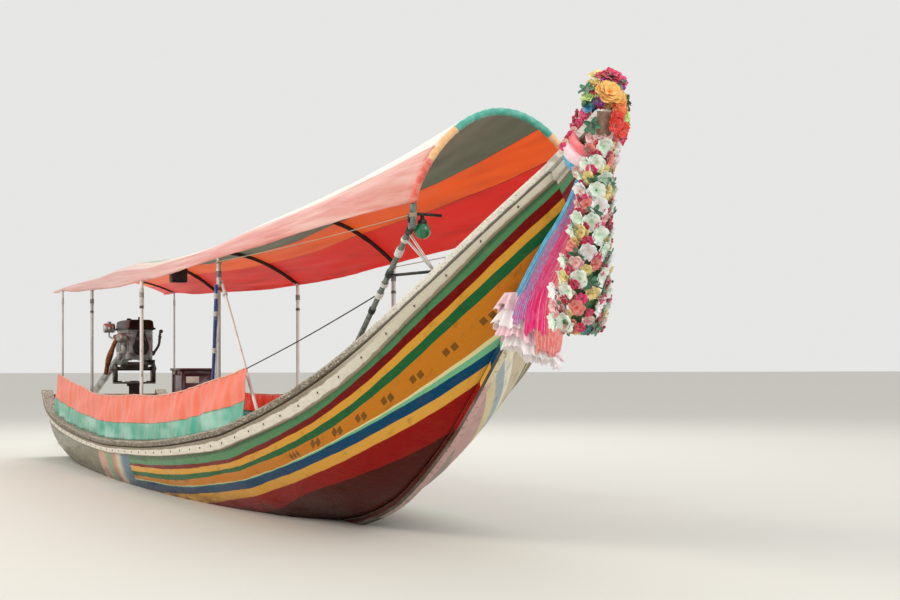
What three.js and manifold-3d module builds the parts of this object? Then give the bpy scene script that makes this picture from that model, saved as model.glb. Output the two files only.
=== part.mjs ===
// Long-tail canal passenger boat, modelled afloat. Millimetres, +X to the bow, +Y to port, +Z up.
// The origin is on the centreline at the waterline, under the middle of the waterplane.
import * as THREE from 'three';
import { mergeVertices } from 'three/addons/utils/BufferGeometryUtils.js';
import Module from 'manifold-3d';

const wasm = await Module();
wasm.setup();

const GAP = 0.4;                 // running gap between pieces that touch
const PLANK = 34;                // thickness of the hull planking
const CAP = { thick: 55, outboard: 42, inboard: 105, headGap: 14 };
const WALE = { thick: 30, mostOfSide: 0.5 };
const KEEL = { halfWidth: 35, deep: 60, taper: 0.8, slimFrom: 7000, slim: 0.85 };
const HULL_ROWS = 9;             // strake rows from the sheer down to the keel
const LAP = 1;                   // overlap of blocks that are joined into one piece
const PAST = 10;                 // how far a cutting tool runs past what it cuts
const WIDE = 1000;               // wider than the hull, for pieces that are trimmed to it

// Hull lines: station, half beam at the planking's top, top of the cap, keel, depth of the wale,
// roundness, flare, rake
const LINES = [
  { x: -4700, beam: 760, cap: 845, keel: -20, wale: 125, round: 3.0, flare: 0.12, rake: -0.16 },
  { x: -4340, beam: 785, cap: 670, keel: -60, wale: 125, round: 3.0, flare: 0.11, rake: -0.11 },
  { x: -3400, beam: 815, cap: 535, keel: -140, wale: 125, round: 3.0, flare: 0.10, rake: 0 },
  { x: -1900, beam: 850, cap: 455, keel: -205, wale: 125, round: 2.9, flare: 0.09, rake: 0 },
  { x: -800, beam: 870, cap: 430, keel: -230, wale: 125, round: 2.8, flare: 0.08, rake: 0 },
  { x: 200, beam: 880, cap: 432, keel: -245, wale: 125, round: 2.7, flare: 0.08, rake: 0 },
  { x: 2250, beam: 875, cap: 515, keel: -225, wale: 125, round: 2.3, flare: 0.10, rake: 0 },
  { x: 4100, beam: 835, cap: 680, keel: -80, wale: 125, round: 1.9, flare: 0.12, rake: 0 },
  { x: 4600, beam: 810, cap: 765, keel: 5, wale: 125, round: 1.75, flare: 0.12, rake: 0 },
  { x: 5100, beam: 775, cap: 865, keel: 85, wale: 125, round: 1.65, flare: 0.12, rake: 0 },
  { x: 5730, beam: 712, cap: 1022, keel: 255, wale: 125, round: 1.5, flare: 0.11, rake: 0 },
  { x: 6300, beam: 638, cap: 1205, keel: 520, wale: 125, round: 1.45, flare: 0.10, rake: 0 },
  { x: 6770, beam: 562, cap: 1395, keel: 800, wale: 120, round: 1.4, flare: 0.09, rake: 0 },
  { x: 7140, beam: 485, cap: 1575, keel: 1085, wale: 108, round: 1.4, flare: 0.08, rake: 0 },
  { x: 7600, beam: 365, cap: 1820, keel: 1445, wale: 94, round: 1.35, flare: 0.06, rake: 0 },
  { x: 7920, beam: 268, cap: 2005, keel: 1670, wale: 86, round: 1.35, flare: 0.05, rake: 0 },
  { x: 8350, beam: 142, cap: 2240, keel: 2005, wale: 80, round: 1.35, flare: 0.04, rake: 0 },
];
// Spacing of the lofted stations: from, to, number of bays
const BAYS = [
  { from: -4700, to: -4340, bays: 3 },
  { from: -4340, to: -1900, bays: 5 },
  { from: -1900, to: 4100, bays: 8 },
  { from: 4100, to: 8350, bays: 15 },
];
const NEAR = 20;                 // stations this close to a span's end are left out of it
// The timber head of the stem, at its root, its waist and its tip
const STEM_HEAD = {
  tipX: 8660, tipTop: 2480, tipKeel: 2375, tipHalf: 58, tipFoot: 34,
  rootDrop: 70, rootFoot: 30, waistDrop: 40, waistRise: 8, waistPinch: 14, waistFoot: 32,
};

const TRANSOM_THICK = 42;
const STERN_DECK = { from: -4600, to: -240, top: 330, thick: 26 };
const FLOOR = { from: -60, to: 4240, top: 60, thick: 24 };
const BEARER = { half: 22, foot: -400, lap: 4, at: [200, 1300, 2400, 3500, 4150] };
const BOW_DECK = { from: 4950, to: 8230, below: 25, thick: 24 };
const BENCHES = [1150, 2050, 2950, 3850];
const BENCH = {
  half: 560, seatTop: 370, seatDepth: 280, board: 26, backTop: 710, backLap: 60,
  legHalf: 22, legIn: 60, legBack: 30, sideRoom: 40,
};
const PLATFORM = { from: -1350, to: 330, half: 520, top: 655, board: 30 };
const CARRIER = { at: [-1330, -310], wide: 40, inset: 20 };
const BOX = { x: -150, long: 420, wide: 330, top: 1130, lid: 26, lip: 14 };
const TAG = { half: 75, low: 950, high: 1030, proud: 3 };

// Canopy hoops: station, half width, height of the bend, height of the crown, arch roundness
const HOOPS = [
  { name: 'stern', x: -3880, half: 690, bend: 2065, crown: 2225, arch: 1.0, radius: 11 },
  { name: 'engine', x: -1860, half: 706, bend: 1990, crown: 2300, arch: 1.0, radius: 17 },
  { name: 'driver', x: 990, half: 766, bend: 1945, crown: 2240, arch: 1.0, radius: 17 },
  { name: 'middle', x: 3680, half: 735, bend: 2000, crown: 2350, arch: 1.0, radius: 17 },
  { name: 'front', x: 7400, half: 570, bend: 2110, crown: 2680, arch: 0.75, radius: 17 },
];
const CANOPY = { from: -4480, to: 7440, thick: 5, lift: 17.5, drop: 45, hemLift: 0.25 };
const CANOPY_BAYS = [2, 4, 5, 5, 7, 1];
// Between the last two hoops the cloth stays low before it rises
const CANOPY_SAG = { x: 6300, half: 655, bend: 2035, crown: 2430, arch: 0.9 };
const ARCH_STEPS = 14;
const FLANGE = { radius: 34, thick: 10 };
const LEG = 160;                 // the front hoop's free leg below its bend
const POLE = { footX: 6480, inset: 25, radius: 17, shoe: 26, shoeTall: 26, socket: 16, lap: 10, below: 70 };
// Thin poles beside the middle hoop's starboard post: foot, head, outboard (1) or inboard (-1) of the post
const SIDE_POLES = [
  { name: 'flag_pole', footX: 3570, headX: 3722, headZ: 1793, hand: 1, radius: 13, shoe: 20 },
  { name: 'hoop_brace', footX: 4690, headX: 3655, headZ: 1825, hand: -1, radius: 12, shoe: 22 },
];
const SIDE_SHOE = { tall: 16, socket: 13 };

// Side curtains: station, top edge
const CURTAIN = [
  { x: -3860, top: 1060 }, { x: -3000, top: 1000 }, { x: -1960, top: 925 }, { x: -1070, top: 870 },
  { x: 720, top: 880 }, { x: 2150, top: 915 }, { x: 3490, top: 1020 }, { x: 4600, top: 1145 },
];
const HANG = { inset: 60, thick: 4, lean: 22 };
const LINE = { radius: 4, past: 1.3, inset: 24, drop: 8, along: 0.45, knot: 4.5 };

// Engine on its turret
const PIVOT = { x: -3000, z: 1120 };
const TURRET = { base: 420, plate: 16, post: 62, top: 940 };
const BRACE = { count: 4, reach: 252, foot: 20, head: 180, radius: 16 };
const YOKE = { disc: 150, discThick: 22, half: 205, arm: 40, armLong: 120, ears: 60 };
const TRUNNION = { radius: 24, past: 18 };
const ENGINE = { front: -2640, rear: -3300, half: 150, bottom: 1225, top: 1575, crank: 1370 };
const COVER = { front: -2560, rear: -3390, half: 165, top: 1690 };
const KNOB = { inset: 90, radius: 28, tall: 34 };
const GEARBOX = { flange: 150, thick: 60, root: 105, nose: 60, noseBack: 18, outlet: 72, outletLong: 40 };
const PULLEY = { radius: 95, thick: 45 };
const FAN_HUB = { radius: 48, above: 150, from: 2, to: 40 };
const BELT = { half: 45, low: 20, high: 145, from: 6, to: 30 };
const ALTERNATOR = { radius: 58, out: 62, above: 110, behind: 120, ahead: 40 };
const ALTERNATOR_LUG = { from: 90, to: 60, out: 30, low: 95, high: 125 };
const CRADLE = { above: 40, inner: 110, outer: 160, behind: 30, ahead: 40 };
const CROSS = { inset: 60, half: 30, deep: 40, hanger: 40, hangerDrop: 10, lap: 5 };
const TAIL = { start: [-3590, 1340], slope: 16, length: 5480, radius: 38, from: 70, short: 260 };
// Turned pieces on the tail, by distance before its end or, for the sleeve, from its start
const SLEEVE = { radius: 56, long: 190 };
const BEARING = { radius: 48, from: 300, to: 150 };
const SHAFT_END = { radius: 25, from: 160, to: 120 };
const FIN = { half: 5, lap: 8, upper: [480, 200], lower: [420, 170], drop: [200, 230] };
const PROPELLER = { blades: 3, hub: 34, nose: 24, hubLong: 120, middle: 60, half: 3, pitch: 0.55 };
// One blade: distance from the shaft, half width
const BLADE = [{ r: 18, w: 30 }, { r: 90, w: 58 }, { r: 165, w: 20 }];
const TILLER = {
  radius: 15,
  path: [[-2800, 185, 1300], [-2580, 200, 1400], [-2150, 120, 1530], [-1830, 60, 1540]],
};
const TILLER_LUG = { from: -2840, to: -2760, out: 30, low: 1270, high: 1330 };
const MANIFOLD = { from: -3220, to: -2800, out: 60, low: 1470, high: 1530 };
const EXHAUST = {
  radius: 26,
  path: [[-2900, -190, 1500], [-2960, -240, 1420], [-3120, -280, 1220], [-3230, -290, 1060]],
};
const TANK = { x: -3330, z: 1605, radius: 55, long: 135 };
const SPEAKER = { share: -0.55, half: 60, wide: 75, low: 190, high: 40 };
const STRAP = { half: 12, low: 60, high: 12 };
const LAMP = { inset: 70, below: 165, radius: 42, low: 48, high: 62 };
const LAMP_BAR = { radius: 9, above: 90, end: 190, stalk: 10, stalkFrom: 60, stalkTo: 92 };

// Flowers, knot and sashes hung on the stem head; lean is the slope of the ring's plane
const CROWN = { x: 8615, z: 2470, radius: 98, thick: 38, lean: 0.75 };
const KNOT = { x: 8465, z: 2240, radius: 138, thick: 36, lean: 0.75 };
// Sections of the garland: centre, half width and half depth
const GARLAND = [
  { x: 8615, y: -10, z: 2300, wide: 75, deep: 40 },
  { x: 8612, y: -12, z: 2210, wide: 82, deep: 62 },
  { x: 8600, y: -20, z: 2000, wide: 98, deep: 74 },
  { x: 8570, y: -35, z: 1560, wide: 122, deep: 82 },
  { x: 8562, y: -40, z: 1410, wide: 108, deep: 66 },
  { x: 8560, y: -42, z: 1350, wide: 50, deep: 30 },
];
const ROUNDNESS = 1.06;
// Cloth lying along the stem's leading edge: station, offset, half width, thickness
const SASH = [
  { x: 7760, y: -50, wide: 135, thick: 105 },
  { x: 8000, y: -40, wide: 105, thick: 90 },
  { x: 8200, y: -30, wide: 82, thick: 75 },
  { x: 8480, y: -15, wide: 58, thick: 55 },
];
const SASH_TOP = 0.8;
const LACE = { from: 7765, to: 7950, y: -50, topHalf: 130, bottomHalf: 185, bottom: 1175, cut: 60 };
const FACE_ROOM = 3;             // slack between the stem head's leading edge and the cloth under it

function paint(hex, roughness, metalness = 0) {
  return new THREE.MeshStandardMaterial({ color: hex, roughness, metalness });
}

const FINISH = {
  planking: paint(0xc9802b, 0.55),
  timber: paint(0x8f8474, 0.75),
  wale: paint(0xc9c4b4, 0.6),
  deck: paint(0x7b6a54, 0.8),
  seat: paint(0x3f6f9a, 0.6),
  steel: paint(0xb9bcbc, 0.4, 0.7),
  canopy: paint(0xea7a4a, 0.7),
  curtain: paint(0xf0745a, 0.7),
  maroon: paint(0x3a2026, 0.5),
  castIron: paint(0x8b8f90, 0.6, 0.4),
  black: paint(0x1d1d1f, 0.5),
  bronze: paint(0xa07840, 0.4, 0.8),
  green: paint(0x2a8a5a, 0.3),
  red: paint(0xb02020, 0.3),
  flower: paint(0xe04a7a, 0.8),
  ribbon: paint(0xe81c86, 0.6),
  lace: paint(0xf2c9d6, 0.8),
};

const model = new THREE.Group();

function add(name, geometry, finish) {
  const mesh = new THREE.Mesh(geometry, finish);
  mesh.name = name;
  model.add(mesh);
  return mesh;
}

// A column of the table as a smooth function of the station
function smooth(rows, key) {
  const slope = (k) => {
    const a = rows[Math.max(k - 1, 0)];
    const b = rows[Math.min(k + 1, rows.length - 1)];
    return (b[key] - a[key]) / (b.x - a.x);
  };
  return (x) => {
    const found = rows.findIndex((row) => row.x >= x);
    const i = found < 0 ? rows.length - 1 : Math.max(found, 1);
    const [a, b] = [rows[i - 1], rows[i]];
    const h = b.x - a.x;
    const t = THREE.MathUtils.clamp((x - a.x) / h, 0, 1);
    const s = t * t * (3 - 2 * t);
    const rise = (t * (1 - t) ** 2 * slope(i - 1) - t * t * (1 - t) * slope(i)) * h;
    return a[key] + (b[key] - a[key]) * s + rise;
  };
}

const line = {};
for (const key of ['beam', 'cap', 'keel', 'wale', 'round', 'flare', 'rake']) line[key] = smooth(LINES, key);

const stations = [LINES[0].x];
for (const { from, to, bays } of BAYS) {
  for (let k = 1; k <= bays; k += 1) stations.push(from + ((to - from) * k) / bays);
}

// One side of the hull section, from the sheer down to the keel, as { y, z }
function sectionSide(x, inset = 0) {
  const top = line.cap(x) - CAP.thick;
  const height = top - line.keel(x);
  const beam = line.beam(x);
  const n = line.round(x);
  const breadth = (t) => {
    const phi = Math.acos(Math.min((1 - t) ** (n / 2), 1));
    return beam * (1 - line.flare(x) * (1 - t)) * Math.sin(phi) ** (2 / n);
  };
  const first = 1 - Math.min(line.wale(x), height * WALE.mostOfSide) / height;
  const phiFirst = Math.acos((1 - first) ** (n / 2));
  const rows = [{ y: beam, z: top }, { y: breadth(first), z: line.keel(x) + height * first }];
  for (let k = 2; k <= HULL_ROWS; k += 1) {
    const phi = (phiFirst * (HULL_ROWS - k)) / (HULL_ROWS - 1);
    const t = 1 - Math.cos(phi) ** (2 / n);
    rows.push({ y: breadth(t), z: line.keel(x) + height * t });
  }
  rows[HULL_ROWS] = { y: 0, z: line.keel(x) };
  return rows.map(({ y, z }) => ({
    y: (y * (beam - inset)) / beam,
    z: top - ((top - z) * (height - inset)) / height,
  }));
}

function place(x, y, z) {
  return new THREE.Vector3(x + line.rake(x) * z, y, z);
}

// The planking's straight facets between two stations: { low, high, share }
function bay(x) {
  const k = Math.max(stations.findIndex((s) => s >= x), 1);
  const [low, high] = [stations[k - 1], stations[k]];
  return { low, high, share: THREE.MathUtils.clamp((x - low) / (high - low), 0, 1) };
}

function facetSide(x, inset = 0) {
  const { low, high, share } = bay(x);
  const far = sectionSide(high, inset);
  return sectionSide(low, inset).map((row, k) => ({
    y: THREE.MathUtils.lerp(row.y, far[k].y, share),
    z: THREE.MathUtils.lerp(row.z, far[k].z, share),
  }));
}

function capTop(x) {
  const { low, high, share } = bay(x);
  return THREE.MathUtils.lerp(line.cap(low), line.cap(high), share);
}

// Half breadth of the planking's facets at a height
function breadthAt(x, z, inset) {
  const rows = facetSide(x, inset);
  const k = Math.max(rows.findIndex((row) => row.z <= z), 1);
  const [a, b] = [rows[k - 1], rows[k]];
  return b.y + ((a.y - b.y) * (z - b.z)) / (a.z - b.z);
}

function closedGeometry(points, triangles) {
  const positions = new Float32Array(triangles.length * 9);
  let volume = 0;
  const normal = new THREE.Vector3();
  for (const [a, b, c] of triangles) {
    volume += points[a].dot(normal.copy(points[b]).cross(points[c]));
  }
  triangles.forEach((triangle, i) => {
    const order = volume < 0 ? [triangle[0], triangle[2], triangle[1]] : triangle;
    order.forEach((index, k) => points[index].toArray(positions, i * 9 + k * 3));
  });
  const geometry = new THREE.BufferGeometry();
  geometry.setAttribute('position', new THREE.BufferAttribute(positions, 3));
  return mergeVertices(geometry, 1e-4);
}

// Loft of sections, each given as two facing rails of equal length
function loft(sections) {
  const count = sections[0].a.length;
  const ring = 2 * count;
  const points = sections.flatMap(({ a, b }) => [...a, ...[...b].reverse()]);
  const triangles = [];
  for (let i = 0; i + 1 < sections.length; i += 1) {
    for (let j = 0; j < ring; j += 1) {
      const p = i * ring + j;
      const q = i * ring + ((j + 1) % ring);
      const straight = points[p].distanceTo(points[q + ring]) < points[q].distanceTo(points[p + ring]);
      if (straight) triangles.push([p, q, q + ring], [p, q + ring, p + ring]);
      else triangles.push([p, q, p + ring], [q, q + ring, p + ring]);
    }
  }
  for (const [base, flip] of [[0, true], [(sections.length - 1) * ring, false]]) {
    for (let j = 0; j + 1 < count; j += 1) {
      const quad = [base + j, base + j + 1, base + ring - 2 - j, base + ring - 1 - j];
      const faces = [[quad[0], quad[1], quad[2]], [quad[0], quad[2], quad[3]]];
      for (const [p, q, r] of faces) triangles.push(flip ? [p, r, q] : [p, q, r]);
    }
  }
  return closedGeometry(points, triangles);
}

function mirrored(rows) {
  return [...rows, ...rows.slice(0, -1).reverse().map(({ y, z }) => ({ y: -y, z }))];
}

function toSolid(geometry) {
  const bare = geometry.clone();
  for (const key of Object.keys(bare.attributes)) if (key !== 'position') bare.deleteAttribute(key);
  const merged = mergeVertices(bare, 1e-3);
  const mesh = new wasm.Mesh({
    numProp: 3,
    vertProperties: new Float32Array(merged.attributes.position.array),
    triVerts: new Uint32Array(merged.index.array),
  });
  return new wasm.Manifold(mesh);
}

function toGeometry(solid) {
  const { vertProperties, triVerts } = solid.getMesh();
  const geometry = new THREE.BufferGeometry();
  geometry.setAttribute('position', new THREE.BufferAttribute(new Float32Array(vertProperties), 3));
  geometry.setIndex(new THREE.BufferAttribute(new Uint32Array(triVerts), 1));
  return geometry;
}

function join(...geometries) {
  return toGeometry(geometries.map(toSolid).reduce((whole, piece) => whole.add(piece)));
}

function cut(geometry, ...tools) {
  return toGeometry(tools.map(toSolid).reduce((whole, tool) => whole.subtract(tool), toSolid(geometry)));
}

// Box given by its lowest and highest corners
function box(low, high) {
  const size = high.map((value, k) => value - low[k]);
  const geometry = new THREE.BoxGeometry(...size);
  return geometry.translate(...high.map((value, k) => (value + low[k]) / 2));
}

function rod(from, to, radius, sides = 10, endRadius = radius) {
  const a = new THREE.Vector3(...from);
  const b = new THREE.Vector3(...to);
  const geometry = new THREE.CylinderGeometry(endRadius, radius, a.distanceTo(b), sides);
  const along = b.clone().sub(a).normalize();
  const turn = new THREE.Quaternion().setFromUnitVectors(new THREE.Vector3(0, 1, 0), along);
  return geometry.applyQuaternion(turn).translate(...a.add(b).multiplyScalar(0.5).toArray());
}

function hull() {
  const sections = stations.map((x) => ({
    a: mirrored(sectionSide(x)).map(({ y, z }) => place(x, y, z)),
    b: mirrored(sectionSide(x, PLANK)).map(({ y, z }) => place(x, y, z)),
  }));
  add('hull_planking', loft(sections), FINISH.planking);
}

function transom() {
  const x = stations[0];
  const rows = sectionSide(x).map(({ y, z }, k) => ({ y, z: k === 0 ? z - GAP : z }));
  const face = (shift) => {
    const at = (sign) => rows.map(({ y, z }) => place(x - shift, sign * y, z));
    return { a: at(1), b: at(-1) };
  };
  add('transom', loft([face(GAP), face(GAP + TRANSOM_THICK)]), FINISH.timber);
}

// Depth of the keel and stem below the planking, measured straight down
function stemDepth(x) {
  const step = 10;
  return KEEL.deep * Math.hypot(1, (line.keel(x) - line.keel(x - step)) / step);
}

function keelAndStem() {
  const sections = stations.map((x) => {
    const deep = stemDepth(x);
    const half = KEEL.halfWidth * (x > KEEL.slimFrom ? KEEL.slim : 1);
    const top = line.keel(x) - GAP;
    const side = (sign) => [place(x, sign * half, top), place(x, sign * half * KEEL.taper, top - deep)];
    return { a: side(1), b: side(-1) };
  });
  add('keel_and_stem', loft(sections), FINISH.timber);
}

// The solid timber head beyond the planking, grown by a clearance on every side
function headBlock(grow = 0) {
  const x = stations.at(-1) + GAP;
  const half = line.beam(x) + CAP.outboard;
  const head = STEM_HEAD;
  const ring = (at, low, high, lowHalf, highHalf) => {
    const side = (sign) => [
      new THREE.Vector3(at, sign * (lowHalf + grow), low - grow),
      new THREE.Vector3(at, sign * (highHalf + grow), high + grow),
    ];
    return { a: side(1), b: side(-1) };
  };
  const waist = {
    x: (x + head.tipX) / 2,
    low: (line.keel(x) + head.tipKeel) / 2 - head.waistDrop,
    high: (line.cap(x) + head.tipTop) / 2 + head.waistRise,
    half: (half + head.tipHalf) / 2 - head.waistPinch,
  };
  return loft([
    ring(x - grow, line.keel(x) - head.rootDrop, line.cap(x), head.rootFoot, half),
    ring(waist.x, waist.low, waist.high, head.waistFoot, waist.half),
    ring(head.tipX + grow, head.tipKeel, head.tipTop, head.tipFoot, head.tipHalf),
  ]);
}

function stemHead() {
  add('stem_head', headBlock(), FINISH.timber);
}

function sideName(side) {
  return side > 0 ? 'port' : 'starboard';
}

function capRail(side) {
  const sections = stations.map((x) => {
    const low = line.cap(x) - CAP.thick + GAP;
    const high = line.cap(x);
    const outer = side * (line.beam(x) + CAP.outboard);
    const inner = side * Math.max(line.beam(x) - CAP.inboard, CAP.headGap);
    return {
      a: [place(x, outer, high), place(x, outer, low)],
      b: [place(x, inner, high), place(x, inner, low)],
    };
  });
  add(`cap_rail_${sideName(side)}`, loft(sections), FINISH.timber);
}

function wale(side) {
  const sections = stations.map((x) => {
    const [top, bottom] = sectionSide(x);
    const face = (out) => [
      place(x, side * (top.y + out), top.z - GAP),
      place(x, side * (bottom.y + out), bottom.z),
    ];
    return { a: face(GAP + WALE.thick), b: face(GAP) };
  });
  add(`wale_${sideName(side)}`, loft(sections), FINISH.wale);
}

// Stations of the hull loft that lie inside a span, with the span's own ends
function between(from, to) {
  return [from, ...stations.filter((x) => x > from + NEAR && x < to - NEAR), to];
}

// The room inside the planking, less a running gap
function insideHull() {
  return loft(stations.map((x) => {
    const rows = sectionSide(x, PLANK + GAP);
    return { a: rows.map(({ y, z }) => place(x, y, z)), b: rows.map(({ y, z }) => place(x, -y, z)) };
  }));
}

function fitted(geometry) {
  return toGeometry(toSolid(geometry).intersect(toSolid(insideHull())));
}

function sternDeck() {
  const { from, to, top, thick } = STERN_DECK;
  add('stern_deck', fitted(box([from, -WIDE, top - thick], [to, WIDE, top])), FINISH.deck);
}

function bowDeck() {
  const { from, to, below, thick } = BOW_DECK;
  const slab = loft(between(from, to).map((x) => {
    const top = capTop(x) - CAP.thick - below;
    const side = (y) => [top, top - thick].map((z) => new THREE.Vector3(x, y, z));
    return { a: side(WIDE), b: side(-WIDE) };
  }));
  add('bow_deck', fitted(slab), FINISH.deck);
}

function floorboards() {
  const { from, to, top, thick } = FLOOR;
  const boards = box([from, -WIDE, top - thick], [to, WIDE, top]);
  const bearers = BEARER.at.map((x) => (
    box([x - BEARER.half, -WIDE, BEARER.foot], [x + BEARER.half, WIDE, top - BEARER.lap])));
  add('floorboards', fitted(join(boards, ...bearers)), FINISH.deck);
}

function bench(at, index) {
  const { seatTop, seatDepth, board, backTop, backLap, legHalf, legIn, legBack, sideRoom } = BENCH;
  const floor = FLOOR.top + GAP;
  const half = Math.min(BENCH.half, breadthAt(at + seatDepth, floor, PLANK) - sideRoom);
  const seat = box([at, -half, seatTop - board], [at + seatDepth, half, seatTop]);
  const back = box([at - board, -half, seatTop - backLap], [at + LAP, half, backTop]);
  const legs = [-half + legIn, 0, half - legIn].map((y) => (
    box([at - board, y - legHalf, floor], [at + seatDepth - legBack, y + legHalf, seatTop - board + LAP])));
  add(`passenger_bench_${index + 1}`, join(seat, back, ...legs), FINISH.seat);
}

function driverPlatform() {
  const { from, to, half, top, board } = PLATFORM;
  const low = STERN_DECK.top + GAP;
  const deck = box([from, -half, top - board], [to, half, top]);
  const reach = half - CARRIER.inset;
  const carriers = CARRIER.at.map((x) => (
    box([x, -reach, low], [x + CARRIER.wide, reach, top - board + LAP])));
  add('driver_platform', join(deck, ...carriers), FINISH.deck);
}

function driverBox() {
  const { x, long, wide, lid, lip } = BOX;
  const seam = BOX.top - lid;
  const [reach, side] = [long / 2, wide / 2];
  const body = box([x - reach, -side, PLATFORM.top + GAP], [x + reach, side, seam + LAP]);
  const cover = box([x - reach - lip, -side - lip, seam], [x + reach + lip, side + lip, BOX.top]);
  const tag = box([x - TAG.half, -side - TAG.proud, TAG.low], [x + TAG.half, -side + LAP, TAG.high]);
  add('driver_box', join(body, cover, tag), FINISH.maroon);
}

// Height of a hoop's arch above its bends, for a share of the half width from -1 to 1
function archPoint(hoop, share, offset = 0) {
  const rise = hoop.crown - hoop.bend;
  const height = (s) => hoop.bend + rise * Math.max(1 - s * s, 0) ** hoop.arch;
  const near = 0.02;
  const a = THREE.MathUtils.clamp(share - near, -1, 1);
  const b = THREE.MathUtils.clamp(share + near, -1, 1);
  const tangent = new THREE.Vector2((b - a) * hoop.half, height(b) - height(a)).normalize();
  return { y: share * hoop.half - tangent.y * offset, z: height(share) + tangent.x * offset };
}

function archShares() {
  return Array.from({ length: ARCH_STEPS + 1 }, (_, k) => {
    const t = (2 * k) / ARCH_STEPS - 1;
    return Math.sin((t * Math.PI) / 2);
  });
}

// Tube through given points with mitred corners
function pipe(points, radius, sides = 8) {
  const path = points.map((p) => new THREE.Vector3(...p));
  const rings = path.map((p, i) => {
    const before = p.clone().sub(path[Math.max(i - 1, 0)]).normalize();
    const after = path[Math.min(i + 1, path.length - 1)].clone().sub(p).normalize();
    const along = before.add(after).normalize();
    const side = Math.abs(along.x) > 0.9 ? new THREE.Vector3(0, 0, 1) : new THREE.Vector3(1, 0, 0);
    const up = side.clone().cross(along).normalize();
    const across = along.clone().cross(up).normalize();
    return Array.from({ length: sides }, (_, k) => {
      const angle = (2 * Math.PI * k) / sides;
      const out = across.clone().multiplyScalar(Math.cos(angle)).addScaledVector(up, Math.sin(angle));
      return p.clone().addScaledVector(out, radius);
    });
  });
  const half = sides / 2;
  return loft(rings.map((ring) => ({ a: ring.slice(0, half), b: ring.slice(half).reverse() })));
}

// Where a hoop's post stands: on the cap, inboard of its outer edge
function footOf(hoop, side) {
  const y = side * Math.min(hoop.half, line.beam(hoop.x) - 30);
  return [hoop.x, y, seatHeight(hoop.x, FLANGE.radius)];
}

// Height at which a round flange rests on the sloping, raked cap
function seatHeight(x, radius) {
  const height = (at) => capTop(at - line.rake(at) * capTop(at));
  return Math.max(height(x - radius), height(x + radius)) + GAP;
}

function archLine(hoop) {
  return archShares().map((share) => {
    const { y, z } = archPoint(hoop, share);
    return [hoop.x, y, z];
  });
}

function hoopFrame(hoop) {
  const arch = archLine(hoop);
  const free = hoop.name === 'front';
  const legEnd = (side) => [hoop.x, side * hoop.half, hoop.bend - LEG];
  const feet = [-1, 1].map((side) => (free ? legEnd(side) : footOf(hoop, side)));
  const parts = [pipe([feet[0], ...arch, feet[1]], hoop.radius)];
  const flanges = feet.map(([x, y, z]) => rod([x, y, z], [x, y, z + FLANGE.thick], FLANGE.radius, 12));
  if (!free) parts.push(...flanges);
  add(`hoop_${hoop.name}`, join(...parts), FINISH.steel);
}

// The raked pole's path: foot on the cap, bend beside the front hoop, head on the hoop
function polePath(side) {
  const front = HOOPS.at(-1);
  const x = front.x - front.radius - POLE.radius - GAP;
  const footY = side * (line.beam(POLE.footX) - POLE.inset);
  const foot = [POLE.footX, footY, seatHeight(POLE.footX, POLE.shoe) + POLE.socket];
  const bend = [x, side * front.half, front.bend - LEG + POLE.lap];
  return [foot, bend, [x, side * front.half, front.bend - POLE.below]];
}

// Round shoe standing on the cap
function shoeAt(x, y, radius, tall) {
  const seat = seatHeight(x, radius);
  return rod([x, y, seat], [x, y, seat + tall], radius, 12);
}

function propPole(side) {
  const path = polePath(side);
  const [x, y] = path[0];
  const pole = join(pipe(path, POLE.radius), shoeAt(x, y, POLE.shoe, POLE.shoeTall));
  add(`prop_pole_${sideName(side)}`, pole, FINISH.steel);
}

function sidePole({ name, footX, headX, headZ, hand, radius, shoe }) {
  const post = HOOPS.find((hoop) => hoop.name === 'middle');
  const y = -post.half - hand * (post.radius + radius + GAP);
  const foot = [footX, y, seatHeight(footX, shoe) + SIDE_SHOE.socket];
  const pole = rod(foot, [headX, y, headZ], radius, 12);
  add(name, join(pole, shoeAt(footX, y, shoe, SIDE_SHOE.tall)), FINISH.steel);
}

const canopyLine = {};
const clothRows = [...HOOPS, CANOPY_SAG].sort((a, b) => a.x - b.x);
for (const key of ['half', 'bend', 'crown', 'arch']) canopyLine[key] = smooth(clothRows, key);

function canopyHoop(x) {
  const at = THREE.MathUtils.clamp(x, HOOPS[0].x, HOOPS.at(-1).x);
  return Object.fromEntries(Object.entries(canopyLine).map(([key, value]) => [key, value(at)]));
}

function canopyStations() {
  const marks = [CANOPY.from, ...HOOPS.map(({ x }) => x), CANOPY.to];
  return marks.slice(0, -1).flatMap((x, i) => {
    const step = (marks[i + 1] - x) / CANOPY_BAYS[i];
    return Array.from({ length: CANOPY_BAYS[i] }, (_, k) => x + k * step);
  }).concat(CANOPY.to);
}

function canopy() {
  const sections = canopyStations().map((x) => {
    const hoop = canopyHoop(x);
    const rail = (offset) => {
      const points = archShares().map((share) => archPoint(hoop, share, offset));
      const hem = (sign) => {
        const y = sign * (hoop.half + offset + LAP);
        return [{ y, z: hoop.bend + offset * CANOPY.hemLift }, { y, z: hoop.bend - CANOPY.drop }];
      };
      return [...hem(-1).reverse(), ...points, ...hem(1)].map(({ y, z }) => new THREE.Vector3(x, y, z));
    };
    return { a: rail(CANOPY.lift + CANOPY.thick), b: rail(CANOPY.lift) };
  });
  add('canopy', loft(sections), FINISH.canopy);
}

const curtainTop = smooth(CURTAIN, 'top');

// Distance of the curtain's outer face from the centreline, at its foot
function curtainFoot(x) {
  return line.beam(x) + CAP.outboard - HANG.inset;
}

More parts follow.
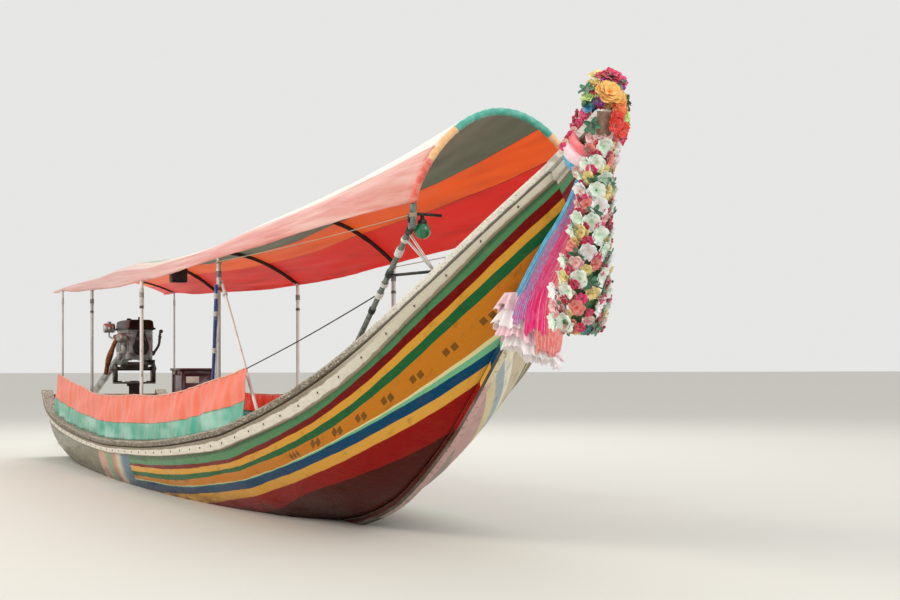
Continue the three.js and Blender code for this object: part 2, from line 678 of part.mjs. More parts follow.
function curtain(side) {
  const spots = between(CURTAIN[0].x, CURTAIN.at(-1).x);
  const sections = spots.map((x) => {
    const face = (inset) => [
      new THREE.Vector3(x, side * (curtainFoot(x) - HANG.lean - inset), curtainTop(x)),
      new THREE.Vector3(x, side * (curtainFoot(x) - inset), capTop(x) + GAP),
    ];
    return { a: face(0), b: face(HANG.thick) };
  });
  add(`curtain_${sideName(side)}`, loft(sections), FINISH.curtain);
}

function turret() {
  const { base, plate, post, top } = TURRET;
  const low = STERN_DECK.top + GAP;
  const foot = box([PIVOT.x - base / 2, -base / 2, low], [PIVOT.x + base / 2, base / 2, low + plate]);
  const column = rod([PIVOT.x, 0, low], [PIVOT.x, 0, top], post, 20);
  const braces = Array.from({ length: BRACE.count }, (_, k) => {
    const angle = ((k + 0.5) * 2 * Math.PI) / BRACE.count;
    const end = [PIVOT.x + BRACE.reach * Math.cos(angle), BRACE.reach * Math.sin(angle), low + BRACE.foot];
    return rod(end, [PIVOT.x, 0, top - BRACE.head], BRACE.radius, 8);
  });
  add('engine_turret', join(foot, column, ...braces), FINISH.steel);
}

function yoke() {
  const { disc, discThick, half, arm, armLong, ears } = YOKE;
  const low = TURRET.top + GAP;
  const high = low + discThick;
  const [rear, front] = [PIVOT.x - armLong / 2, PIVOT.x + armLong / 2];
  const bodies = [rod([PIVOT.x, 0, low], [PIVOT.x, 0, high], disc, 24)];
  bodies.push(box([rear, -half - arm, low + LAP], [front, half + arm, high]));
  for (const side of [-1, 1]) {
    const [a, b] = [side * half, side * (half + arm)].sort((p, q) => p - q);
    bodies.push(box([rear, a, high - LAP], [front, b, PIVOT.z + ears]));
  }
  const end = half + arm + PAST;
  const bore = rod([PIVOT.x, -end, PIVOT.z], [PIVOT.x, end, PIVOT.z], TRUNNION.radius + GAP, 20);
  add('swivel_yoke', cut(join(...bodies), bore), FINISH.steel);
}

function engine() {
  const { front, rear, half, bottom, top } = ENGINE;
  add('engine_block', box([rear, -half, bottom], [front, half, top]), FINISH.castIron);
  const cover = box([COVER.rear, -COVER.half, top + GAP], [COVER.front, COVER.half, COVER.top]);
  const knobs = [COVER.rear + KNOB.inset, COVER.front - KNOB.inset].map((x) => (
    rod([x, 0, COVER.top - LAP], [x, 0, COVER.top + KNOB.tall], KNOB.radius, 12)));
  add('valve_cover', join(cover, ...knobs), FINISH.black);
}

function gearbox() {
  const { rear, crank } = ENGINE;
  const { flange, thick, root, nose, noseBack, outlet, outletLong } = GEARBOX;
  const plate = rod([rear - GAP, 0, crank], [rear - thick, 0, crank], flange, 24);
  const casing = rod([rear - thick + LAP, 0, crank], onTail(-noseBack), root, 16, nose);
  const mouth = rod(onTail(-outletLong), onTail(0), outlet, 16);
  add('gearbox', join(plate, casing, mouth), FINISH.castIron);
}

function engineFront() {
  const { front, half, crank } = ENGINE;
  const pulley = rod([front + GAP, 0, crank], [front + PULLEY.thick, 0, crank], PULLEY.radius, 20);
  const fanZ = crank + FAN_HUB.above;
  const fanHub = rod([front + FAN_HUB.from, 0, fanZ], [front + FAN_HUB.to, 0, fanZ], FAN_HUB.radius, 16);
  const belt = box(
    [front + BELT.from, -BELT.half, crank + BELT.low],
    [front + BELT.to, BELT.half, crank + BELT.high],
  );
  add('crank_pulley', join(pulley, belt, fanHub), FINISH.black);
  const y = -half - ALTERNATOR.out;
  const z = crank + ALTERNATOR.above;
  const ends = [-ALTERNATOR.behind, ALTERNATOR.ahead].map((along) => [front + along, y, z]);
  const drum = rod(...ends, ALTERNATOR.radius, 16);
  const { from, to, out, low, high } = ALTERNATOR_LUG;
  const lug = box([front - from, -half - out, crank + low], [front - to, -half - GAP, crank + high]);
  add('alternator', join(drum, lug), FINISH.castIron);
}

function cradle() {
  const low = PIVOT.z + CRADLE.above;
  const { inner, outer, behind, ahead } = CRADLE;
  const rails = [-1, 1].map((side) => {
    const [a, b] = [side * inner, side * outer].sort((p, q) => p - q);
    return box([ENGINE.rear - behind, a, low], [ENGINE.front + ahead, b, ENGINE.bottom - GAP]);
  });
  const cross = [ENGINE.rear + CROSS.inset, PIVOT.x, ENGINE.front - CROSS.inset].map((x) => (
    box([x - CROSS.half, -outer, low], [x + CROSS.half, outer, low + CROSS.deep])));
  const end = YOKE.half + YOKE.arm + TRUNNION.past;
  const axle = rod([PIVOT.x, -end, PIVOT.z], [PIVOT.x, end, PIVOT.z], TRUNNION.radius, 20);
  const hanger = box(
    [PIVOT.x - CROSS.hanger, -outer, PIVOT.z - CROSS.hangerDrop],
    [PIVOT.x + CROSS.hanger, outer, low + CROSS.lap],
  );
  add('engine_cradle', join(...rails, ...cross, axle, hanger), FINISH.black);
}

const slopeAngle = THREE.MathUtils.degToRad(TAIL.slope);

// A point on the tail's axis, at a distance from its start
function onTail(distance, y = 0, above = 0) {
  const [x, z] = TAIL.start;
  const c = Math.cos(slopeAngle);
  const s = Math.sin(slopeAngle);
  return [x - distance * c - above * s, y, z - distance * s + above * c];
}

// A point at a distance before the tail's end
function beforeEnd(distance, y = 0, above = 0) {
  return onTail(TAIL.length - distance, y, above);
}

function tail() {
  const tube = rod(onTail(TAIL.from), beforeEnd(TAIL.short), TAIL.radius, 14);
  const sleeve = rod(onTail(GAP), onTail(SLEEVE.long), SLEEVE.radius, 14);
  const bearing = rod(beforeEnd(BEARING.from), beforeEnd(BEARING.to), BEARING.radius, 14);
  const shaftEnd = rod(beforeEnd(SHAFT_END.from), beforeEnd(SHAFT_END.to), SHAFT_END.radius, 14);
  const fin = loft([-FIN.half, FIN.half].map((y) => ({
    a: FIN.upper.map((d) => new THREE.Vector3(...beforeEnd(d, y, FIN.lap - TAIL.radius))),
    b: FIN.lower.map((d, k) => new THREE.Vector3(...beforeEnd(d, y, -FIN.drop[k]))),
  })));
  add('tail_tube', join(tube, sleeve, bearing, shaftEnd, fin), FINISH.steel);
}

function propeller() {
  const { blades, hub, nose, hubLong, middle, half, pitch } = PROPELLER;
  const boss = rod(beforeEnd(hubLong - GAP), beforeEnd(0), hub, 16, nose);
  const axis = new THREE.Vector3(...beforeEnd(hubLong)).sub(new THREE.Vector3(...beforeEnd(0))).normalize();
  const turn = new THREE.Quaternion().setFromUnitVectors(new THREE.Vector3(1, 0, 0), axis);
  const fan = Array.from({ length: blades }, (_, k) => {
    const edge = (side, sign) => BLADE.map(({ r, w }) => (
      new THREE.Vector3(side * half - sign * w * pitch, sign * w, r)));
    const blade = loft([-1, 1].map((side) => ({ a: edge(side, -1), b: edge(side, 1) })));
    blade.rotateX((2 * Math.PI * k) / blades);
    return blade.applyQuaternion(turn).translate(...beforeEnd(middle));
  });
  add('propeller', join(boss, ...fan), FINISH.bronze);
}

function tiller() {
  const { from, to, out, low, high } = TILLER_LUG;
  const lug = box([from, ENGINE.half + GAP, low], [to, ENGINE.half + out, high]);
  add('tiller', join(pipe(TILLER.path, TILLER.radius), lug), FINISH.black);
}

function exhaust() {
  const { from, to, out, low, high } = MANIFOLD;
  const manifold = box([from, -ENGINE.half - out, low], [to, -ENGINE.half - GAP, high]);
  add('exhaust', join(manifold, pipe(EXHAUST.path, EXHAUST.radius)), FINISH.castIron);
}

function coolantTank() {
  const y = -COVER.half - GAP;
  const drum = rod([TANK.x, y, TANK.z], [TANK.x, y - TANK.long, TANK.z], TANK.radius, 16);
  add('coolant_tank', drum, FINISH.steel);
}

function speakerBox() {
  const hoop = HOOPS.find(({ name }) => name === 'driver');
  const at = archPoint(hoop, SPEAKER.share, -hoop.radius - GAP);
  const { half, wide, low, high } = SPEAKER;
  const body = box([hoop.x - half, at.y - wide, at.z - low], [hoop.x + half, at.y + wide, at.z - high]);
  const strap = box(
    [hoop.x - STRAP.half, at.y - STRAP.half, at.z - STRAP.low],
    [hoop.x + STRAP.half, at.y + STRAP.half, at.z + STRAP.high],
  );
  const tube = pipe(archLine(hoop), hoop.radius + GAP);
  add('speaker_box', cut(join(body, strap), tube), FINISH.black);
}

function sideLamp(side) {
  const front = HOOPS.at(-1);
  const [x, reach] = polePath(side).at(-1);
  const y = side * (front.half - LAMP.inset);
  const z = front.bend - LAMP.below;
  const { radius, above, end, stalk, stalkFrom, stalkTo } = LAMP_BAR;
  const root = reach - side * (POLE.radius + GAP);
  const bar = rod([x, root, z + above], [x, side * (front.half - end), z + above], radius, 8);
  const hanger = rod([x, y, z + stalkFrom], [x, y, z + stalkTo], stalk, 8);
  const lamp = rod([x, y, z - LAMP.low], [x, y, z + LAMP.high], LAMP.radius, 16);
  add(`side_lamp_${sideName(side)}`, join(bar, hanger, lamp), side > 0 ? FINISH.red : FINISH.green);
}

// Ring about the stem head, its plane square to the head's slope
function headRing({ x, z, radius, thick, lean }, grow = 0) {
  const ring = new THREE.TorusGeometry(radius, thick + grow, 8, 20);
  return ring.rotateY(Math.PI / 2 - lean).translate(x, 0, z);
}

function garland() {
  const sections = GARLAND.map(({ x, y, z, wide, deep }) => {
    const half = (sign) => [-1, -0.5, 0.5, 1].map((u) => (
      new THREE.Vector3(x + u * deep, y + sign * wide * Math.sqrt(ROUNDNESS - u * u), z)));
    return { a: half(1), b: half(-1) };
  });
  const blocks = [headBlock(GAP), headRing(KNOT, GAP), headRing(CROWN, GAP)];
  add('flower_garland', cut(loft(sections), ...blocks), FINISH.flower);
}

// The stem's leading edge, and then the stem head's, as straight facets
function stemFace(x) {
  const last = stations.at(-1);
  if (x > last) {
    const { tipX, tipKeel, rootDrop, waistDrop } = STEM_HEAD;
    const root = line.keel(last) - rootDrop;
    const waist = (line.keel(last) + tipKeel) / 2 - waistDrop;
    return THREE.MathUtils.mapLinear(x, last, (last + tipX) / 2, root, waist) - FACE_ROOM;
  }
  const { low, high, share } = bay(x);
  const face = (at) => line.keel(at) - stemDepth(at);
  return THREE.MathUtils.lerp(face(low), face(high), share) - GAP;
}

const sashLine = {};
for (const key of ['y', 'wide', 'thick']) sashLine[key] = smooth(SASH, key);

function bowSash() {
  const sections = between(SASH[0].x, SASH.at(-1).x).map((x) => {
    const top = stemFace(x) - GAP;
    const edge = (sign) => [
      new THREE.Vector3(x, sashLine.y(x) + sign * sashLine.wide(x) * SASH_TOP, top),
      new THREE.Vector3(x, sashLine.y(x) + sign * sashLine.wide(x), top - sashLine.thick(x)),
    ];
    return { a: edge(1), b: edge(-1) };
  });
  add('bow_sash', loft(sections), FINISH.ribbon);
}

function laceSkirt() {
  const { from, to, y, topHalf, bottomHalf, bottom, cut: rise } = LACE;
  const sections = between(from, to).map((x) => {
    const top = stemFace(x) - sashLine.thick(x) - 3 * GAP;
    const low = bottom + (rise * (x - from)) / (to - from);
    const side = (sign) => [
      new THREE.Vector3(x, y + sign * topHalf, top),
      new THREE.Vector3(x, y + sign * bottomHalf, low),
    ];
    return { a: side(1), b: side(-1) };
  });
  add('lace_skirt', loft(sections), FINISH.lace);
}

function bowDressing() {
  add('flower_crown', cut(headRing(CROWN), headBlock(GAP)), FINISH.flower);
  add('sash_knot', cut(headRing(KNOT), headBlock(GAP)), FINISH.ribbon);
  garland();
  bowSash();
  laceSkirt();
}

function curtainLine(side) {
  const last = CURTAIN.at(-1);
  const [foot, head] = polePath(side).map((p) => new THREE.Vector3(...p));
  const tie = foot.clone().lerp(head, LINE.along);
  const y = side * (curtainFoot(last.x) - LINE.inset);
  const start = new THREE.Vector3(last.x + LINE.past, y, last.top - LINE.drop);
  const away = start.clone().sub(tie).normalize();
  const end = tie.addScaledVector(away, (POLE.radius + LINE.knot) / Math.sin(away.angleTo(head.sub(foot))));
  add(`curtain_line_${sideName(side)}`, rod(start.toArray(), end.toArray(), LINE.radius, 8), FINISH.black);
}

hull();
transom();
keelAndStem();
stemHead();
for (const side of [-1, 1]) {
  capRail(side);
  wale(side);
  curtain(side);
  propPole(side);
  sideLamp(side);
  curtainLine(side);
}
sternDeck();
bowDeck();
floorboards();
BENCHES.forEach(bench);
driverPlatform();
driverBox();
HOOPS.forEach(hoopFrame);
SIDE_POLES.forEach(sidePole);
canopy();
turret();
yoke();
cradle();
engine();
gearbox();
engineFront();
coolantTank();
exhaust();
tiller();
tail();
propeller();
speakerBox();
bowDressing();

export default model;
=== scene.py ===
import math
import random

import bmesh
import bpy
import numpy as np
from mathutils import Matrix, Vector


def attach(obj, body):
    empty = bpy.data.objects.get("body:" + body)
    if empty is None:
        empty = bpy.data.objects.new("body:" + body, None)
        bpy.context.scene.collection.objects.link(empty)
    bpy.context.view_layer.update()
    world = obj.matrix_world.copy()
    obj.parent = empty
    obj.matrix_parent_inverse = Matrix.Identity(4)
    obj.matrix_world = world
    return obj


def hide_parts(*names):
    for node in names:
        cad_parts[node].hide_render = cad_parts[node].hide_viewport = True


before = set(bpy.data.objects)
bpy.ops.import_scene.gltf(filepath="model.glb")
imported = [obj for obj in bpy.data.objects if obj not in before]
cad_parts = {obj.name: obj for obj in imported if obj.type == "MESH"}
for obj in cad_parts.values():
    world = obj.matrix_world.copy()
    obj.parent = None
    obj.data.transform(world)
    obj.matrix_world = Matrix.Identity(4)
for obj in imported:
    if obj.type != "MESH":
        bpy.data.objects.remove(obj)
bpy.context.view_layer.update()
print("frame loaded:", len(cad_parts), "CAD nodes")


# helpers

def hexColour(code):
    # sRGB hex to the linear values that Blender's sockets take
    parts = [int(code[k:k + 2], 16) / 255 for k in (1, 3, 5)]
    return [p / 12.92 if p <= 0.04045 else ((p + 0.055) / 1.055) ** 2.4 for p in parts] + [1.0]


def fill(tree, node, settings):
    # properties go by name, sockets by name or number: a hex colour is made linear, an output is linked
    for key, value in dict(settings).items():
        if key == "stops":   # of a colour ramp, as (place, hex colour)
            while len(node.color_ramp.elements) < len(value):
                node.color_ramp.elements.new(0.5)
            for element, (place, colour) in zip(node.color_ramp.elements, value):
                element.position, element.color = place, hexColour(colour)
        elif key == "steps":
            node.color_ramp.interpolation = value
        elif isinstance(value, bpy.types.NodeSocket):
            tree.links.new(value, node.inputs[key])
        elif isinstance(key, str) and hasattr(node, key):
            setattr(node, key, value)
        else:
            node.inputs[key].default_value = hexColour(value) if isinstance(value, str) else value


def addNode(tree, kind, settings=(), out=0):
    # a node with its settings and links, of which the asked output is handed on
    node = tree.nodes.new("ShaderNode" + kind)
    fill(tree, node, settings)
    return node.outputs[out]


def newSurface(name, settings):
    # a material with its Principled shader
    material = bpy.data.materials.new(name)
    material.use_nodes = True
    tree = material.node_tree
    shader = tree.nodes["Principled BSDF"]
    fill(tree, shader, settings)
    return material, tree, shader


def streaks(tree, place, stretch, size, detail, rough=0.5):
    # noise of a size in millimetres, drawn out along one direction, for grain, brush marks and runs
    drawn = addNode(tree, "Mapping", {"Vector": place, "Scale": stretch})
    return addNode(tree, "TexNoise",
                   {"Vector": drawn, "Scale": 1000 / size, "Detail": detail, "Roughness": rough})


def blotches(tree, place, stretch, size, low, high, detail=6):
    # soft-edged patches: 0 where the noise is below low, 1 above high
    noise = streaks(tree, place, stretch, size, detail, 0.6)
    return addNode(tree, "MapRange", {"Value": noise, "From Min": low, "From Max": high})


def layer(tree, under, over, share, amount=None, mode="MIX"):
    # one colour laid over another by a share, and that share by an amount
    if amount is not None:
        share = addNode(tree, "Math", {"operation": "MULTIPLY", 0: share, 1: amount})
    return addNode(tree, "Mix", {"data_type": "RGBA", "blend_type": mode, 0: share, 6: under, 7: over}, 2)


def curveOf(rows, key, by="x"):
    # a column of a table as a smooth function of another, the station x unless another is named
    def slope(k):
        a, b = rows[max(k - 1, 0)], rows[min(k + 1, len(rows) - 1)]
        return (b[key] - a[key]) / (b[by] - a[by])

    def value(x):
        i = next((k for k, row in enumerate(rows) if row[by] >= x), len(rows) - 1)
        i = max(i, 1)
        a, b = rows[i - 1], rows[i]
        h = b[by] - a[by]
        t = min(max((x - a[by]) / h, 0), 1)
        bend = (t * (1 - t) ** 2 * slope(i - 1) - t * t * (1 - t) * slope(i)) * h
        return a[key] + (b[key] - a[key]) * t * t * (3 - 2 * t) + bend
    return value


def table(names, *rows):
    # rows of numbers under named columns
    return [dict(zip(names.split(), row)) for row in rows]


def spread(low, high, count):
    return [low + (high - low) * k / (count - 1) for k in range(count)]


def mix(a, b, t):
    return a + (b - a) * t


def turns(count, start=0.0):
    # angles in equal steps round a circle
    return [2 * math.pi * k / count + start for k in range(count)]


def squareTo(axis):
    # an axis as a unit vector, and the unit vector square to it at an angle
    along = Vector(axis).normalized()
    side = along.orthogonal().normalized()
    up = along.cross(side)
    return along, lambda angle: side * math.cos(angle) + up * math.sin(angle)


def newPiece(name, points, faces, material, body="hull", smooth=True):
    mesh = bpy.data.meshes.new(name)
    mesh.from_pydata([tuple(p) for p in points], [], faces)
    mesh.validate()
    mesh.polygons.foreach_set("use_smooth", [smooth] * len(mesh.polygons))
    mesh.materials.append(material)
    piece = bpy.data.objects.new(name, mesh)
    bpy.context.scene.collection.objects.link(piece)
    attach(piece, body)
    return piece


def setAttribute(piece, name, values, domain="POINT"):
    layer = piece.data.attributes.new(name, "FLOAT", domain)
    layer.data.foreach_set("value", values)


def modify(piece, kind, **settings):
    modifier = piece.modifiers.new(kind.title(), kind)
    for key, value in settings.items():
        setattr(modifier, key, value)
    return piece


def ringFaces(rows, columns, closed=True, capped=True):
    # faces of a skin over rows of points, each row a ring
    last = columns if closed else columns - 1
    faces = []
    for i in range(rows - 1):
        for j in range(last):
            a, b = i * columns + j, i * columns + (j + 1) % columns
            faces.append((a, b, b + columns, a + columns))
    if capped:
        faces.append(tuple(reversed(range(columns))))
        faces.append(tuple(range((rows - 1) * columns, rows * columns)))
    return faces


def lofted(rings):
    # points and faces of a skin over rings of points
    return [p for ring in rings for p in ring], ringFaces(len(rings), len(rings[0]))


def closedFaces(count, sides):
    # faces of a closed band: the last ring joins the first
    faces = []
    for i in range(count):
        for j in range(sides):
            a, b, up = i * sides, (i + 1) % count * sides, (j + 1) % sides
            faces.append((a + j, a + up, b + up, b + j))
    return faces


def onSide(ring, side):
    # a section of (y, z) drawn for the port side, turned over for the starboard one
    return ring if side > 0 else [Vector((-p[0], p[1])) for p in reversed(ring)]


def tube(path, radius, sides=16):
    # points and faces of a round tube along a path; radius is a number or one for each point
    path = [Vector(p) for p in path]
    radii = radius if isinstance(radius, (list, tuple)) else [radius] * len(path)
    points, side = [], None
    for k, p in enumerate(path):
        along = (path[min(k + 1, len(path) - 1)] - path[max(k - 1, 0)]).normalized()
        side = side or along.orthogonal().normalized()
        side = (side - along * side.dot(along)).normalized()
        up = along.cross(side)
        points += [p + (side * math.cos(angle) + up * math.sin(angle)) * radii[k] for angle in turns(sides)]
    return points, ringFaces(len(path), sides)


def smoothPath(points, steps=6):
    # a rounder path through given points
    points = [Vector(p) for p in points]
    out = []
    for k in range(len(points) - 1):
        p0, p1, p2, p3 = points[max(k - 1, 0)], points[k], points[k + 1], points[min(k + 2, len(points) - 1)]
        for s in range(steps):
            t = s / steps
            out.append(0.5 * ((2 * p1) + (p2 - p0) * t + (2 * p0 - 5 * p1 + 4 * p2 - p3) * t ** 2
                              + (3 * p1 - p0 - 3 * p2 + p3) * t ** 3))
    return out + [points[-1]]


def merged(parts):
    # several (points, faces) as one
    points, faces = [], []
    for somePoints, someFaces in parts:
        base = len(points)
        points += somePoints
        faces += [tuple(base + k for k in face) for face in someFaces]
    return points, faces


def turned(profile, centre, axis, sides=24):
    # points and faces of a turned piece: profile rows of (distance along the axis, radius)
    along, out = squareTo(axis)
    points = []
    for distance, radius in profile:
        points += [Vector(centre) + along * distance + out(angle) * radius for angle in turns(sides)]
    return points, ringFaces(len(profile), sides)


# camera and light

view = {
    "place": (15.956, -3.972, 1.163),  # at eye height in a like boat, ahead and to starboard
    "heading": 23.0,                   # degrees between the boat's length and the line of sight
    "lens": 64.0, "sensor": 36.0, "rise": 0.0722,
}


def buildCamera():
    camera = bpy.data.cameras.new("camera")
    camera.lens = view["lens"]
    camera.sensor_width = view["sensor"]
    camera.shift_y = view["rise"]
    camera.clip_end = 1000
    holder = bpy.data.objects.new("camera", camera)
    holder.location = view["place"]
    holder.rotation_euler = (math.radians(90), 0, math.radians(90 - view["heading"]))
    bpy.context.scene.collection.objects.link(holder)
    bpy.context.scene.camera = holder


studio = {
    "sky": "#f4f4f2", "skyStrength": 0.88,
    "lamps": table("x y z size power tint", (6, -15, 12, 9, 1500, "#fff6ea"), (18, 6, 9, 8, 650, "#eef4ff"),
                   (-9, 4, 12, 10, 900, "#ffffff")),
    "aim": (2, 0, 0.8),
    "floor": "#d6d4cc", "floorHalf": 220,
}


def buildLight():
    world = bpy.data.worlds.new("sky")
    world.use_nodes = True
    sky = world.node_tree.nodes["Background"]
    sky.inputs["Color"].default_value = hexColour(studio["sky"])
    sky.inputs["Strength"].default_value = studio["skyStrength"]
    bpy.context.scene.world = world
    for k, lamp in enumerate(studio["lamps"]):
        light = bpy.data.lights.new(f"softbox{k}", "AREA")
        light.size = lamp["size"]
        light.energy = lamp["power"]
        light.color = hexColour(lamp["tint"])[:3]
        holder = bpy.data.objects.new(f"softbox{k}", light)
        holder.location = (lamp["x"], lamp["y"], lamp["z"])
        toward = Vector(studio["aim"]) - holder.location
        holder.rotation_euler = toward.to_track_quat("-Z", "Y").to_euler()
        bpy.context.scene.collection.objects.link(holder)
    bpy.context.scene.view_settings.view_transform = "Standard"


buildCamera()
buildLight()
print("camera and light placed")


# hull lines, in metres: the same stations as the planking's solid

cap = {"thick": 0.055, "outboard": 0.042, "inboard": 0.105, "headGap": 0.014}
plank = 0.034
hands = ((-1, "starboard"), (1, "port"))
waleThick = 0.030
hullRows = table(
    "x beam cap keel wale round flare rake",
    (-4.70, 0.760, 0.845, -0.020, 0.125, 3.0, 0.12, -0.16),
    (-4.34, 0.785, 0.670, -0.060, 0.125, 3.0, 0.11, -0.11),
    (-3.40, 0.815, 0.535, -0.140, 0.125, 3.0, 0.10, 0),
    (-1.90, 0.850, 0.455, -0.205, 0.125, 2.9, 0.09, 0),
    (-0.80, 0.870, 0.430, -0.230, 0.125, 2.8, 0.08, 0),
    (0.20, 0.880, 0.432, -0.245, 0.125, 2.7, 0.08, 0),
    (2.25, 0.875, 0.515, -0.225, 0.125, 2.3, 0.10, 0),
    (4.10, 0.835, 0.680, -0.080, 0.125, 1.9, 0.12, 0),
    (4.60, 0.810, 0.765, 0.005, 0.125, 1.75, 0.12, 0),
    (5.10, 0.775, 0.865, 0.085, 0.125, 1.65, 0.12, 0),
    (5.73, 0.712, 1.022, 0.255, 0.125, 1.5, 0.11, 0),
    (6.30, 0.638, 1.205, 0.520, 0.125, 1.45, 0.10, 0),
    (6.77, 0.562, 1.395, 0.800, 0.120, 1.4, 0.09, 0),
    (7.14, 0.485, 1.575, 1.085, 0.108, 1.4, 0.08, 0),
    (7.60, 0.365, 1.820, 1.445, 0.094, 1.35, 0.06, 0),
    (7.92, 0.268, 2.005, 1.670, 0.086, 1.35, 0.05, 0),
    (8.35, 0.142, 2.240, 2.005, 0.080, 1.35, 0.04, 0),
)
line = {key: curveOf(hullRows, key) for key in ("beam", "cap", "keel", "wale", "round", "flare", "rake")}
stern, bow = hullRows[0]["x"], hullRows[-1]["x"]


def placed(x, y, z):
    return Vector((x + line["rake"](x) * z, y, z))


def sectionPoints(x, inset=0.0, count=90):
    # half section from the planking's top edge down to the keel, as (y, z)
    top = line["cap"](x) - cap["thick"]
    height = top - line["keel"](x)
    beam, n, flare = line["beam"](x), line["round"](x), line["flare"](x)
    rows = []
    for k in range(count):
        phi = math.pi / 2 * (1 - k / (count - 1))
        t = 1 - max(math.cos(phi), 0) ** (2 / n)
        y = beam * (1 - flare * (1 - t)) * math.sin(phi) ** (2 / n)
        rows.append((y * (beam - inset) / beam, top - (1 - t) * height * (height - inset) / height))
    rows[-1] = (0.0, top - (height - inset))
    return rows


def alongSection(rows, distance):
    # the point a distance down a half section, and the whole length
    left = distance
    for (y0, z0), (y1, z1) in zip(rows, rows[1:]):
        length = math.hypot(y1 - y0, z1 - z0)
        if left <= length:
            t = left / length
            return mix(y0, y1, t), mix(z0, z1, t)
        left -= length
    return rows[-1]


def sectionLength(rows):
    return sum(math.hypot(b[0] - a[0], b[1] - a[1]) for a, b in zip(rows, rows[1:]))


def breadthAt(x, z, inset=0.0):
    # half breadth of the section at a height
    rows = sectionPoints(x, inset, 60)
    for (y0, z0), (y1, z1) in zip(rows, rows[1:]):
        if z1 <= z <= z0:
            return mix(y1, y0, (z - z1) / max(z0 - z1, 1e-6))
    return rows[0][0] if z > rows[0][1] else 0.0


def buildFloor():
    # pale floor at the waterline, open where the hull passes through it
    hole = []
    for x in spread(stern - 0.1, 4.56, 60):
        half = max(breadthAt(max(x, stern), 0.0) - 0.012, 0.02)
        hole.append((x, half))
    outline = [Vector((x, y, 0)) for x, y in hole] + [Vector((x, -y, 0)) for x, y in reversed(hole)]
    reach = studio["floorHalf"]
    outer = [Vector((p.x, p.y, 0)) for p in outline]
    ringed = []
    for p in outer:
        direction = Vector((p.x, p.y * 4, 0)).normalized()
        scale = reach / max(abs(direction.x), abs(direction.y))
        ringed.append(direction * scale)
    count = len(outline)
    faces = [(k, (k + 1) % count, count + (k + 1) % count, count + k) for k in range(count)]
    mesh = bpy.data.meshes.new("floor")
    mesh.from_pydata([tuple(p) for p in outline + ringed], [], faces)
    mesh.materials.append(newSurface("mattPaper", {"Base Color": studio["floor"], "Roughness": 0.9})[0])
    floor = bpy.data.objects.new("floor", mesh)
    bpy.context.scene.collection.objects.link(floor)


buildFloor()


# planking: enamel stripes brushed over wooden strakes

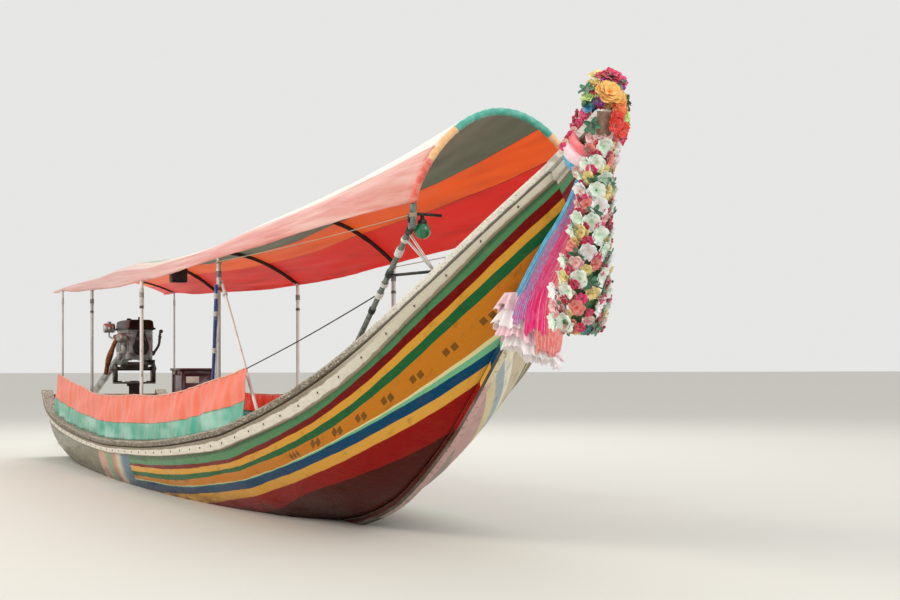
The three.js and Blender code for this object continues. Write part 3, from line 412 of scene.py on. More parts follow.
stripes = {
    # distance down the planking from its top edge at each stripe's lower edge, in metres
    "edges": table(
        "x wale green darkRed yellow leaf orange cream blue lower red all",
        (-4.70, 0.120, 0.150, 0.175, 0.220, 0.270, 0.330, 0.345, 0.440, 0.590, 0.790, 1.160),
        (1.20, 0.125, 0.162, 0.186, 0.238, 0.284, 0.322, 0.336, 0.444, 0.592, 0.780, 1.232),
        (2.50, 0.125, 0.170, 0.208, 0.256, 0.312, 0.370, 0.383, 0.456, 0.578, 0.790, 1.227),
        (4.00, 0.125, 0.186, 0.217, 0.264, 0.298, 0.380, 0.390, 0.465, 0.548, 0.746, 1.176),
        (5.00, 0.120, 0.171, 0.211, 0.259, 0.301, 0.385, 0.397, 0.462, 0.541, 0.665, 1.121),
        (5.70, 0.115, 0.165, 0.206, 0.251, 0.302, 0.386, 0.405, 0.470, 0.544, 0.694, 1.048),
        (6.30, 0.105, 0.143, 0.193, 0.239, 0.288, 0.403, 0.430, 0.496, 0.569, 0.756, 0.926),
        (6.80, 0.095, 0.126, 0.176, 0.222, 0.273, 0.434, 0.478, 0.544, 0.617, 0.830, 0.900),
        (7.20, 0.080, 0.114, 0.166, 0.209, 0.264, 0.468, 0.533, 0.601, 0.675, 0.900, 0.960),
        (7.60, 0.070, 0.105, 0.156, 0.199, 0.254, 0.494, 0.600, 0.666, 0.745, 0.970, 1.000),
        (8.35, 0.056, 0.086, 0.138, 0.185, 0.240, 0.540, 0.730, 0.790, 0.860, 1.000, 1.100),
    ),
    "names": "wale green darkRed yellow leaf orange cream blue lower red all".split(),
    "rows": [2, 3, 3, 3, 3, 6, 2, 4, 4, 7, 9],
    "starboard": ["#47704f", "#4f8a5e", "#720508", "#dca038", "#1a6438", "#cc7e20", "#78c094", "#00466c",
                  "#e6aa46", "#960a06", "#4e0c02"],
    # to port: the same stripes painted pale, a painted reflection of the sky
    "port": ["#8fa58e", "#7f9f86", "#a3605a", "#e3cf9a", "#3c6b4c", "#cfc0a4", "#dfe2d2", "#a3b2b6",
             "#d9cba0", "#c39a96", "#9c8c84"],
    "seam": table("x girth", (-4.7, 0.600), (4.48, 0.618), (5.20, 0.648), (5.97, 0.681), (6.48, 0.732),
                  (6.79, 0.779), (7.2, 0.85)),
    "seamStep": 0.004, "stations": 190,
    # pairs of diamonds: width and height take metres along and across the stripes to the diamond's own axes,
    # and turn grows with the station as the stripes climb
    "diamonds": {"first": 5.60, "pitch": 0.316, "apart": 0.068, "girth": 0.227, "rise": 0.020, "follow": 0.10,
                 "width": (24.0, 27.0), "height": 21.5, "turn": (-8.0, 38.9), "ink": 0.85},
    # brushed and glossy to starboard; to port the stripes are painted pale and chalky, a painted reflection
    # of the bright sky at a glancing angle
    "sound": {"hairline": "#e9e0a8", "hairlineWidth": 0.38, "diamond": "#6b4a20",
              "bare": ("#7c7862", "#79735c"),
              "chalk": "#c8925a", "chalkAmount": 0.05, "wet": "#2e0d07", "wetBelow": 0.17, "gloss": 0.26},
    "skyHazeAndWear": {"hairline": "#efe9cf", "hairlineWidth": 0.38, "diamond": "#a39072",
                 "bare": ("#a8a292", "#a39c8a"),
                 "chalk": "#e8dfc8", "chalkAmount": 0.3, "wet": "#4f473c", "wetBelow": 0.17, "gloss": 0.45},
    # single strokes further aft: a set of three wide ones, then slim ones in threes and pairs
    "strokes": table("run girth half tall", (5.300, 0.350, 0.026, 0.034), (5.244, 0.350, 0.026, 0.034),
                     (5.188, 0.350, 0.026, 0.034),
                     (2.790, 0.319, 0.018, 0.034), (2.744, 0.319, 0.018, 0.034), (2.688, 0.319, 0.018, 0.034),
                     (2.436, 0.311, 0.015, 0.030), (2.389, 0.311, 0.015, 0.030), (2.165, 0.307, 0.014, 0.026),
                     (2.128, 0.307, 0.014, 0.026), (1.895, 0.307, 0.014, 0.026)),
}
slanted = {
    # how far each band leans and wanders, the stations of the bands
    # and of the first stripes, and the bands' colours
    "lean": 0.25, "ragged": 0.10, "from": -0.92, "to": 0.98, "stripesFrom": 0.97,
    "bands": [(0.22, "#c9a592"), (0.34, "#cf9c86"), (0.42, "#8ba483"), (0.52, "#7f9c7c"), (0.60, "#c4836a"),
              (0.72, "#cfc3ae"), (0.84, "#5f7f93"), (0.93, "#4f7186"), (1.0, "#4f7186")],
}
stripeEdge = {key: curveOf(stripes["edges"], key) for key in stripes["names"]}
seamLine = curveOf(stripes["seam"], "girth")


def stripeGirths(x, total):
    # girth and band coordinate of every row of the skin at a station
    rows = [(0.0, 0.0)]
    low = 0.0
    for k, (name, steps) in enumerate(zip(stripes["names"], stripes["rows"])):
        high = stripeEdge[name](x) if name != "all" else max(total, low + 0.05)
        wobble = 0.0018 * math.sin(7.3 * x + 2.1 * k) + 0.0012 * math.sin(23 * x + k) if 0 < k < 10 else 0
        for s in range(1, steps + 1):
            rows.append((mix(low, high + wobble, s / steps), k + s / steps))
        low = high + wobble
    return [(min(girth, total), band) for girth, band in rows]


def stripedEnamel(name, colours, wear):
    # brushed enamel on wood: glossy film, thin and chalky where sun and water have worn it
    material, tree, shader = newSurface(name, {"Specular IOR Level": 0.07, "Coat Weight": 0.0})
    place = addNode(tree, "TexCoord", out="Object")
    band, girth, run = (addNode(tree, "Attribute", {"attribute_name": key}, "Fac")
                        for key in ("band", "girth", "run"))
    count = len(colours)
    share = addNode(tree, "Math", {"operation": "DIVIDE", 0: band, 1: float(count)})
    stops = [(k / count, colour) for k, colour in enumerate(colours)]
    stops.insert(6, (6 / count, wear["hairline"]))   # thin cream line above the pale green
    stops[7] = ((6 + wear["hairlineWidth"]) / count, colours[6])
    paint = addNode(tree, "ValToRGB", {"stops": stops, "steps": "CONSTANT", 0: share})
    paint = diamondMarks(tree, paint, run, girth, wear["diamond"])
    paint = slantedBands(tree, paint, run, girth, wear["bare"])
    chalk = blotches(tree, place, (0.55, 3.0, 5.0), 312.5, 0.50, 0.78)
    paint = layer(tree, paint, wear["chalk"], chalk, wear["chalkAmount"])
    stain = blotches(tree, place, (1.4, 4, 1.1), 200, 0.56, 0.72, 9)
    paint = layer(tree, paint, "#4a3c2a", stain, 0.34, "MULTIPLY")
    height = addNode(tree, "SeparateXYZ", {0: place}, 2)
    wet = addNode(tree, "MapRange",
                  {"Value": height, "From Max": wear["wetBelow"], "To Min": 1.0, "To Max": 0.0})
    paint = layer(tree, paint, wear["wet"], wet, blotches(tree, place, (1.2, 1, 5), 250, 0.3, 0.7))
    gloss = addNode(tree, "MapRange", {"Value": chalk, "To Min": wear["gloss"], "To Max": 0.62})
    brush = streaks(tree, place, (0.35, 3, 3), 71.43, 6)
    bump = addNode(tree, "Bump", {"Height": brush, "Distance": 0.0035, "Strength": 0.55})
    fill(tree, shader, {"Base Color": paint, "Roughness": gloss, "Normal": bump})
    return material


def diamondMarks(tree, paint, run, girth, colour):
    # pairs of small diamonds stencilled along the orange band, worked out step by step from run and girth
    d = stripes["diamonds"]
    steps = [
        ("along", "SUBTRACT", "run", d["first"]), ("along", "DIVIDE", "along", d["pitch"]),
        ("nearest", "ROUND", "along"), ("cell", "SUBTRACT", "along", "nearest"),
        ("cell", "MULTIPLY", "cell", d["pitch"]),
        ("hand", "SIGN", "cell"), ("hand", "MULTIPLY", "hand", d["apart"] / 2),
        ("pair", "SUBTRACT", "cell", "hand"),
        ("rise", "MULTIPLY_ADD", "run", d["rise"], d["girth"]), ("follow", "MULTIPLY", "hand", d["follow"]),
        ("centre", "ADD", "rise", "follow"), ("high", "SUBTRACT", "girth", "centre"),
        ("wide", "MULTIPLY", "high", d["width"][1]), ("wide", "MULTIPLY_ADD", "pair", d["width"][0], "wide"),
        ("turn", "MULTIPLY_ADD", "run", *d["turn"]), ("tall", "MULTIPLY", "high", d["height"]),
        ("tall", "MULTIPLY_ADD", "pair", "turn", "tall"), ("wide", "ABSOLUTE", "wide"),
        ("tall", "ABSOLUTE", "tall"),
        ("inside", "ADD", "wide", "tall"), ("inside", "LESS_THAN", "inside", 1.0),
        ("started", "GREATER_THAN", "run", d["first"] - d["pitch"] / 2),
        ("marked", "MULTIPLY", "inside", "started")]
    for stroke in stripes["strokes"]:
        steps += [("away", "SUBTRACT", "run", stroke["run"]), ("away", "ABSOLUTE", "away"),
                  ("away", "DIVIDE", "away", stroke["half"]), ("below", "SUBTRACT", "girth", stroke["girth"]),
                  ("below", "ABSOLUTE", "below"), ("below", "DIVIDE", "below", stroke["tall"]),
                  ("inside", "ADD", "away", "below"), ("inside", "LESS_THAN", "inside", 1.0),
                  ("marked", "MAXIMUM", "marked", "inside")]
    value = {"run": run, "girth": girth}
    for name, operation, *terms in steps:
        sockets = {k: value.get(term, term) for k, term in enumerate(terms)}
        value[name] = addNode(tree, "Math", {"operation": operation, **sockets})
    return layer(tree, paint, colour, value["marked"], d["ink"])


def slantedBands(tree, paint, run, girth, bare):
    # aft of the stripes: slanted bands, then bare weathered planking
    slant = addNode(tree, "Math", {"operation": "MULTIPLY_ADD", 0: girth, 1: slanted["lean"], 2: run})
    wander = streaks(tree, addNode(tree, "TexCoord", out="Object"), (1, 1, 1), 166.7, 4)
    edge = addNode(tree, "Math", {"operation": "MULTIPLY_ADD", 0: wander, 1: slanted["ragged"], 2: slant})
    aft = addNode(tree, "MapRange", {"Value": edge, "From Min": slanted["from"], "From Max": slanted["to"]})
    stops = [(0.0, bare[0]), (0.12, bare[1])] + slanted["bands"]
    bands = addNode(tree, "ValToRGB", {"stops": stops, "steps": "EASE", 0: aft})
    forward = addNode(tree, "Math", {"operation": "GREATER_THAN", 0: edge, 1: slanted["stripesFrom"]})
    return layer(tree, bands, paint, forward)


def bandAtKeel(x):
    # which stripe meets the stem at a station, and how far down the planking that is
    total, low = sectionLength(sectionPoints(x)), 0.0
    for k, name in enumerate(stripes["names"][:-1]):
        high = stripeEdge[name](x)
        if high >= total:
            return k + (total - low) / (high - low), total
        low = high
    return 10.5, total


def hullSkin(side, name, material):
    # one side's outer skin, its rows laid on the stripes' edges so that these stay sharp
    stations = spread(stern, bow, stripes["stations"])
    points, girths, runs, bands, keyOf = [], [], [], [], {}
    for i, x in enumerate(stations):
        section = sectionPoints(x)
        total = sectionLength(section)
        rows = stripeGirths(x, total)
        for j, (girth, band) in enumerate(rows):
            bands.append(band)
            ended = j > 0 and rows[j - 1][0] >= total - 1e-6
            if ended:
                keyOf[i, j] = keyOf[i, j - 1]
                continue
            y, z = alongSection(section, girth) if girth < total - 1e-6 else section[-1]
            step = seamStepAt(x, girth)
            keyOf[i, j] = len(points)
            points.append(placed(x, side * (y + step), z))
            girths.append(girth)
            runs.append(x)
    width = len(rows)
    faces, corners = [], []
    for i in range(len(stations) - 1):
        for j in range(width - 1):
            quad = [(i, j), (i, j + 1), (i + 1, j + 1), (i + 1, j)]
            kept = []
            for corner in quad:
                if keyOf[corner] not in [keyOf[c] for c in kept]:
                    kept.append(corner)
            if len(kept) < 3:
                continue
            if side > 0:
                kept.reverse()
            faces.append([keyOf[c] for c in kept])
            corners += [bands[c[0] * width + c[1]] for c in kept]
    piece = newPiece(name, points, faces, material)
    setAttribute(piece, "girth", girths)
    setAttribute(piece, "run", runs)
    setAttribute(piece, "band", corners, "CORNER")
    return piece


def seamStepAt(x, girth):
    # the lower strake laps a few millimetres over the upper one
    below = girth - seamLine(x)
    if below < 0:
        return 0.0
    return stripes["seamStep"] * max(1 - below / 0.16, 0.0)


def buildPlanking():
    starboard = hullSkin(-1, "planking_starboard",
                         stripedEnamel("brushedEnamelStripes", stripes["starboard"], stripes["sound"]))
    # the port skin's stripes are painted pale: painted reflection of the sky
    hullSkin(1, "planking_port", stripedEnamel("paintedSkyHazeEnamelStripes", stripes["port"],
                                               stripes["skyHazeAndWear"]))
    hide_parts("hull_planking")
    inner = []
    stations = spread(stern, bow, 110)
    for x in stations:
        half = sectionPoints(x, plank, 24)
        ring = [(y, z) for y, z in half] + [(-y, z) for y, z in reversed(half[:-1])]
        inner.append([placed(x, y, z) for y, z in ring])
    width = len(inner[0])
    faces = [face[::-1] for face in ringFaces(len(inner), width, closed=False, capped=False)]
    newPiece("planking_inside", [p for row in inner for p in row], faces, finish("oiledPlanks"))
    edges = []
    for side in (-1, 1):
        rim = [[placed(x, side * y, line["cap"](x) - cap["thick"])
                for y in (line["beam"](x), line["beam"](x) - plank)]
               for x in stations]
        flat = [p for pair in rim for p in pair]
        bands = [(2 * k, 2 * k + 1, 2 * k + 3, 2 * k + 2) for k in range(len(stations) - 1)]
        edges.append((flat, [face if side < 0 else face[::-1] for face in bands]))
    joined("planking_edges", edges, "oiledPlanks")


# finishes: the real surface, its base values, then layers of wear and grain. Columns of
# wear: how far the noise is stretched, its size in millimetres, where it starts and is
# full, amount, colour, blend; of bumps: stretch, size, depth in metres. Grit, thread and
# grain finer than about 5 mm can't show and are drawn coarser.

finishes = {
    # sun-dried grey-white oil paint on timber: chalky, flaking to brown wood along its length
    "flakyGreyPaint": {
        "Base Color": "#cfcdc4", "rough": (0.6, 0.85),
        "wear": [((1.2, 6, 6), 333.3, 0.5, 0.64, 0.75, "#8b7a62"),
                 ((0.8, 9, 9), 142.9, 0.57, 0.66, 0.8, "#5b4a38"),
                 ((2, 2, 2), 769.2, 0.45, 0.75, 0.5, "#e2e1da")],
        "bumps": [((0.6, 14, 14), 111.1, 0.006), ((1, 6, 6), 45.45, 0.002)]},
    # off-white gloss paint on the wale, gone dull, with grime in its joints
    "dullWhitePaint": {
        "Base Color": "#cbc6b6", "Coat Weight": 0.12, "rough": (0.5, 0.8),
        "wear": [((1.2, 4, 8), 285.7, 0.55, 0.75, 0.55, "#8c8068"),
                 ((3, 3, 3), 166.7, 0.62, 0.74, 0.6, "#66543f"),
                 ((0.6, 1, 14), 200, 0.5, 0.8, 0.35, "#a79c86", "MULTIPLY")],
        "bumps": [((0.5, 9, 9), 125, 0.003)]},
    # hardwood planks soaked with oil and bilge water: dark, a low sheen, grain along the boat
    "oiledPlanks": {
        "Base Color": "#4d3524", "Coat Weight": 0.06, "rough": (0.45, 0.75),
        "wear": [((0.5, 9, 9), 250, 0.42, 0.7, 0.7, "#2c1d13"),
                 ((0.3, 3, 3), 500, 0.5, 0.8, 0.5, "#7a5a3c")], "bumps": [((0.3, 16, 16), 142.9, 0.004)]},
    # weathered dark stem timber, grey where the grain has opened
    "weatheredStem": {
        "Base Color": "#4a4034", "rough": (0.7, 0.9),
        "wear": [((1, 8, 1.5), 250, 0.45, 0.7, 0.7, "#8a8072"),
                 ((1, 10, 2), 111.1, 0.55, 0.7, 0.8, "#231b14")], "bumps": [((0.7, 18, 1.2), 142.9, 0.006)]},
    # deck boards: worn bare on their crowns, brown-grey
    "scrubbedDeck": {
        "Base Color": "#7d6a52", "rough": (0.65, 0.88),
        "wear": [((0.6, 10, 6), 250, 0.45, 0.7, 0.65, "#4c3d2e"),
                 ((0.5, 3, 3), 500, 0.5, 0.8, 0.4, "#a2917a")], "bumps": [((0.4, 20, 8), 142.9, 0.004)]},
    # bench boards in blue-green gloss, rubbed through to wood where people sit
    "rubbedBenchPaint": {
        "Base Color": "#3f7c78", "Coat Weight": 0.2, "rough": (0.35, 0.7),
        "wear": [((6, 0.8, 6), 333.3, 0.55, 0.72, 0.8, "#7b6247"),
                 ((1, 1, 1), 250, 0.5, 0.85, 0.3, "#2c4f4c", "MULTIPLY")],
        "bumps": [((8, 0.5, 8), 166.7, 0.003)]},
    # iron nail heads, rusted through the paint
    "rustedNail": {
        "Base Color": "#4a3a2c", "rough": (0.7, 0.9),
        "wear": [((9, 9, 9), 111.1, 0.45, 0.6, 0.7, "#7a5034")], "bumps": [((9, 9, 9), 33.33, 0.001)]},
}


def newFinish(name):
    # a material from its entry in the table: layers of wear over a base, then bumps
    entry = finishes[name]
    material, tree, shader = newSurface(name,
                                        {key: value for key, value in entry.items() if key[0].isupper()})
    place = addNode(tree, "TexCoord", out="Object")
    colour, spots, bumped = entry["Base Color"], [], {}
    for stretch, size, low, high, amount, tint, *mode in entry["wear"]:
        spots.append(blotches(tree, place, stretch, size, low, high))
        colour = layer(tree, colour, tint, spots[-1], amount, *mode)
    low, high = entry["rough"]
    rough = addNode(tree, "MapRange", {"Value": spots[0], "To Min": low, "To Max": high})
    for stretch, size, depth in entry.get("bumps", ()):
        grain = streaks(tree, place, stretch, size, 7)
        bumped = {"Normal": addNode(tree, "Bump",
                                    {"Height": grain, "Distance": depth, "Strength": 0.7, **bumped})}
    fill(tree, shader, {"Base Color": colour, "Roughness": rough, **bumped})
    return material


made = {}


def finish(name):
    if name not in made:
        made[name] = newFinish(name)
    return made[name]


def joined(name, parts, finishName, body="hull"):
    # one piece of several (points, faces), in a finish from the table
    points, faces = merged(parts)
    return newPiece(name, points, faces, finish(finishName), body)


buildPlanking()
print("planking striped")


# timbers along the sheer and the stem

keelTimber = {"half": 0.035, "deep": 0.060, "taper": 0.8, "slimFrom": 7.0, "slim": 0.85, "painted": 0.70}
gap = 0.0004


def stemDepth(x):
    step = 0.01
    return keelTimber["deep"] * math.hypot(1, (line["keel"](x) - line["keel"](x - step)) / step)


def roundedRing(corners, radius, steps=3):
    # a closed ring of (y, z) with each corner eased
    ring = []
    count = len(corners)
    for k in range(count):
        p, a, b = Vector(corners[k]), Vector(corners[k - 1]), Vector(corners[(k + 1) % count])
        r = min(radius, 0.45 * (a - p).length, 0.45 * (b - p).length)
        start, end = p + (a - p).normalized() * r, p + (b - p).normalized() * r
        for s in range(steps + 1):
            t = s / steps
            ring.append(start * (1 - t) ** 2 + p * 2 * t * (1 - t) + end * t ** 2)
    return ring


def alongHull(name, ringAt, material, stations, body="hull"):
    # a timber swept along the hull; ringAt gives its section at a station as (y, z)
    rings = [ringAt(x) for x in stations]
    points = [placed(x, p[0], p[1]) for x, ring in zip(stations, rings) for p in ring]
    piece = newPiece(name, points, ringFaces(len(rings), len(rings[0])), material, body)
    falls = []                       # 0 along the timber's top, 1 along its foot
    for ring in rings:
        low, high = min(p[1] for p in ring), max(p[1] for p in ring)
        falls += [(high - p[1]) / (high - low) for p in ring]
    setAttribute(piece, "fall", falls)
    setAttribute(piece, "run", [x for x, ring in zip(stations, rings) for p in ring])
    return piece


def capSection(side):
    def ringAt(x):
        low, high = line["cap"](x) - cap["thick"] + gap, line["cap"](x)
        outer = line["beam"](x) + cap["outboard"]
        inner = max(line["beam"](x) - cap["inboard"], cap["headGap"])
        chip = 0.004 * math.sin(9.1 * x) + 0.003 * math.sin(31 * x + 1)
        ring = roundedRing([(outer - abs(chip) * 0.5, low), (outer, high), (inner, high), (inner, low)],
                           0.012)
        return onSide(ring, side)
    return ringAt


# share of the timber's depth that stands clear of the green stripe
waleShare = curveOf(table("x share", (-4.7, 0.60), (-1.4, 0.55), (1.2, 0.58), (2.3, 0.64), (3.2, 0.72),
                          (3.9, 0.80), (4.6, 0.74),
                          (5.0, 0.77), (5.7, 0.85), (6.5, 0.75), (7.0, 0.62), (7.5, 0.54), (7.8, 0.46),
                          (8.35, 0.52)), "share")


def waleSection(side):
    def ringAt(x):
        rows = sectionPoints(x, 0, 60)
        top = (line["beam"](x), line["cap"](x) - cap["thick"] - (0.006 if x < 6.8 else 0.0035))
        drop = top[1] - max(min(line["wale"](x), 0.5 * (top[1] - line["keel"](x))), 0.01) * waleShare(x)
        foot = (breadthOn(rows, drop), drop)
        out = waleThick
        corners = [(foot[0] + gap, foot[1]), (foot[0] + out, foot[1]), (top[0] + out, top[1]),
                   (top[0] + gap, top[1])]
        ring = roundedRing(corners, 0.011)
        return onSide(ring, side)
    return ringAt


def breadthOn(rows, z):
    for (y0, z0), (y1, z1) in zip(rows, rows[1:]):
        if z1 <= z <= z0:
            return mix(y1, y0, (z - z1) / max(z0 - z1, 1e-6))
    return rows[0][0]


def weatheredSheer(p):
    # old oil paint on a timber of the sheer: sound and pale at the bow, worn to grey wood along the
    # low middle and aft, with a bare band on its face between two shares of its depth, and painted shade
    # along its foot, its underside
    material, tree, shader = newSurface(p["name"], {"Specular IOR Level": 0.25})
    place = addNode(tree, "TexCoord", out="Object")
    fall, run = (addNode(tree, "Attribute", {"attribute_name": key}, "Fac") for key in ("fall", "run"))
    forward = addNode(tree, "MapRange", {"Value": run, "From Min": 6.1, "From Max": 7.1})
    paint = layer(tree, p["worn"], p["sound"], forward)
    grain = blotches(tree, place, (0.7, 9, 9), 166.7, 0.42, 0.62)
    flaked = addNode(tree, "MapRange",
                     {"Value": forward, "To Min": p["flakes"], "To Max": 0.25 * p["flakes"]})
    paint = layer(tree, paint, "#5a4e3f", grain, flaked)
    paint = layer(tree, paint, "#e9e8e2", blotches(tree, place, (1.5, 6, 6), 111.1, 0.60, 0.68), p["flakes"])
    ragged = streaks(tree, place, (1.0, 5, 5), 200, 7)
    edge = addNode(tree, "Math", {"operation": "MULTIPLY_ADD", 0: ragged, 1: 0.30, 2: -0.15})
    depth = addNode(tree, "Math", {"operation": "ADD", 0: fall, 1: edge})
    soft = 0.04
    under, over = (addNode(tree, "MapRange", {"Value": depth, "From Min": low, "From Max": high})
                   for low, high in
                   ((p["bareFrom"] - soft, p["bareFrom"] + soft), (p["bareTo"] + soft, p["bareTo"] - soft)))
    band = addNode(tree, "Math", {"operation": "MULTIPLY", 0: under, 1: over})
    fading = addNode(tree, "MapRange", {"Value": forward, "To Min": 0.9, "To Max": p["face"]})
    paint = layer(tree, paint, p["bare"], band, fading)
    for stretch, size, low, high, amount, chip in (((2.5, 8, 8), 83.33, 0.50, 0.60, 0.75, "#d8d4c8"),
                                                    ((3, 9, 9), 62.5, 0.57, 0.64, 1.0, "#2b241c")):
        paint = layer(tree, paint, chip, blotches(tree, place, stretch, size, low, high),
                      amount * p["flakes"])
    # painted shade: the lowest part of the timber's depth, its underside, takes the foot colour
    paintedFootShade = addNode(tree, "MapRange", {"Value": depth, "From Min": 0.90, "From Max": 0.95})
    paint = layer(tree, paint, p["foot"], paintedFootShade, 0.75)
    rough = addNode(tree, "MapRange", {"Value": grain, "To Min": 0.6, "To Max": 0.85})
    fibre = streaks(tree, place, (0.6, 14, 14), 111.1, 7)
    bump = addNode(tree, "Bump", {"Height": fibre, "Distance": 0.005, "Strength": 0.7})
    fill(tree, shader, {"Base Color": paint, "Roughness": rough, "Normal": bump})
    return material


sheerPaints = table(
    # colour worn and sound, share of the band of bare wood that stays at the bow, its colour, where
    # on the timber's depth it starts and ends, painted shade at the foot, how much has flaked
    "name worn sound face bare bareFrom bareTo foot flakes",
    ("flakyGreyPaint", "#9a8e7d", "#eae6da", 0.12, "#6a6050", 0.30, 1.2, "#5d5142", 0.65),
    ("dullWhitePaint", "#e2ddd0", "#cfc8b6", 0.10, "#80735f", -0.2, 0.30, "#8a7a60", 0.12),
)


def buildNails(side, hand):
    # clenched nail heads along the wale, proud of its paint
    heads = []
    for x in spread(-4.2, 8.1, 42):
        ring = waleSection(side)(x)
        outer = sorted(ring, key=lambda p: -abs(p[0]))[:2]
        y, z = outer[0][0], mix(min(p[1] for p in ring), max(p[1] for p in ring), 0.42)
        y = side * (breadthOn(sectionPoints(x, 0, 60), z) + waleThick - 0.001)
        heads.append(turned([(0, 0.008), (0.003, 0.008), (0.005, 0.004)], placed(x, y, z), (0, side, 0), 12))
    joined(f"wale_nails_{hand}", heads, "rustedNail")


def buildSheer():
    stations = spread(stern, bow, 150)
    capPaint, walePaint = [weatheredSheer(paint) for paint in sheerPaints]
    for side, hand in hands:
        rail = alongHull(f"cap_{hand}", capSection(side), capPaint, stations)
        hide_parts(f"cap_rail_{hand}")
        strake = alongHull(f"rubbing_strake_{hand}", waleSection(side), walePaint, stations)
        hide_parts(f"wale_{hand}")
        buildNails(side, hand)


def skyHazedStemPaint():
    # brushed oil paint on the stem's front, painted pale like the port planking as a painted reflection of
    # the sky: pale bands that climb with the hull's own
    material, tree, shader = newSurface("skyHazedStemPaint", {"Roughness": 0.6, "Specular IOR Level": 0.3})
    place = addNode(tree, "TexCoord", out="Object")
    high = addNode(tree, "SeparateXYZ", {0: place}, 2)
    wander = streaks(tree, place, (3, 3, 0.8), 200, 5)
    at = addNode(tree, "Math", {"operation": "MULTIPLY_ADD", 0: wander, 1: 0.12, 2: high})
    share = addNode(tree, "MapRange", {"Value": at, "From Max": 2.1})
    bands = addNode(tree, "ValToRGB", {"steps": "EASE", "stops": [
        (0.0, "#a59c90"), (0.14, "#b9a49c"), (0.25, "#c9a1a0"), (0.50, "#cfa8a4"), (0.56, "#e2d6b4"),
        (0.66, "#ddd2b2"),
        (0.70, "#b4c1c0"), (0.80, "#b4c1c0"), (0.84, "#ddd6bc"), (1.0, "#cdbd9e")], 0: share})
    scrape = blotches(tree, place, (6, 6, 1.2), 200, 0.55, 0.66, 9)
    bump = addNode(tree, "Bump", {"Height": scrape, "Distance": 0.003, "Strength": 0.5})
    fill(tree, shader, {"Base Color": layer(tree, bands, "#5d4a3a", scrape, 0.55), "Normal": bump})
    return material


def buildKeel():
    def ringAt(x):
        deep, half = stemDepth(x), keelTimber["half"] * (keelTimber["slim"] if x > keelTimber["slimFrom"]
                                                         else 1)
        top = line["keel"](x) - gap
        foot = half * keelTimber["taper"]
        ring = roundedRing([(foot, top - deep), (half, top), (-half, top), (-foot, top - deep)], 0.012)
        return ring[:12] + [ring[11].lerp(ring[12], keelTimber["painted"])] + ring[12:]
    stations = spread(stern, bow, 150)
    keel = alongHull("keel_timber", ringAt, finish("weatheredStem"), stations)
    width = len(ringAt(0.0))
    reached = [bandAtKeel(x) for x in stations]
    setAttribute(keel, "band", [band for band, total in reached for k in range(width)])
    setAttribute(keel, "girth", [total for band, total in reached for k in range(width)])
    keel.data.materials.append(skyHazedStemPaint())
    keel.data.materials.append(bpy.data.materials["brushedEnamelStripes"])
    for face in keel.data.polygons:
        if face.center.x > 5.4 and face.center.y > -0.030 and face.normal.y > -0.55 and face.normal.z < 0.5:
            face.material_index = 1
        elif face.center.x > 4.6 and {k % width for k in face.vertices} == {11, 12}:
            face.material_index = 2
    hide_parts("keel_and_stem")


buildSheer()
buildKeel()
print("sheer and keel fitted")


# cloth

def clothSheet(name, grid, thick, material, body="hull"):
    # a thin closed cloth over a grid of points: first index along, second across
    rows, columns = len(grid), len(grid[0])
    middle = np.array([[tuple(p) for p in row] for row in grid], float)
    normal = np.cross(np.gradient(middle, axis=0), np.gradient(middle, axis=1))
    normal /= np.maximum(np.linalg.norm(normal, axis=2, keepdims=True), 1e-9)
    both = np.concatenate([(middle + normal * thick / 2).reshape(-1, 3),
                           (middle - normal * thick / 2).reshape(-1, 3)])
    base, faces = rows * columns, []
    for i in range(rows - 1):
        for j in range(columns - 1):
            a = i * columns + j
            faces.append((a, a + columns, a + columns + 1, a + 1))
            faces.append((base + a, base + a + 1, base + a + columns + 1, base + a + columns))
    rim = [(0, j) for j in range(columns)] + [(i, columns - 1) for i in range(1, rows)]
    rim += [(rows - 1, j) for j in range(columns - 2, -1, -1)] + [(i, 0) for i in range(rows - 2, 0, -1)]
    for k, (i, j) in enumerate(rim):
        n, m = rim[(k + 1) % len(rim)]
        a, b = i * columns + j, n * columns + m
        faces.append((a, b, base + b, base + a))
    piece = newPiece(name, both, faces, material, body)
    setAttribute(piece, "inner", [0.0] * base + [1.0] * base)
    step = np.linalg.norm(np.diff(middle, axis=1), axis=2)
    girth = np.concatenate([np.zeros((rows, 1)), np.cumsum(step, axis=1)], axis=1)
    centred = girth - girth[:, -1:] / 2
    setAttribute(piece, "across", np.tile(centred.reshape(-1), 2))
    setAttribute(piece, "along", np.tile(np.repeat(middle[:, columns // 2, 0], columns), 2))
    share = girth / np.maximum(girth[:, -1:], 1e-6)
    setAttribute(piece, "share", np.tile(share.reshape(-1), 2))
    return piece


hoops = table(
    "name x half bend crown arch radius",
    ("stern", -3.88, 0.690, 2.065, 2.225, 1.0, 0.011), ("engine", -1.86, 0.706, 1.990, 2.300, 1.0, 0.017),
    ("driver", 0.99, 0.766, 1.945, 2.240, 1.0, 0.017), ("middle", 3.68, 0.735, 2.000, 2.350, 1.0, 0.017),
    ("front", 7.40, 0.570, 2.110, 2.655, 0.75, 0.017),
)
canopy = {
    "from": -4.48, "to": 7.405, "drop": 0.016, "thick": 0.003, "stations": 170, "shares": 61,
    "lift": 0.0195,                                    # cloth lies on the hoops' outside
    "low": dict(x=6.30, half=0.640, bend=2.085, crown=2.530, arch=0.85),   # slack before the front hoop
    "sag": 0.022, "wrinkle": 0.0045, "thread": 12.083,
    # beneath and outside: the ridge panel, its seam, the next panel, its seam, the outer one; the two sets
    # are shaded and lit copies of the same cloth, painted deep beneath and pale outside
    "colours": (("#59624f", "#343a30", "#ea5a14", "#6c140c", "#d61c12"),
                ("#5aa794", "#8c9c84", "#efd9c6", "#a05a4a", "#cb6858")),
}
clothRows = sorted(hoops + [canopy["low"]], key=lambda row: row["x"])
clothLine = {key: curveOf(clothRows, key) for key in ("half", "bend", "crown", "arch")}


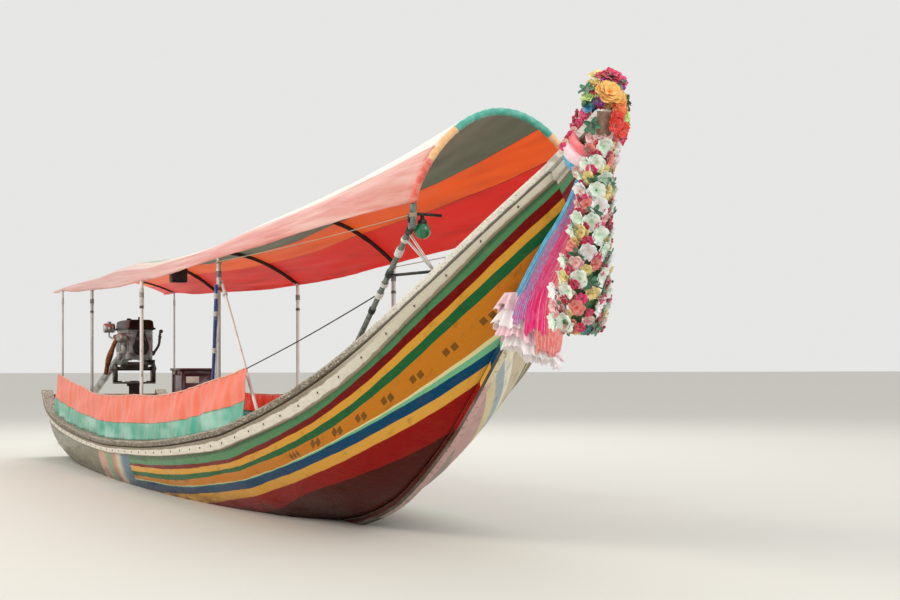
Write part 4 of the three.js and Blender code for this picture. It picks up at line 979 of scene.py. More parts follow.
def archPoint(row, share, offset=0.0):
    # a point on a hoop's arch; share runs from -1 to 1 over its half width
    rise = row["crown"] - row["bend"]

    def height(s):
        return row["bend"] + rise * max(1 - s * s, 0) ** row["arch"]
    a, b = max(share - 0.02, -1), min(share + 0.02, 1)
    run, climb = (b - a) * row["half"], height(b) - height(a)
    length = math.hypot(run, climb)
    return share * row["half"] - climb / length * offset, height(share) + run / length * offset


def hoopAt(x):
    at = min(max(x, hoops[0]["x"]), hoops[-1]["x"])
    return {key: value(at) for key, value in clothLine.items()}


def bayShare(x):
    # 0 at a hoop, 1 halfway to the next
    marks = [canopy["from"]] + [h["x"] for h in hoops]
    for a, b in zip(marks, marks[1:]):
        if a <= x <= b:
            return math.sin(math.pi * (x - a) / (b - a)) ** 2
    return 0.0


def canopyPoint(x, share):
    row = hoopAt(x)
    slack = bayShare(x)
    pull = canopy["wrinkle"] * slack * (math.sin(34 * share + 1.7 * x) + 0.6 * math.sin(61 * share - 2.3 * x))
    drop = canopy["sag"] * slack * (1 - 0.5 * abs(share))
    y, z = archPoint(row, share, canopy["lift"] + pull - drop)
    return Vector((x, y, z))


def buildCanopy():
    grid = []
    for x in spread(canopy["from"], canopy["to"], canopy["stations"]):
        row = []
        count = canopy["shares"]
        for k in range(count):
            share = math.sin((2 * k / (count - 1) - 1) * math.pi / 2)
            row.append(canopyPoint(x, share))
        for side in (-1, 1):
            edge = row[0] if side < 0 else row[-1]
            hem = []
            for part in (0.35, 0.7, 1.0):
                flutter = 0.006 * math.sin(5.1 * x + side) * part + 0.004 * math.sin(17 * x) * part
                hem.append(Vector((x, edge.y + side * 0.002 + side * flutter,
                                   edge.z - canopy["drop"] * part)))
            row = hem[::-1] + row if side < 0 else row + hem
        grid.append(row)
    cloth = clothSheet("canopy_cloth", grid, canopy["thick"], panelledCanvas())
    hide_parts("canopy")
    rolls = []
    front = hoops[-1]
    for tint, low, high in (("teal", -0.535, 0.535), ("cream", -0.82, -0.535), ("cream", 0.535, 0.82),
                            ("red", -1, -0.82), ("red", 0.82, 1)):
        path = []
        for share in spread(low, high, 9 if tint != "teal" else 21):
            y, z = archPoint(front, share)
            path.append((front["x"] + 0.004, y, z))
        if tint == "red":
            low = path[0 if path[0][2] < path[-1][2] else -1]
            foot = (low[0], low[1], low[2] - 0.012)
            path = [foot] + path if low == path[0] else path + [foot]
        spine = smoothPath(path, 3)
        roll = tube(spine, [0.0222 + 0.0012 * math.sin(5 * k) for k in range(len(spine))], 14)
        rolls.append(joined(f"front_roll_{tint}_{len(rolls)}", [roll], "rolled" + tint.title()))


def panelledCanvas():
    # coated awning cloth in three lengthwise panels each side: painted pale outside as if lit by the sun,
    # painted deep beneath as if in shade, with a painted glow
    material, tree, shader = newSurface("coatedAwningCloth", {
        "Roughness": 0.5, "Sheen Weight": 0.15, "Sheen Roughness": 0.4, "Emission Strength": 0.5})
    across, along, inner = (addNode(tree, "Attribute", {"attribute_name": key}, "Fac")
                            for key in ("across", "along", "inner"))
    away = addNode(tree, "Math", {"operation": "ABSOLUTE", 0: across})
    widen = addNode(tree, "MapRange", {"Value": along, "From Min": 3.7, "From Max": 7.44, "To Max": 0.012})
    reach = addNode(tree, "Math", {"operation": "SUBTRACT", 0: away, 1: widen})
    # teal at the ridge, then cream outside and orange beneath (one orange panel, painted pale where lit),
    # then red, with a dark thread at each seam
    under, over = (addNode(tree, "ValToRGB", {"steps": "CONSTANT", "stops": list(zip(
        (0, 0.272, 0.277, 0.486, 0.49), colours)), 0: reach}) for colours in canopy["colours"])
    place = addNode(tree, "TexCoord", out="Object")
    # painted highlight: pale patches laid over the outside
    over = layer(tree, over, "#efd8cc", blotches(tree, place, (0.25, 4, 4), 454.5, 0.38, 0.66), 0.50)
    # painted shade: the outside darkens towards the aft end, against the key light there
    aft = addNode(tree, "MapRange", {"Value": along, "From Min": 4.2, "From Max": -1.5, "To Max": 0.62})
    over = layer(tree, over, "#b0857a", aft)
    under = layer(tree, under, "#5a2216", blotches(tree, place, (0.25, 6, 6), 400, 0.45, 0.75), 0.35,
                  "MULTIPLY")
    # thread spacing is under a millimetre; drawn at 12 mm so that it shows
    weave = addNode(tree, "TexWave", {"Vector": place, "Scale": math.pi / 10 * 1000 / canopy["thread"],
                                      "Distortion": 1.2, "Detail": 2.0}, 1)
    bump = addNode(tree, "Bump", {"Height": weave, "Distance": 0.0012, "Strength": 0.5})
    # painted light: the emission makes the underside glow, standing for daylight that comes through the thin
    # cloth
    fill(tree, shader, {"Base Color": layer(tree, over, under, inner), "Normal": bump,
                        "Emission Color": layer(tree, "#000000", under, inner)})
    return material


curtain = {
    "tops": table("x top", (-3.86, 1.060), (-3.00, 1.000), (-1.96, 0.925), (-1.07, 0.870), (0.72, 0.880),
                  (2.15, 0.915),
                  (3.49, 1.020), (4.60, 1.145)),
    "inset": 0.060, "lean": 0.022, "thick": 0.003, "rows": 26, "stations": 300, "fold": 0.021, "sag": 0.014,
    "belly": 0.012,
    "slant": 0.070, "slantFrom": 3.9,             # the fore edge leans aft towards its foot
    "split": {"starboard": 0.62, "port": 0.44},   # where the red satin meets the green
    # each side's tones are lit and shaded copies of the same satin: the port curtain, seen from inside in
    # shade, is painted a darker green; sky is the share of painted sky reflection, glow the strength of its
    # painted glow
    "tones": {"starboard": {"upper": "#f06a4c", "lower": "#34a389", "sky": 0.5, "glow": 0},
              "port": {"upper": "#e0301c", "lower": "#0f4634", "sky": 0.1, "glow": 0.35}},
}


def buildCurtains():
    top = curveOf(curtain["tops"], "top")
    start, end = curtain["tops"][0]["x"], curtain["tops"][-1]["x"]
    ties = [start, -1.86, 0.99, 3.68, end]
    for side, hand in hands:
        grid = []
        for x in spread(start, end, curtain["stations"]):
            low = line["cap"](x) + 0.003
            near = min(abs(x - t) for t in ties)
            # folds spread from each tie
            fan = sum(math.copysign(max(1 - abs(x - t), 0), x - t) for t in ties)
            high = top(x) - curtain["sag"] * min(near / 0.9, 1) ** 0.8
            outer = line["beam"](x) + cap["outboard"] - curtain["inset"] - curtain["thick"]
            forward = min(max((x - curtain["slantFrom"]) / (end - curtain["slantFrom"]), 0), 1)
            column = []
            for t in spread(0, 1, curtain["rows"]):
                wander = 11 * x + 2.2 * math.sin(1.9 * x) + 1.4 * t * math.sin(3.7 * x + 1) + 3.2 * t * fan
                broad = math.sin(wander) * (0.25 + 0.75 * t)
                fine = 0.32 * math.sin(29 * x + 3 * t + 2 * math.sin(2.3 * x))
                slack = 0.55 * math.sin(4.3 * x + 7 * t) * math.sin(math.pi * t)
                fold = curtain["fold"] * (broad + fine + slack)
                belly = curtain["belly"] * math.sin(math.pi * t)
                y = outer - curtain["lean"] * (1 - t) - 0.010 + fold * 0.8 + belly * 0.3
                column.append(Vector((x - curtain["slant"] * t * forward, side * y, mix(high, low, t))))
            grid.append(column)
        cloth = clothSheet(f"curtain_cloth_{hand}", grid, curtain["thick"], twoToneSatin(hand))
        hem = smoothPath([row[0] + Vector((0, 0, 0.001)) for row in grid[::4]], 2)
        cord = joined(f"curtain_hem_{hand}", [tube(hem, 0.0065, 8)], "stitchedHem")
        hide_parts(f"curtain_{hand}")


def twoToneSatin(hand):
    # dress satin: bright glancing sheen, coral red above emerald green
    tone = curtain["tones"][hand]
    material, tree, shader = newSurface(f"dressSatin_{hand}", {
        "Roughness": 0.33, "Sheen Weight": 0.35, "Sheen Roughness": 0.3, "Sheen Tint": "#ffe6d8"})
    share = addNode(tree, "Attribute", {"attribute_name": "share"}, "Fac")
    split = curtain["split"][hand]
    colour = addNode(tree, "ValToRGB", {"steps": "CONSTANT", "stops": [
        (0, tone["upper"]), (split - 0.012, "#7a2c20"), (split, tone["lower"])], 0: share})
    place = addNode(tree, "TexCoord", out="Object")
    # painted highlight: pale streaks screened over the satin, standing for its sheen on the creases
    paintedFoldHighlight = blotches(tree, place, (4, 2, 1.0), 384.6, 0.46, 0.70)
    colour = layer(tree, colour, "#ffd9c6", paintedFoldHighlight, 0.12, "SCREEN")
    # painted reflection: the green half gets broad soft pale patches, standing for the sky it throws back
    # where it hangs slack
    slack = blotches(tree, place, (0.9, 1, 3.0), 666.7, 0.44, 0.68, 2)
    lower = addNode(tree, "Math", {"operation": "GREATER_THAN", 0: share, 1: split + 0.02})
    paintedSkyPatches = addNode(tree, "Math", {"operation": "MULTIPLY", 0: slack, 1: lower})
    colour = layer(tree, colour, "#c4ebe0", paintedSkyPatches, tone["sky"])
    small = streaks(tree, place, (4, 4, 1.4), 111.1, 5)
    bump = addNode(tree, "Bump", {"Height": small, "Distance": 0.012, "Strength": 0.45})
    fill(tree, shader, {"Base Color": colour, "Normal": bump})
    # painted light: the inner face glows by emission
    if tone["glow"]:   # thin satin, its inner face lit through by the daylight
        inner = addNode(tree, "Attribute", {"attribute_name": "inner"}, "Fac")
        fill(tree, shader, {"Emission Color": layer(tree, "#000000", colour, inner),
                            "Emission Strength": tone["glow"]})
    return material


finishes.update({
    # cloth rolled over the front hoop: padded, soft sheen, ridged by its lashing
    "rolledTeal": {
        "Base Color": "#43a893", "Sheen Weight": 0.2, "rough": (0.42, 0.6),
        "wear": [((1, 3, 3), 111.1, 0.45, 0.7, 0.5, "#9fe0d0")], "bumps": [((2, 2, 2), 33.33, 0.003)]},
    "rolledCream": {
        "Base Color": "#f0b87c", "Sheen Weight": 0.2, "rough": (0.42, 0.6),
        "wear": [((1, 3, 3), 111.1, 0.45, 0.7, 0.6, "#fbe3c2")], "bumps": [((2, 2, 2), 33.33, 0.003)]},
    "rolledRed": {
        "Base Color": "#de5a48", "Sheen Weight": 0.2, "rough": (0.42, 0.6),
        "wear": [((1, 3, 3), 111.1, 0.45, 0.7, 0.6, "#f6b8aa")], "bumps": [((2, 2, 2), 33.33, 0.003)]},
    # doubled edge with running stitches, dark where hands and spray reach it
    "stitchedHem": {
        "Base Color": "#e8b09a", "Sheen Weight": 0.1, "rough": (0.6, 0.8),
        "wear": [((60, 1, 1), 1000, 0.5, 0.6, 0.5, "#8c3a2a")], "bumps": [((40, 2, 2), 333.3, 0.002)]},
})

buildCanopy()
buildCurtains()
print("canopy and curtains hung")


# bow dressing: silk flowers, wound knot, sashes and lace on the stem head

def glossyPetal(name, tint, heart):
    # pressed polyester petals: matt cloth with a soft sheen, darker towards the heart
    material, tree, shader = newSurface(name,
                                        {"Roughness": 0.6, "Sheen Weight": 0.35, "Sheen Roughness": 0.45,
                                               "Subsurface Weight": 0.12, "Subsurface Scale": 0.01})
    reach = addNode(tree, "Attribute", {"attribute_name": "reach"}, "Fac")
    share = addNode(tree, "MapRange", {"Value": reach, "From Min": 0.1, "From Max": 0.75})
    place = addNode(tree, "TexCoord", out="Object")
    colour = layer(tree, heart, tint, share)
    colour = layer(tree, colour, "#ffffff", blotches(tree, place, (1, 1, 1), 14.29, 0.45, 0.7, 3), 0.22,
                   "SCREEN")
    weave = streaks(tree, place, (1, 1, 1), 6.25, 2)
    bump = addNode(tree, "Bump", {"Height": weave, "Distance": 0.0015, "Strength": 0.4})
    fill(tree, shader, {"Base Color": colour, "Normal": bump})
    return material


petalTints = {
    "mint": ("#f6fdf2", "#c4e6bd"), "blush": ("#ffd9d4", "#f08a86"), "salmon": ("#ff9c90", "#e04a44"),
    "crimson": ("#e8205e", "#86082c"),
    "hotPink": ("#ff3d8a", "#b01050"), "butter": ("#fbeaa0", "#dcb83c"), "amber": ("#ffca60", "#f59428"),
    "orange": ("#ff8230", "#d84410"), "scarlet": ("#fb3a1c", "#a8140a"), "lime": ("#dcf29a", "#8cbc4c"),
    "violet": ("#b01cb4", "#5a1070"),
    "sky": ("#58bce8", "#2078b4"), "leaf": ("#2f7a4c", "#174a2e"), "teal": ("#1a8a86", "#0f4a58"),
    "white": ("#ffffff", "#f4dcd2"),
}
blooms = {
    # rings of petals, petals in the outer ring, tilt from flat of the
    # outer and inner ring, ruffle, width of a petal
    "carnation": dict(rings=3, petals=7, tilt=(0.35, 1.25), ruffle=0.22, broad=0.52),
    "rose": dict(rings=4, petals=6, tilt=(0.2, 1.35), ruffle=0.08, broad=0.62),
    "fan": dict(rings=2, petals=8, tilt=(0.75, 1.1), ruffle=0.3, broad=0.48),
    "sprig": dict(rings=1, petals=5, tilt=(0.3, 0.3), ruffle=0.1, broad=0.28),
}


def bloomPetals(kind, size, draw):
    # petals of one flower about the local z axis: points, reach from the heart, faces
    b = blooms[kind]
    points, reach, faces = [], [], []
    for ring in range(b["rings"]):
        f = ring / max(b["rings"], 1)
        length, count = size * (1 - 0.55 * f), max(b["petals"] - ring, 4)
        tilt = mix(b["tilt"][0], b["tilt"][1], f)
        for p in range(count):
            turn = 2 * math.pi * (p + 0.5 * ring) / count + draw.uniform(-0.18, 0.18)
            lean = tilt + draw.uniform(-0.15, 0.15)
            base = len(points)
            for a in range(5):
                t = a / 4
                wide = length * b["broad"] * math.sin(math.pi * min(0.82 * t + 0.10, 1)) ** 0.7
                out = length * t * math.cos(lean * (1 - 0.35 * t))
                up = length * t * math.sin(lean * (1 - 0.35 * t)) - 0.12 * length * t ** 3
                for c in (-1, -0.4, 0.4, 1):
                    wave = b["ruffle"] * length * t * t * math.sin(2.4 * c + 2 * p + ring)
                    curl = 0.18 * length * c * c * t
                    side = c * wide
                    x = out * math.cos(turn) - side * math.sin(turn)
                    y = out * math.sin(turn) + side * math.cos(turn)
                    points.append(Vector((x, y, up + wave * 0.5 + curl)))
                    reach.append(t * (1 - 0.3 * f))
            for a in range(4):
                for c in range(3):
                    q = base + a * 4 + c
                    faces.append((q, q + 1, q + 5, q + 4))
    return points, reach, faces


def cluster(name, flowers, body="hull"):
    # many flowers as one piece; each is (centre, outward direction, kind, tint, size, seed)
    points, reach, faces, tints, order = [], [], [], [], []
    for centre, outward, kind, tint, size, seed in flowers:
        draw = random.Random(seed)
        local, near, quads = bloomPetals(kind, size, draw)
        turn = Vector(outward).to_track_quat("Z", "Y").to_matrix()
        base = len(points)
        points += [Vector(centre) + turn @ p for p in local]
        reach += near
        faces += [tuple(base + k for k in quad) for quad in quads]
        if tint not in order:
            order.append(tint)
        tints += [order.index(tint)] * len(quads)
    piece = newPiece(name, points, faces, petalMaterial(order[0]), body)
    for tint in order[1:]:
        piece.data.materials.append(petalMaterial(tint))
    piece.data.polygons.foreach_set("material_index", tints)
    setAttribute(piece, "reach", reach)
    return piece


def petalMaterial(tint):
    if tint not in made:
        made[tint] = glossyPetal("silkPetal_" + tint, *petalTints[tint])
    return made[tint]


garland = {
    "sections": table("x y z wide deep", (8.560, -0.085, 1.350, 0.060, 0.030),
                      (8.562, -0.082, 1.410, 0.128, 0.066),
                      (8.570, -0.072, 1.560, 0.130, 0.082), (8.600, -0.034, 2.000, 0.092, 0.074),
                      (8.612, -0.016, 2.210, 0.074, 0.062), (8.615, -0.010, 2.300, 0.064, 0.040)),
    "pitch": 0.074, "top": 2.285, "bottom": 1.375, "broadFrom": 0.085,
    "swing": 0.55, "swingFrom": 1.85, "swingOver": 0.40,   # the strands spread to starboard near their ends
    "large": ("mint", "salmon", "mint", "butter", "white", "blush", "mint"),
    "small": ("crimson", "hotPink", "butter", "crimson", "leaf"),
    "tail": ("teal", "crimson", "teal", "leaf", "butter"), "tailTop": 1.37, "tailFoot": 1.352,
}


def garlandAt(z):
    rows = garland["sections"]
    for a, b in zip(rows, rows[1:]):
        if a["z"] <= z <= b["z"]:
            t = (z - a["z"]) / (b["z"] - a["z"])
            return [mix(a[k], b[k], t) for k in ("x", "y", "wide", "deep")]
    return [rows[0][k] for k in ("x", "y", "wide", "deep")]


def buildGarland():
    g, flowers, draw = garland, [], random.Random(11)
    for r in range(round((g["top"] - g["bottom"]) / g["pitch"]) + 1):
        z = g["top"] - r * g["pitch"]
        x, y, wide, deep = garlandAt(z)
        around = 7 if wide > g["broadFrom"] else 6
        swing = g["swing"] * min(max((g["swingFrom"] - z) / g["swingOver"], 0), 1)
        for k in range(around):
            angle = 2 * math.pi * (k + 0.5 * (r % 2)) / around + draw.uniform(-0.12, 0.12)
            c, s = math.cos(angle), math.sin(angle)
            outward = Vector((c, s * wide / max(deep, 0.05), draw.uniform(-0.75, -0.25))).normalized()
            broad = wide * (0.80 - swing * min(s, 0))
            spot = (x + deep * 0.72 * c, y + broad * s, z + draw.uniform(-0.012, 0.012))
            if swing and s < -0.5:
                inner = (x + deep * 0.5 * c, y + 0.7 * broad * s, z - 0.030)
                tint = "blush" if r % 2 else "salmon"
                flowers.append((inner, outward, "carnation", tint, 0.046, 2000 + 100 * r + k))
            tint = g["large"][(k * 3 + r) % 7]
            pale = tint in ("mint", "white")
            kind, sizes = ("fan", (0.052, 0.064)) if pale else ("carnation", (0.040, 0.050))
            flowers.append((spot, outward, kind, tint, draw.uniform(*sizes), 100 * r + k))
            low = angle + math.pi / around
            c, s = math.cos(low), math.sin(low)
            tint = g["small"][(k + 2 * r) % 5]
            kind, size = ("sprig", 0.05) if tint == "leaf" else ("carnation", draw.uniform(0.026, 0.034))
            spot = (x + deep * 0.9 * c, y + wide * 0.98 * s, z - 0.038)
            flowers.append((spot, Vector((c, s, -0.5)), kind, tint, size, 5000 + 100 * r + k))
    x, y = garlandAt(g["tailTop"])[:2]
    for k, tint in enumerate(g["tail"]):
        c, s = math.cos(2 * math.pi * k / 5), math.sin(2 * math.pi * k / 5)
        flowers.append(((x + 0.03 * c, y + 0.05 * s, g["tailFoot"]), Vector((c, s, -1.2)), "carnation",
                        tint, 0.042, 900 + k))
    cluster("garland_blooms", flowers)
    rings = []
    for z in spread(2.30, 1.35, 16):
        x, y, wide, deep = garlandAt(z)
        rings.append([Vector((x + 0.55 * deep * math.cos(a), y + 0.6 * wide * math.sin(a), z))
                      for a in turns(14)])
    core = joined("garland_leaves", [lofted(rings)], "clothLeaves")
    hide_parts("flower_garland")


head = {"lean": 0.75, "crown": (8.615, 0, 2.470), "crownRadius": 0.098, "knot": (8.490, 0, 2.283),
        "knotRadius": 0.113}
headAlong = Vector((math.cos(head["lean"]), 0, math.sin(head["lean"])))
# square to the head, towards its lower front
headFront = Vector((math.sin(head["lean"]), 0, -math.cos(head["lean"])))


def ringPoint(centre, radius, angle, along=0.0):
    # angle 0 is the ring's lowest front point, 90 degrees is to port
    out = headFront * radius * math.cos(angle) + Vector((0, radius * math.sin(angle), 0))
    return Vector(centre) + out + headAlong * along


crown = table(
    "x y z tint size kind",   # a carnation unless the kind is named
    (8.570, 0.085, 2.675, "crimson", 0.058), (8.550, 0.050, 2.665, "crimson", 0.052),
    (8.580, 0.121, 2.655, "hotPink", 0.050), (8.600, 0.104, 2.620, "violet", 0.042),
    (8.585, 0.044, 2.635, "violet", 0.038), (8.530, 0.020, 2.675, "butter", 0.050),
    (8.530, 0.000, 2.630, "butter", 0.048), (8.630, 0.034, 2.575, "amber", 0.078, "rose"),
    (8.620, 0.092, 2.560, "amber", 0.056, "rose"), (8.640, 0.088, 2.508, "orange", 0.052, "rose"),
    (8.650, 0.074, 2.467, "orange", 0.046), (8.672, 0.056, 2.436, "scarlet", 0.044),
    (8.660, 0.086, 2.388, "scarlet", 0.050), (8.675, 0.046, 2.400, "scarlet", 0.040),
    (8.610, 0.128, 2.450, "lime", 0.050), (8.590, 0.146, 2.413, "lime", 0.044),
    (8.600, 0.132, 2.496, "butter", 0.046), (8.570, -0.016, 2.588, "crimson", 0.034),
    (8.560, -0.046, 2.558, "lime", 0.042), (8.580, -0.036, 2.530, "teal", 0.032),
    (8.600, -0.004, 2.530, "violet", 0.036), (8.560, -0.046, 2.505, "sky", 0.034),
    (8.530, -0.054, 2.474, "hotPink", 0.036), (8.520, -0.058, 2.446, "salmon", 0.034),
    (8.490, -0.072, 2.480, "crimson", 0.030), (8.475, -0.080, 2.448, "crimson", 0.030),
    (8.465, -0.088, 2.414, "crimson", 0.028), (8.560, -0.016, 2.498, "teal", 0.036),
    (8.545, -0.036, 2.470, "blush", 0.034), (8.585, 0.012, 2.512, "hotPink", 0.034),
    (8.515, -0.052, 2.418, "blush", 0.034), (8.600, 0.030, 2.520, "butter", 0.036),
    (8.490, -0.060, 2.386, "crimson", 0.030),
    # port side and back of the ring, which the photograph doesn't show
    (8.540, 0.120, 2.585, "salmon", 0.052, "rose"), (8.500, 0.095, 2.540, "mint", 0.052),
    (8.520, 0.132, 2.500, "hotPink", 0.048), (8.560, 0.152, 2.470, "orange", 0.050, "rose"),
    (8.560, 0.128, 2.400, "butter", 0.048), (8.600, 0.112, 2.350, "crimson", 0.046),
    (8.500, 0.030, 2.605, "lime", 0.050, "rose"), (8.495, -0.010, 2.570, "orange", 0.044),
    (8.530, 0.060, 2.620, "hotPink", 0.050), (8.640, -0.070, 2.400, "leaf", 0.050, "sprig"),
    (8.600, 0.090, 2.640, "leaf", 0.060, "sprig"), (8.545, -0.050, 2.600, "leaf", 0.050, "sprig"),
    (8.600, 0.150, 2.540, "leaf", 0.055, "sprig"),
)
frontBlooms = table(
    "y z tint size",
    (-0.055, 2.335, "blush", 0.040), (-0.022, 2.362, "blush", 0.042), (0.014, 2.352, "blush", 0.040),
    (-0.032, 2.300, "scarlet", 0.040), (-0.020, 2.268, "crimson", 0.036), (0.008, 2.293, "mint", 0.044),
    (0.055, 2.265, "crimson", 0.030), (-0.060, 2.290, "blush", 0.036), (0.050, 2.330, "salmon", 0.044),
    (0.075, 2.300, "white", 0.044))
lowBlooms = table("x y z tint", (8.520, -0.080, 2.165, "blush"), (8.535, -0.050, 2.150, "salmon"),
                  (8.515, -0.085, 2.185, "blush"), (8.56, -0.05, 2.215, "butter"))
wraps = table("name along wide thick folds finish out", ("blue", -0.048, 0.024, 0.018, 3, "ribbonBlue", 0.0),
              ("tulle", 0.0, 0.040, 0.026, 7, "tullePink", 0.004),
              ("coral", 0.052, 0.030, 0.022, 5, "ribbonCoral", 0.0))


def buildCrown():
    flowers, tip, sunny = [], Vector((8.570, 0.010, 2.480)), Vector((0.75, -0.30, 0.05))
    for k, row in enumerate(crown):
        centre = Vector((row["x"], row["y"], row["z"]))
        toFront = row["y"] < 0.13 and row["x"] > 8.52
        facing = ((centre - tip).normalized() * 0.8 + (sunny if toFront else Vector((0, 0, 0)))).normalized()
        flowers.append((centre, facing, row.get("kind", "carnation"), row["tint"], row["size"], 300 + k))
    for k in range(7):   # small tassel flowers hanging on the starboard side
        spot = (8.53 - 0.012 * k, -0.084 - 0.010 * k, 2.43 - 0.020 * k)
        flowers.append((spot, Vector((0.6, -0.7, -0.3)), "carnation",
                        ("hotPink", "crimson", "blush")[k % 3], 0.024, 400 + k))
    for k, row in enumerate(frontBlooms):
        spot = Vector((8.640 - 0.5 * abs(row["y"]), row["y"], row["z"]))
        flowers.append((spot, Vector((0.9, -0.25, 0.1)), "carnation", row["tint"], row["size"], 500 + k))
    for k, row in enumerate(lowBlooms):
        spot = Vector((row["x"], row["y"], row["z"]))
        flowers.append((spot, Vector((0.7, -0.6, -0.2)), "carnation", row["tint"], 0.036, 540 + k))
    piece = cluster("crown_blooms", flowers)
    radius = head["crownRadius"] + 0.006
    arc = [ringPoint(head["crown"], radius, math.radians(angle)) for angle in range(30, 250, 10)]
    thick = [0.008] + [0.016] * (len(arc) - 2) + [0.008]
    joined("crown_band", [tube(arc, thick, 10)], "clothLeaves")
    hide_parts("flower_crown")


def wrapRing(wrap, phase):
    # a band of gathered cloth wound about the stem head
    points, count, sides = [], 72, 14
    radius = head["knotRadius"] + wrap["out"]
    for angle in turns(count):
        for turn in turns(sides):
            pleat = 1 + 0.16 * math.sin(wrap["folds"] * turn + phase + 0.9 * math.sin(2 * angle))
            out = wrap["thick"] * math.cos(turn) * pleat * (1 + 0.15 * math.sin(3 * angle + phase))
            shift = wrap["wide"] * math.sin(turn) * pleat + 0.010 * math.sin(angle + phase)
            points.append(ringPoint(head["knot"], radius + out, angle, wrap["along"] + shift))
    return points, closedFaces(count, sides)


def buildKnot():
    for k, wrap in enumerate(wraps):
        ring = joined(f"knot_{wrap['name']}", [wrapRing(wrap, k)], wrap["finish"])
        if k == 1:
            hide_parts("sash_knot")


stemTip = {"x": 8.660, "high": 2.480, "low": 2.375, "half": 0.058, "foot": 0.034, "rootDrop": 0.070,
           "rootFoot": 0.030,
           "waistDrop": 0.040, "waistRise": 0.008, "waistPinch": 0.014, "waistFoot": 0.032, "slab": 0.050,
           "step": 0.006}
sash = {
    # the bundle at a height: stem side of its middle, starboard and port edge, how far it bulges forward
    "path": table("z x starboard port bulge", (1.150, 7.790, -0.120, 0.110, 0.120),
                  (1.250, 7.800, -0.160, 0.150, 0.128), (1.350, 7.815, -0.190, 0.160, 0.126),
                  (1.500, 7.850, -0.165, 0.140, 0.112), (1.600, 7.915, -0.138, 0.128, 0.094),
                  (1.736, 8.090, -0.140, 0.112, 0.085),
                  (1.836, 8.215, -0.136, 0.100, 0.078), (1.934, 8.335, -0.120, 0.088, 0.068),
                  (2.034, 8.412, -0.096, 0.080, 0.060), (2.210, 8.520, -0.070, 0.066, 0.040)),
    "strips": table("name low high end pleats deep finish proud",
                    ("sky", 0.00, 0.17, 1.560, 2, 0.005, "ribbonBlue", 0.006),
                    ("lavender", 0.13, 0.38, 1.400, 9, 0.012, "tulleLavender", 0.000),
                    ("magenta", 0.31, 0.58, 1.345, 5, 0.014, "ribbonMagenta", 0.008),
                    ("coral", 0.42, 0.82, 1.225, 9, 0.016, "tulleCoral", 0.004),
                    ("rose", 0.76, 1.00, 1.290, 7, 0.010, "tullePink", 0.002)),
    "stations": 60, "top": 2.210,
}
sashLine = {key: curveOf(sash["path"], key, "z") for key in ("x", "starboard", "port", "bulge")}


def sashPoint(z, share, proud=0.0):
    # around the bundle of sashes, from its starboard edge across the front to its port one
    angle = math.pi * share
    left, right = sashLine["starboard"](z) - proud, sashLine["port"](z) + proud
    y = mix(left, right, (1 - math.cos(angle)) / 2)
    return Vector((sashLine["x"](z) + (sashLine["bulge"](z) + proud) * math.sin(angle) ** 0.8, y, z))


def buildSashes():
    for k, strip in enumerate(sash["strips"]):
        grid = []
        for t in spread(0, 1, sash["stations"]):
            row = []
            for share in spread(strip["low"], strip["high"], 6 * strip["pleats"] + 1):
                local = (share - strip["low"]) / (strip["high"] - strip["low"])
                ragged = 0.016 * math.sin(9 * local + 2 * k) + 0.010 * math.sin(31 * local + k)
                z = mix(sash["top"], strip["end"] + ragged, t)
                wander = 1.8 * math.sin(5 * z + k) + 0.8 * math.sin(13 * z)
                pleat = strip["deep"] * (0.5 + 0.5 * math.sin(2 * math.pi * strip["pleats"] * local + wander))
                proud = pleat * (0.3 + 0.7 * t ** 0.7) + strip["proud"] * min(1, 8 * t) - 0.006
                row.append(sashPoint(z, share, proud))
            grid.append(row)
        cloth = clothSheet(f"sash_{strip['name']}", grid, 0.0012, finish(strip["finish"]))
    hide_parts("bow_sash")


lace = {
    "centre": (7.800, -0.030),
    # each frill: heights of its top and foot, half widths, depths, how much higher its starboard side
    # ends, its folds
    "tiers": table(
        "name top foot topHalf footHalf deepTop deepFoot slant folds shift finish",
        ("frill", 1.570, 1.440, 0.120, 0.172, 0.082, 0.110, 0.045, 17, -0.020, "tullePink"),
        ("upper", 1.500, 1.335, 0.128, 0.190, 0.086, 0.118, 0.060, 19, -0.012, "scallopedLace"),
        ("middle", 1.430, 1.262, 0.140, 0.184, 0.088, 0.118, 0.075, 21, 0.0, "tullePink"),
        ("lower", 1.370, 1.208, 0.130, 0.160, 0.086, 0.112, 0.060, 23, 0.016, "scallopedLace"),
    ),
    "rows": 14, "around": 320,
}


def buildLace():
    x0, y0 = lace["centre"]
    for k, tier in enumerate(lace["tiers"]):
        grid = []
        for t in spread(0, 1, lace["rows"]):
            half, deep = (mix(tier[a], tier[b], t)
                          for a, b in (("topHalf", "footHalf"), ("deepTop", "deepFoot")))
            row = []
            for j in range(lace["around"]):
                a = 2 * math.pi * (j + 0.5) / lace["around"] * 0.998 - math.pi
                sway = 2.4 * math.sin(2 * a + k) + 1.3 * math.sin(5 * a + 2 * k) + 0.7 * t * math.sin(3 * a)
                wander = a * tier["folds"] + sway
                fold = (0.02 + 0.13 * t) * math.sin(wander) * (0.75 + 0.25 * math.sin(4 * a + k))
                pleat = 1 + fold + 0.05 * t * math.sin(3 * a + 1.7 * k)
                ragged = 0.012 * math.sin(4 * a + 2 * k) + 0.008 * math.sin(9 * a + k)
                scallop = 0.006 * t ** 6 * math.cos(2 * wander) + t * ragged
                z = mix(tier["top"], tier["foot"], t) - t * tier["slant"] * math.sin(a) + scallop
                x, y = x0 + deep * pleat * math.cos(a), y0 + tier["shift"] + half * pleat * math.sin(a)
                row.append(Vector((x, y, z)))
            grid.append(row)
        cloth = clothSheet(f"lace_{tier['name']}", grid, 0.0012, finish(tier["finish"]))
        if k == 3:
            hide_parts("lace_skirt")


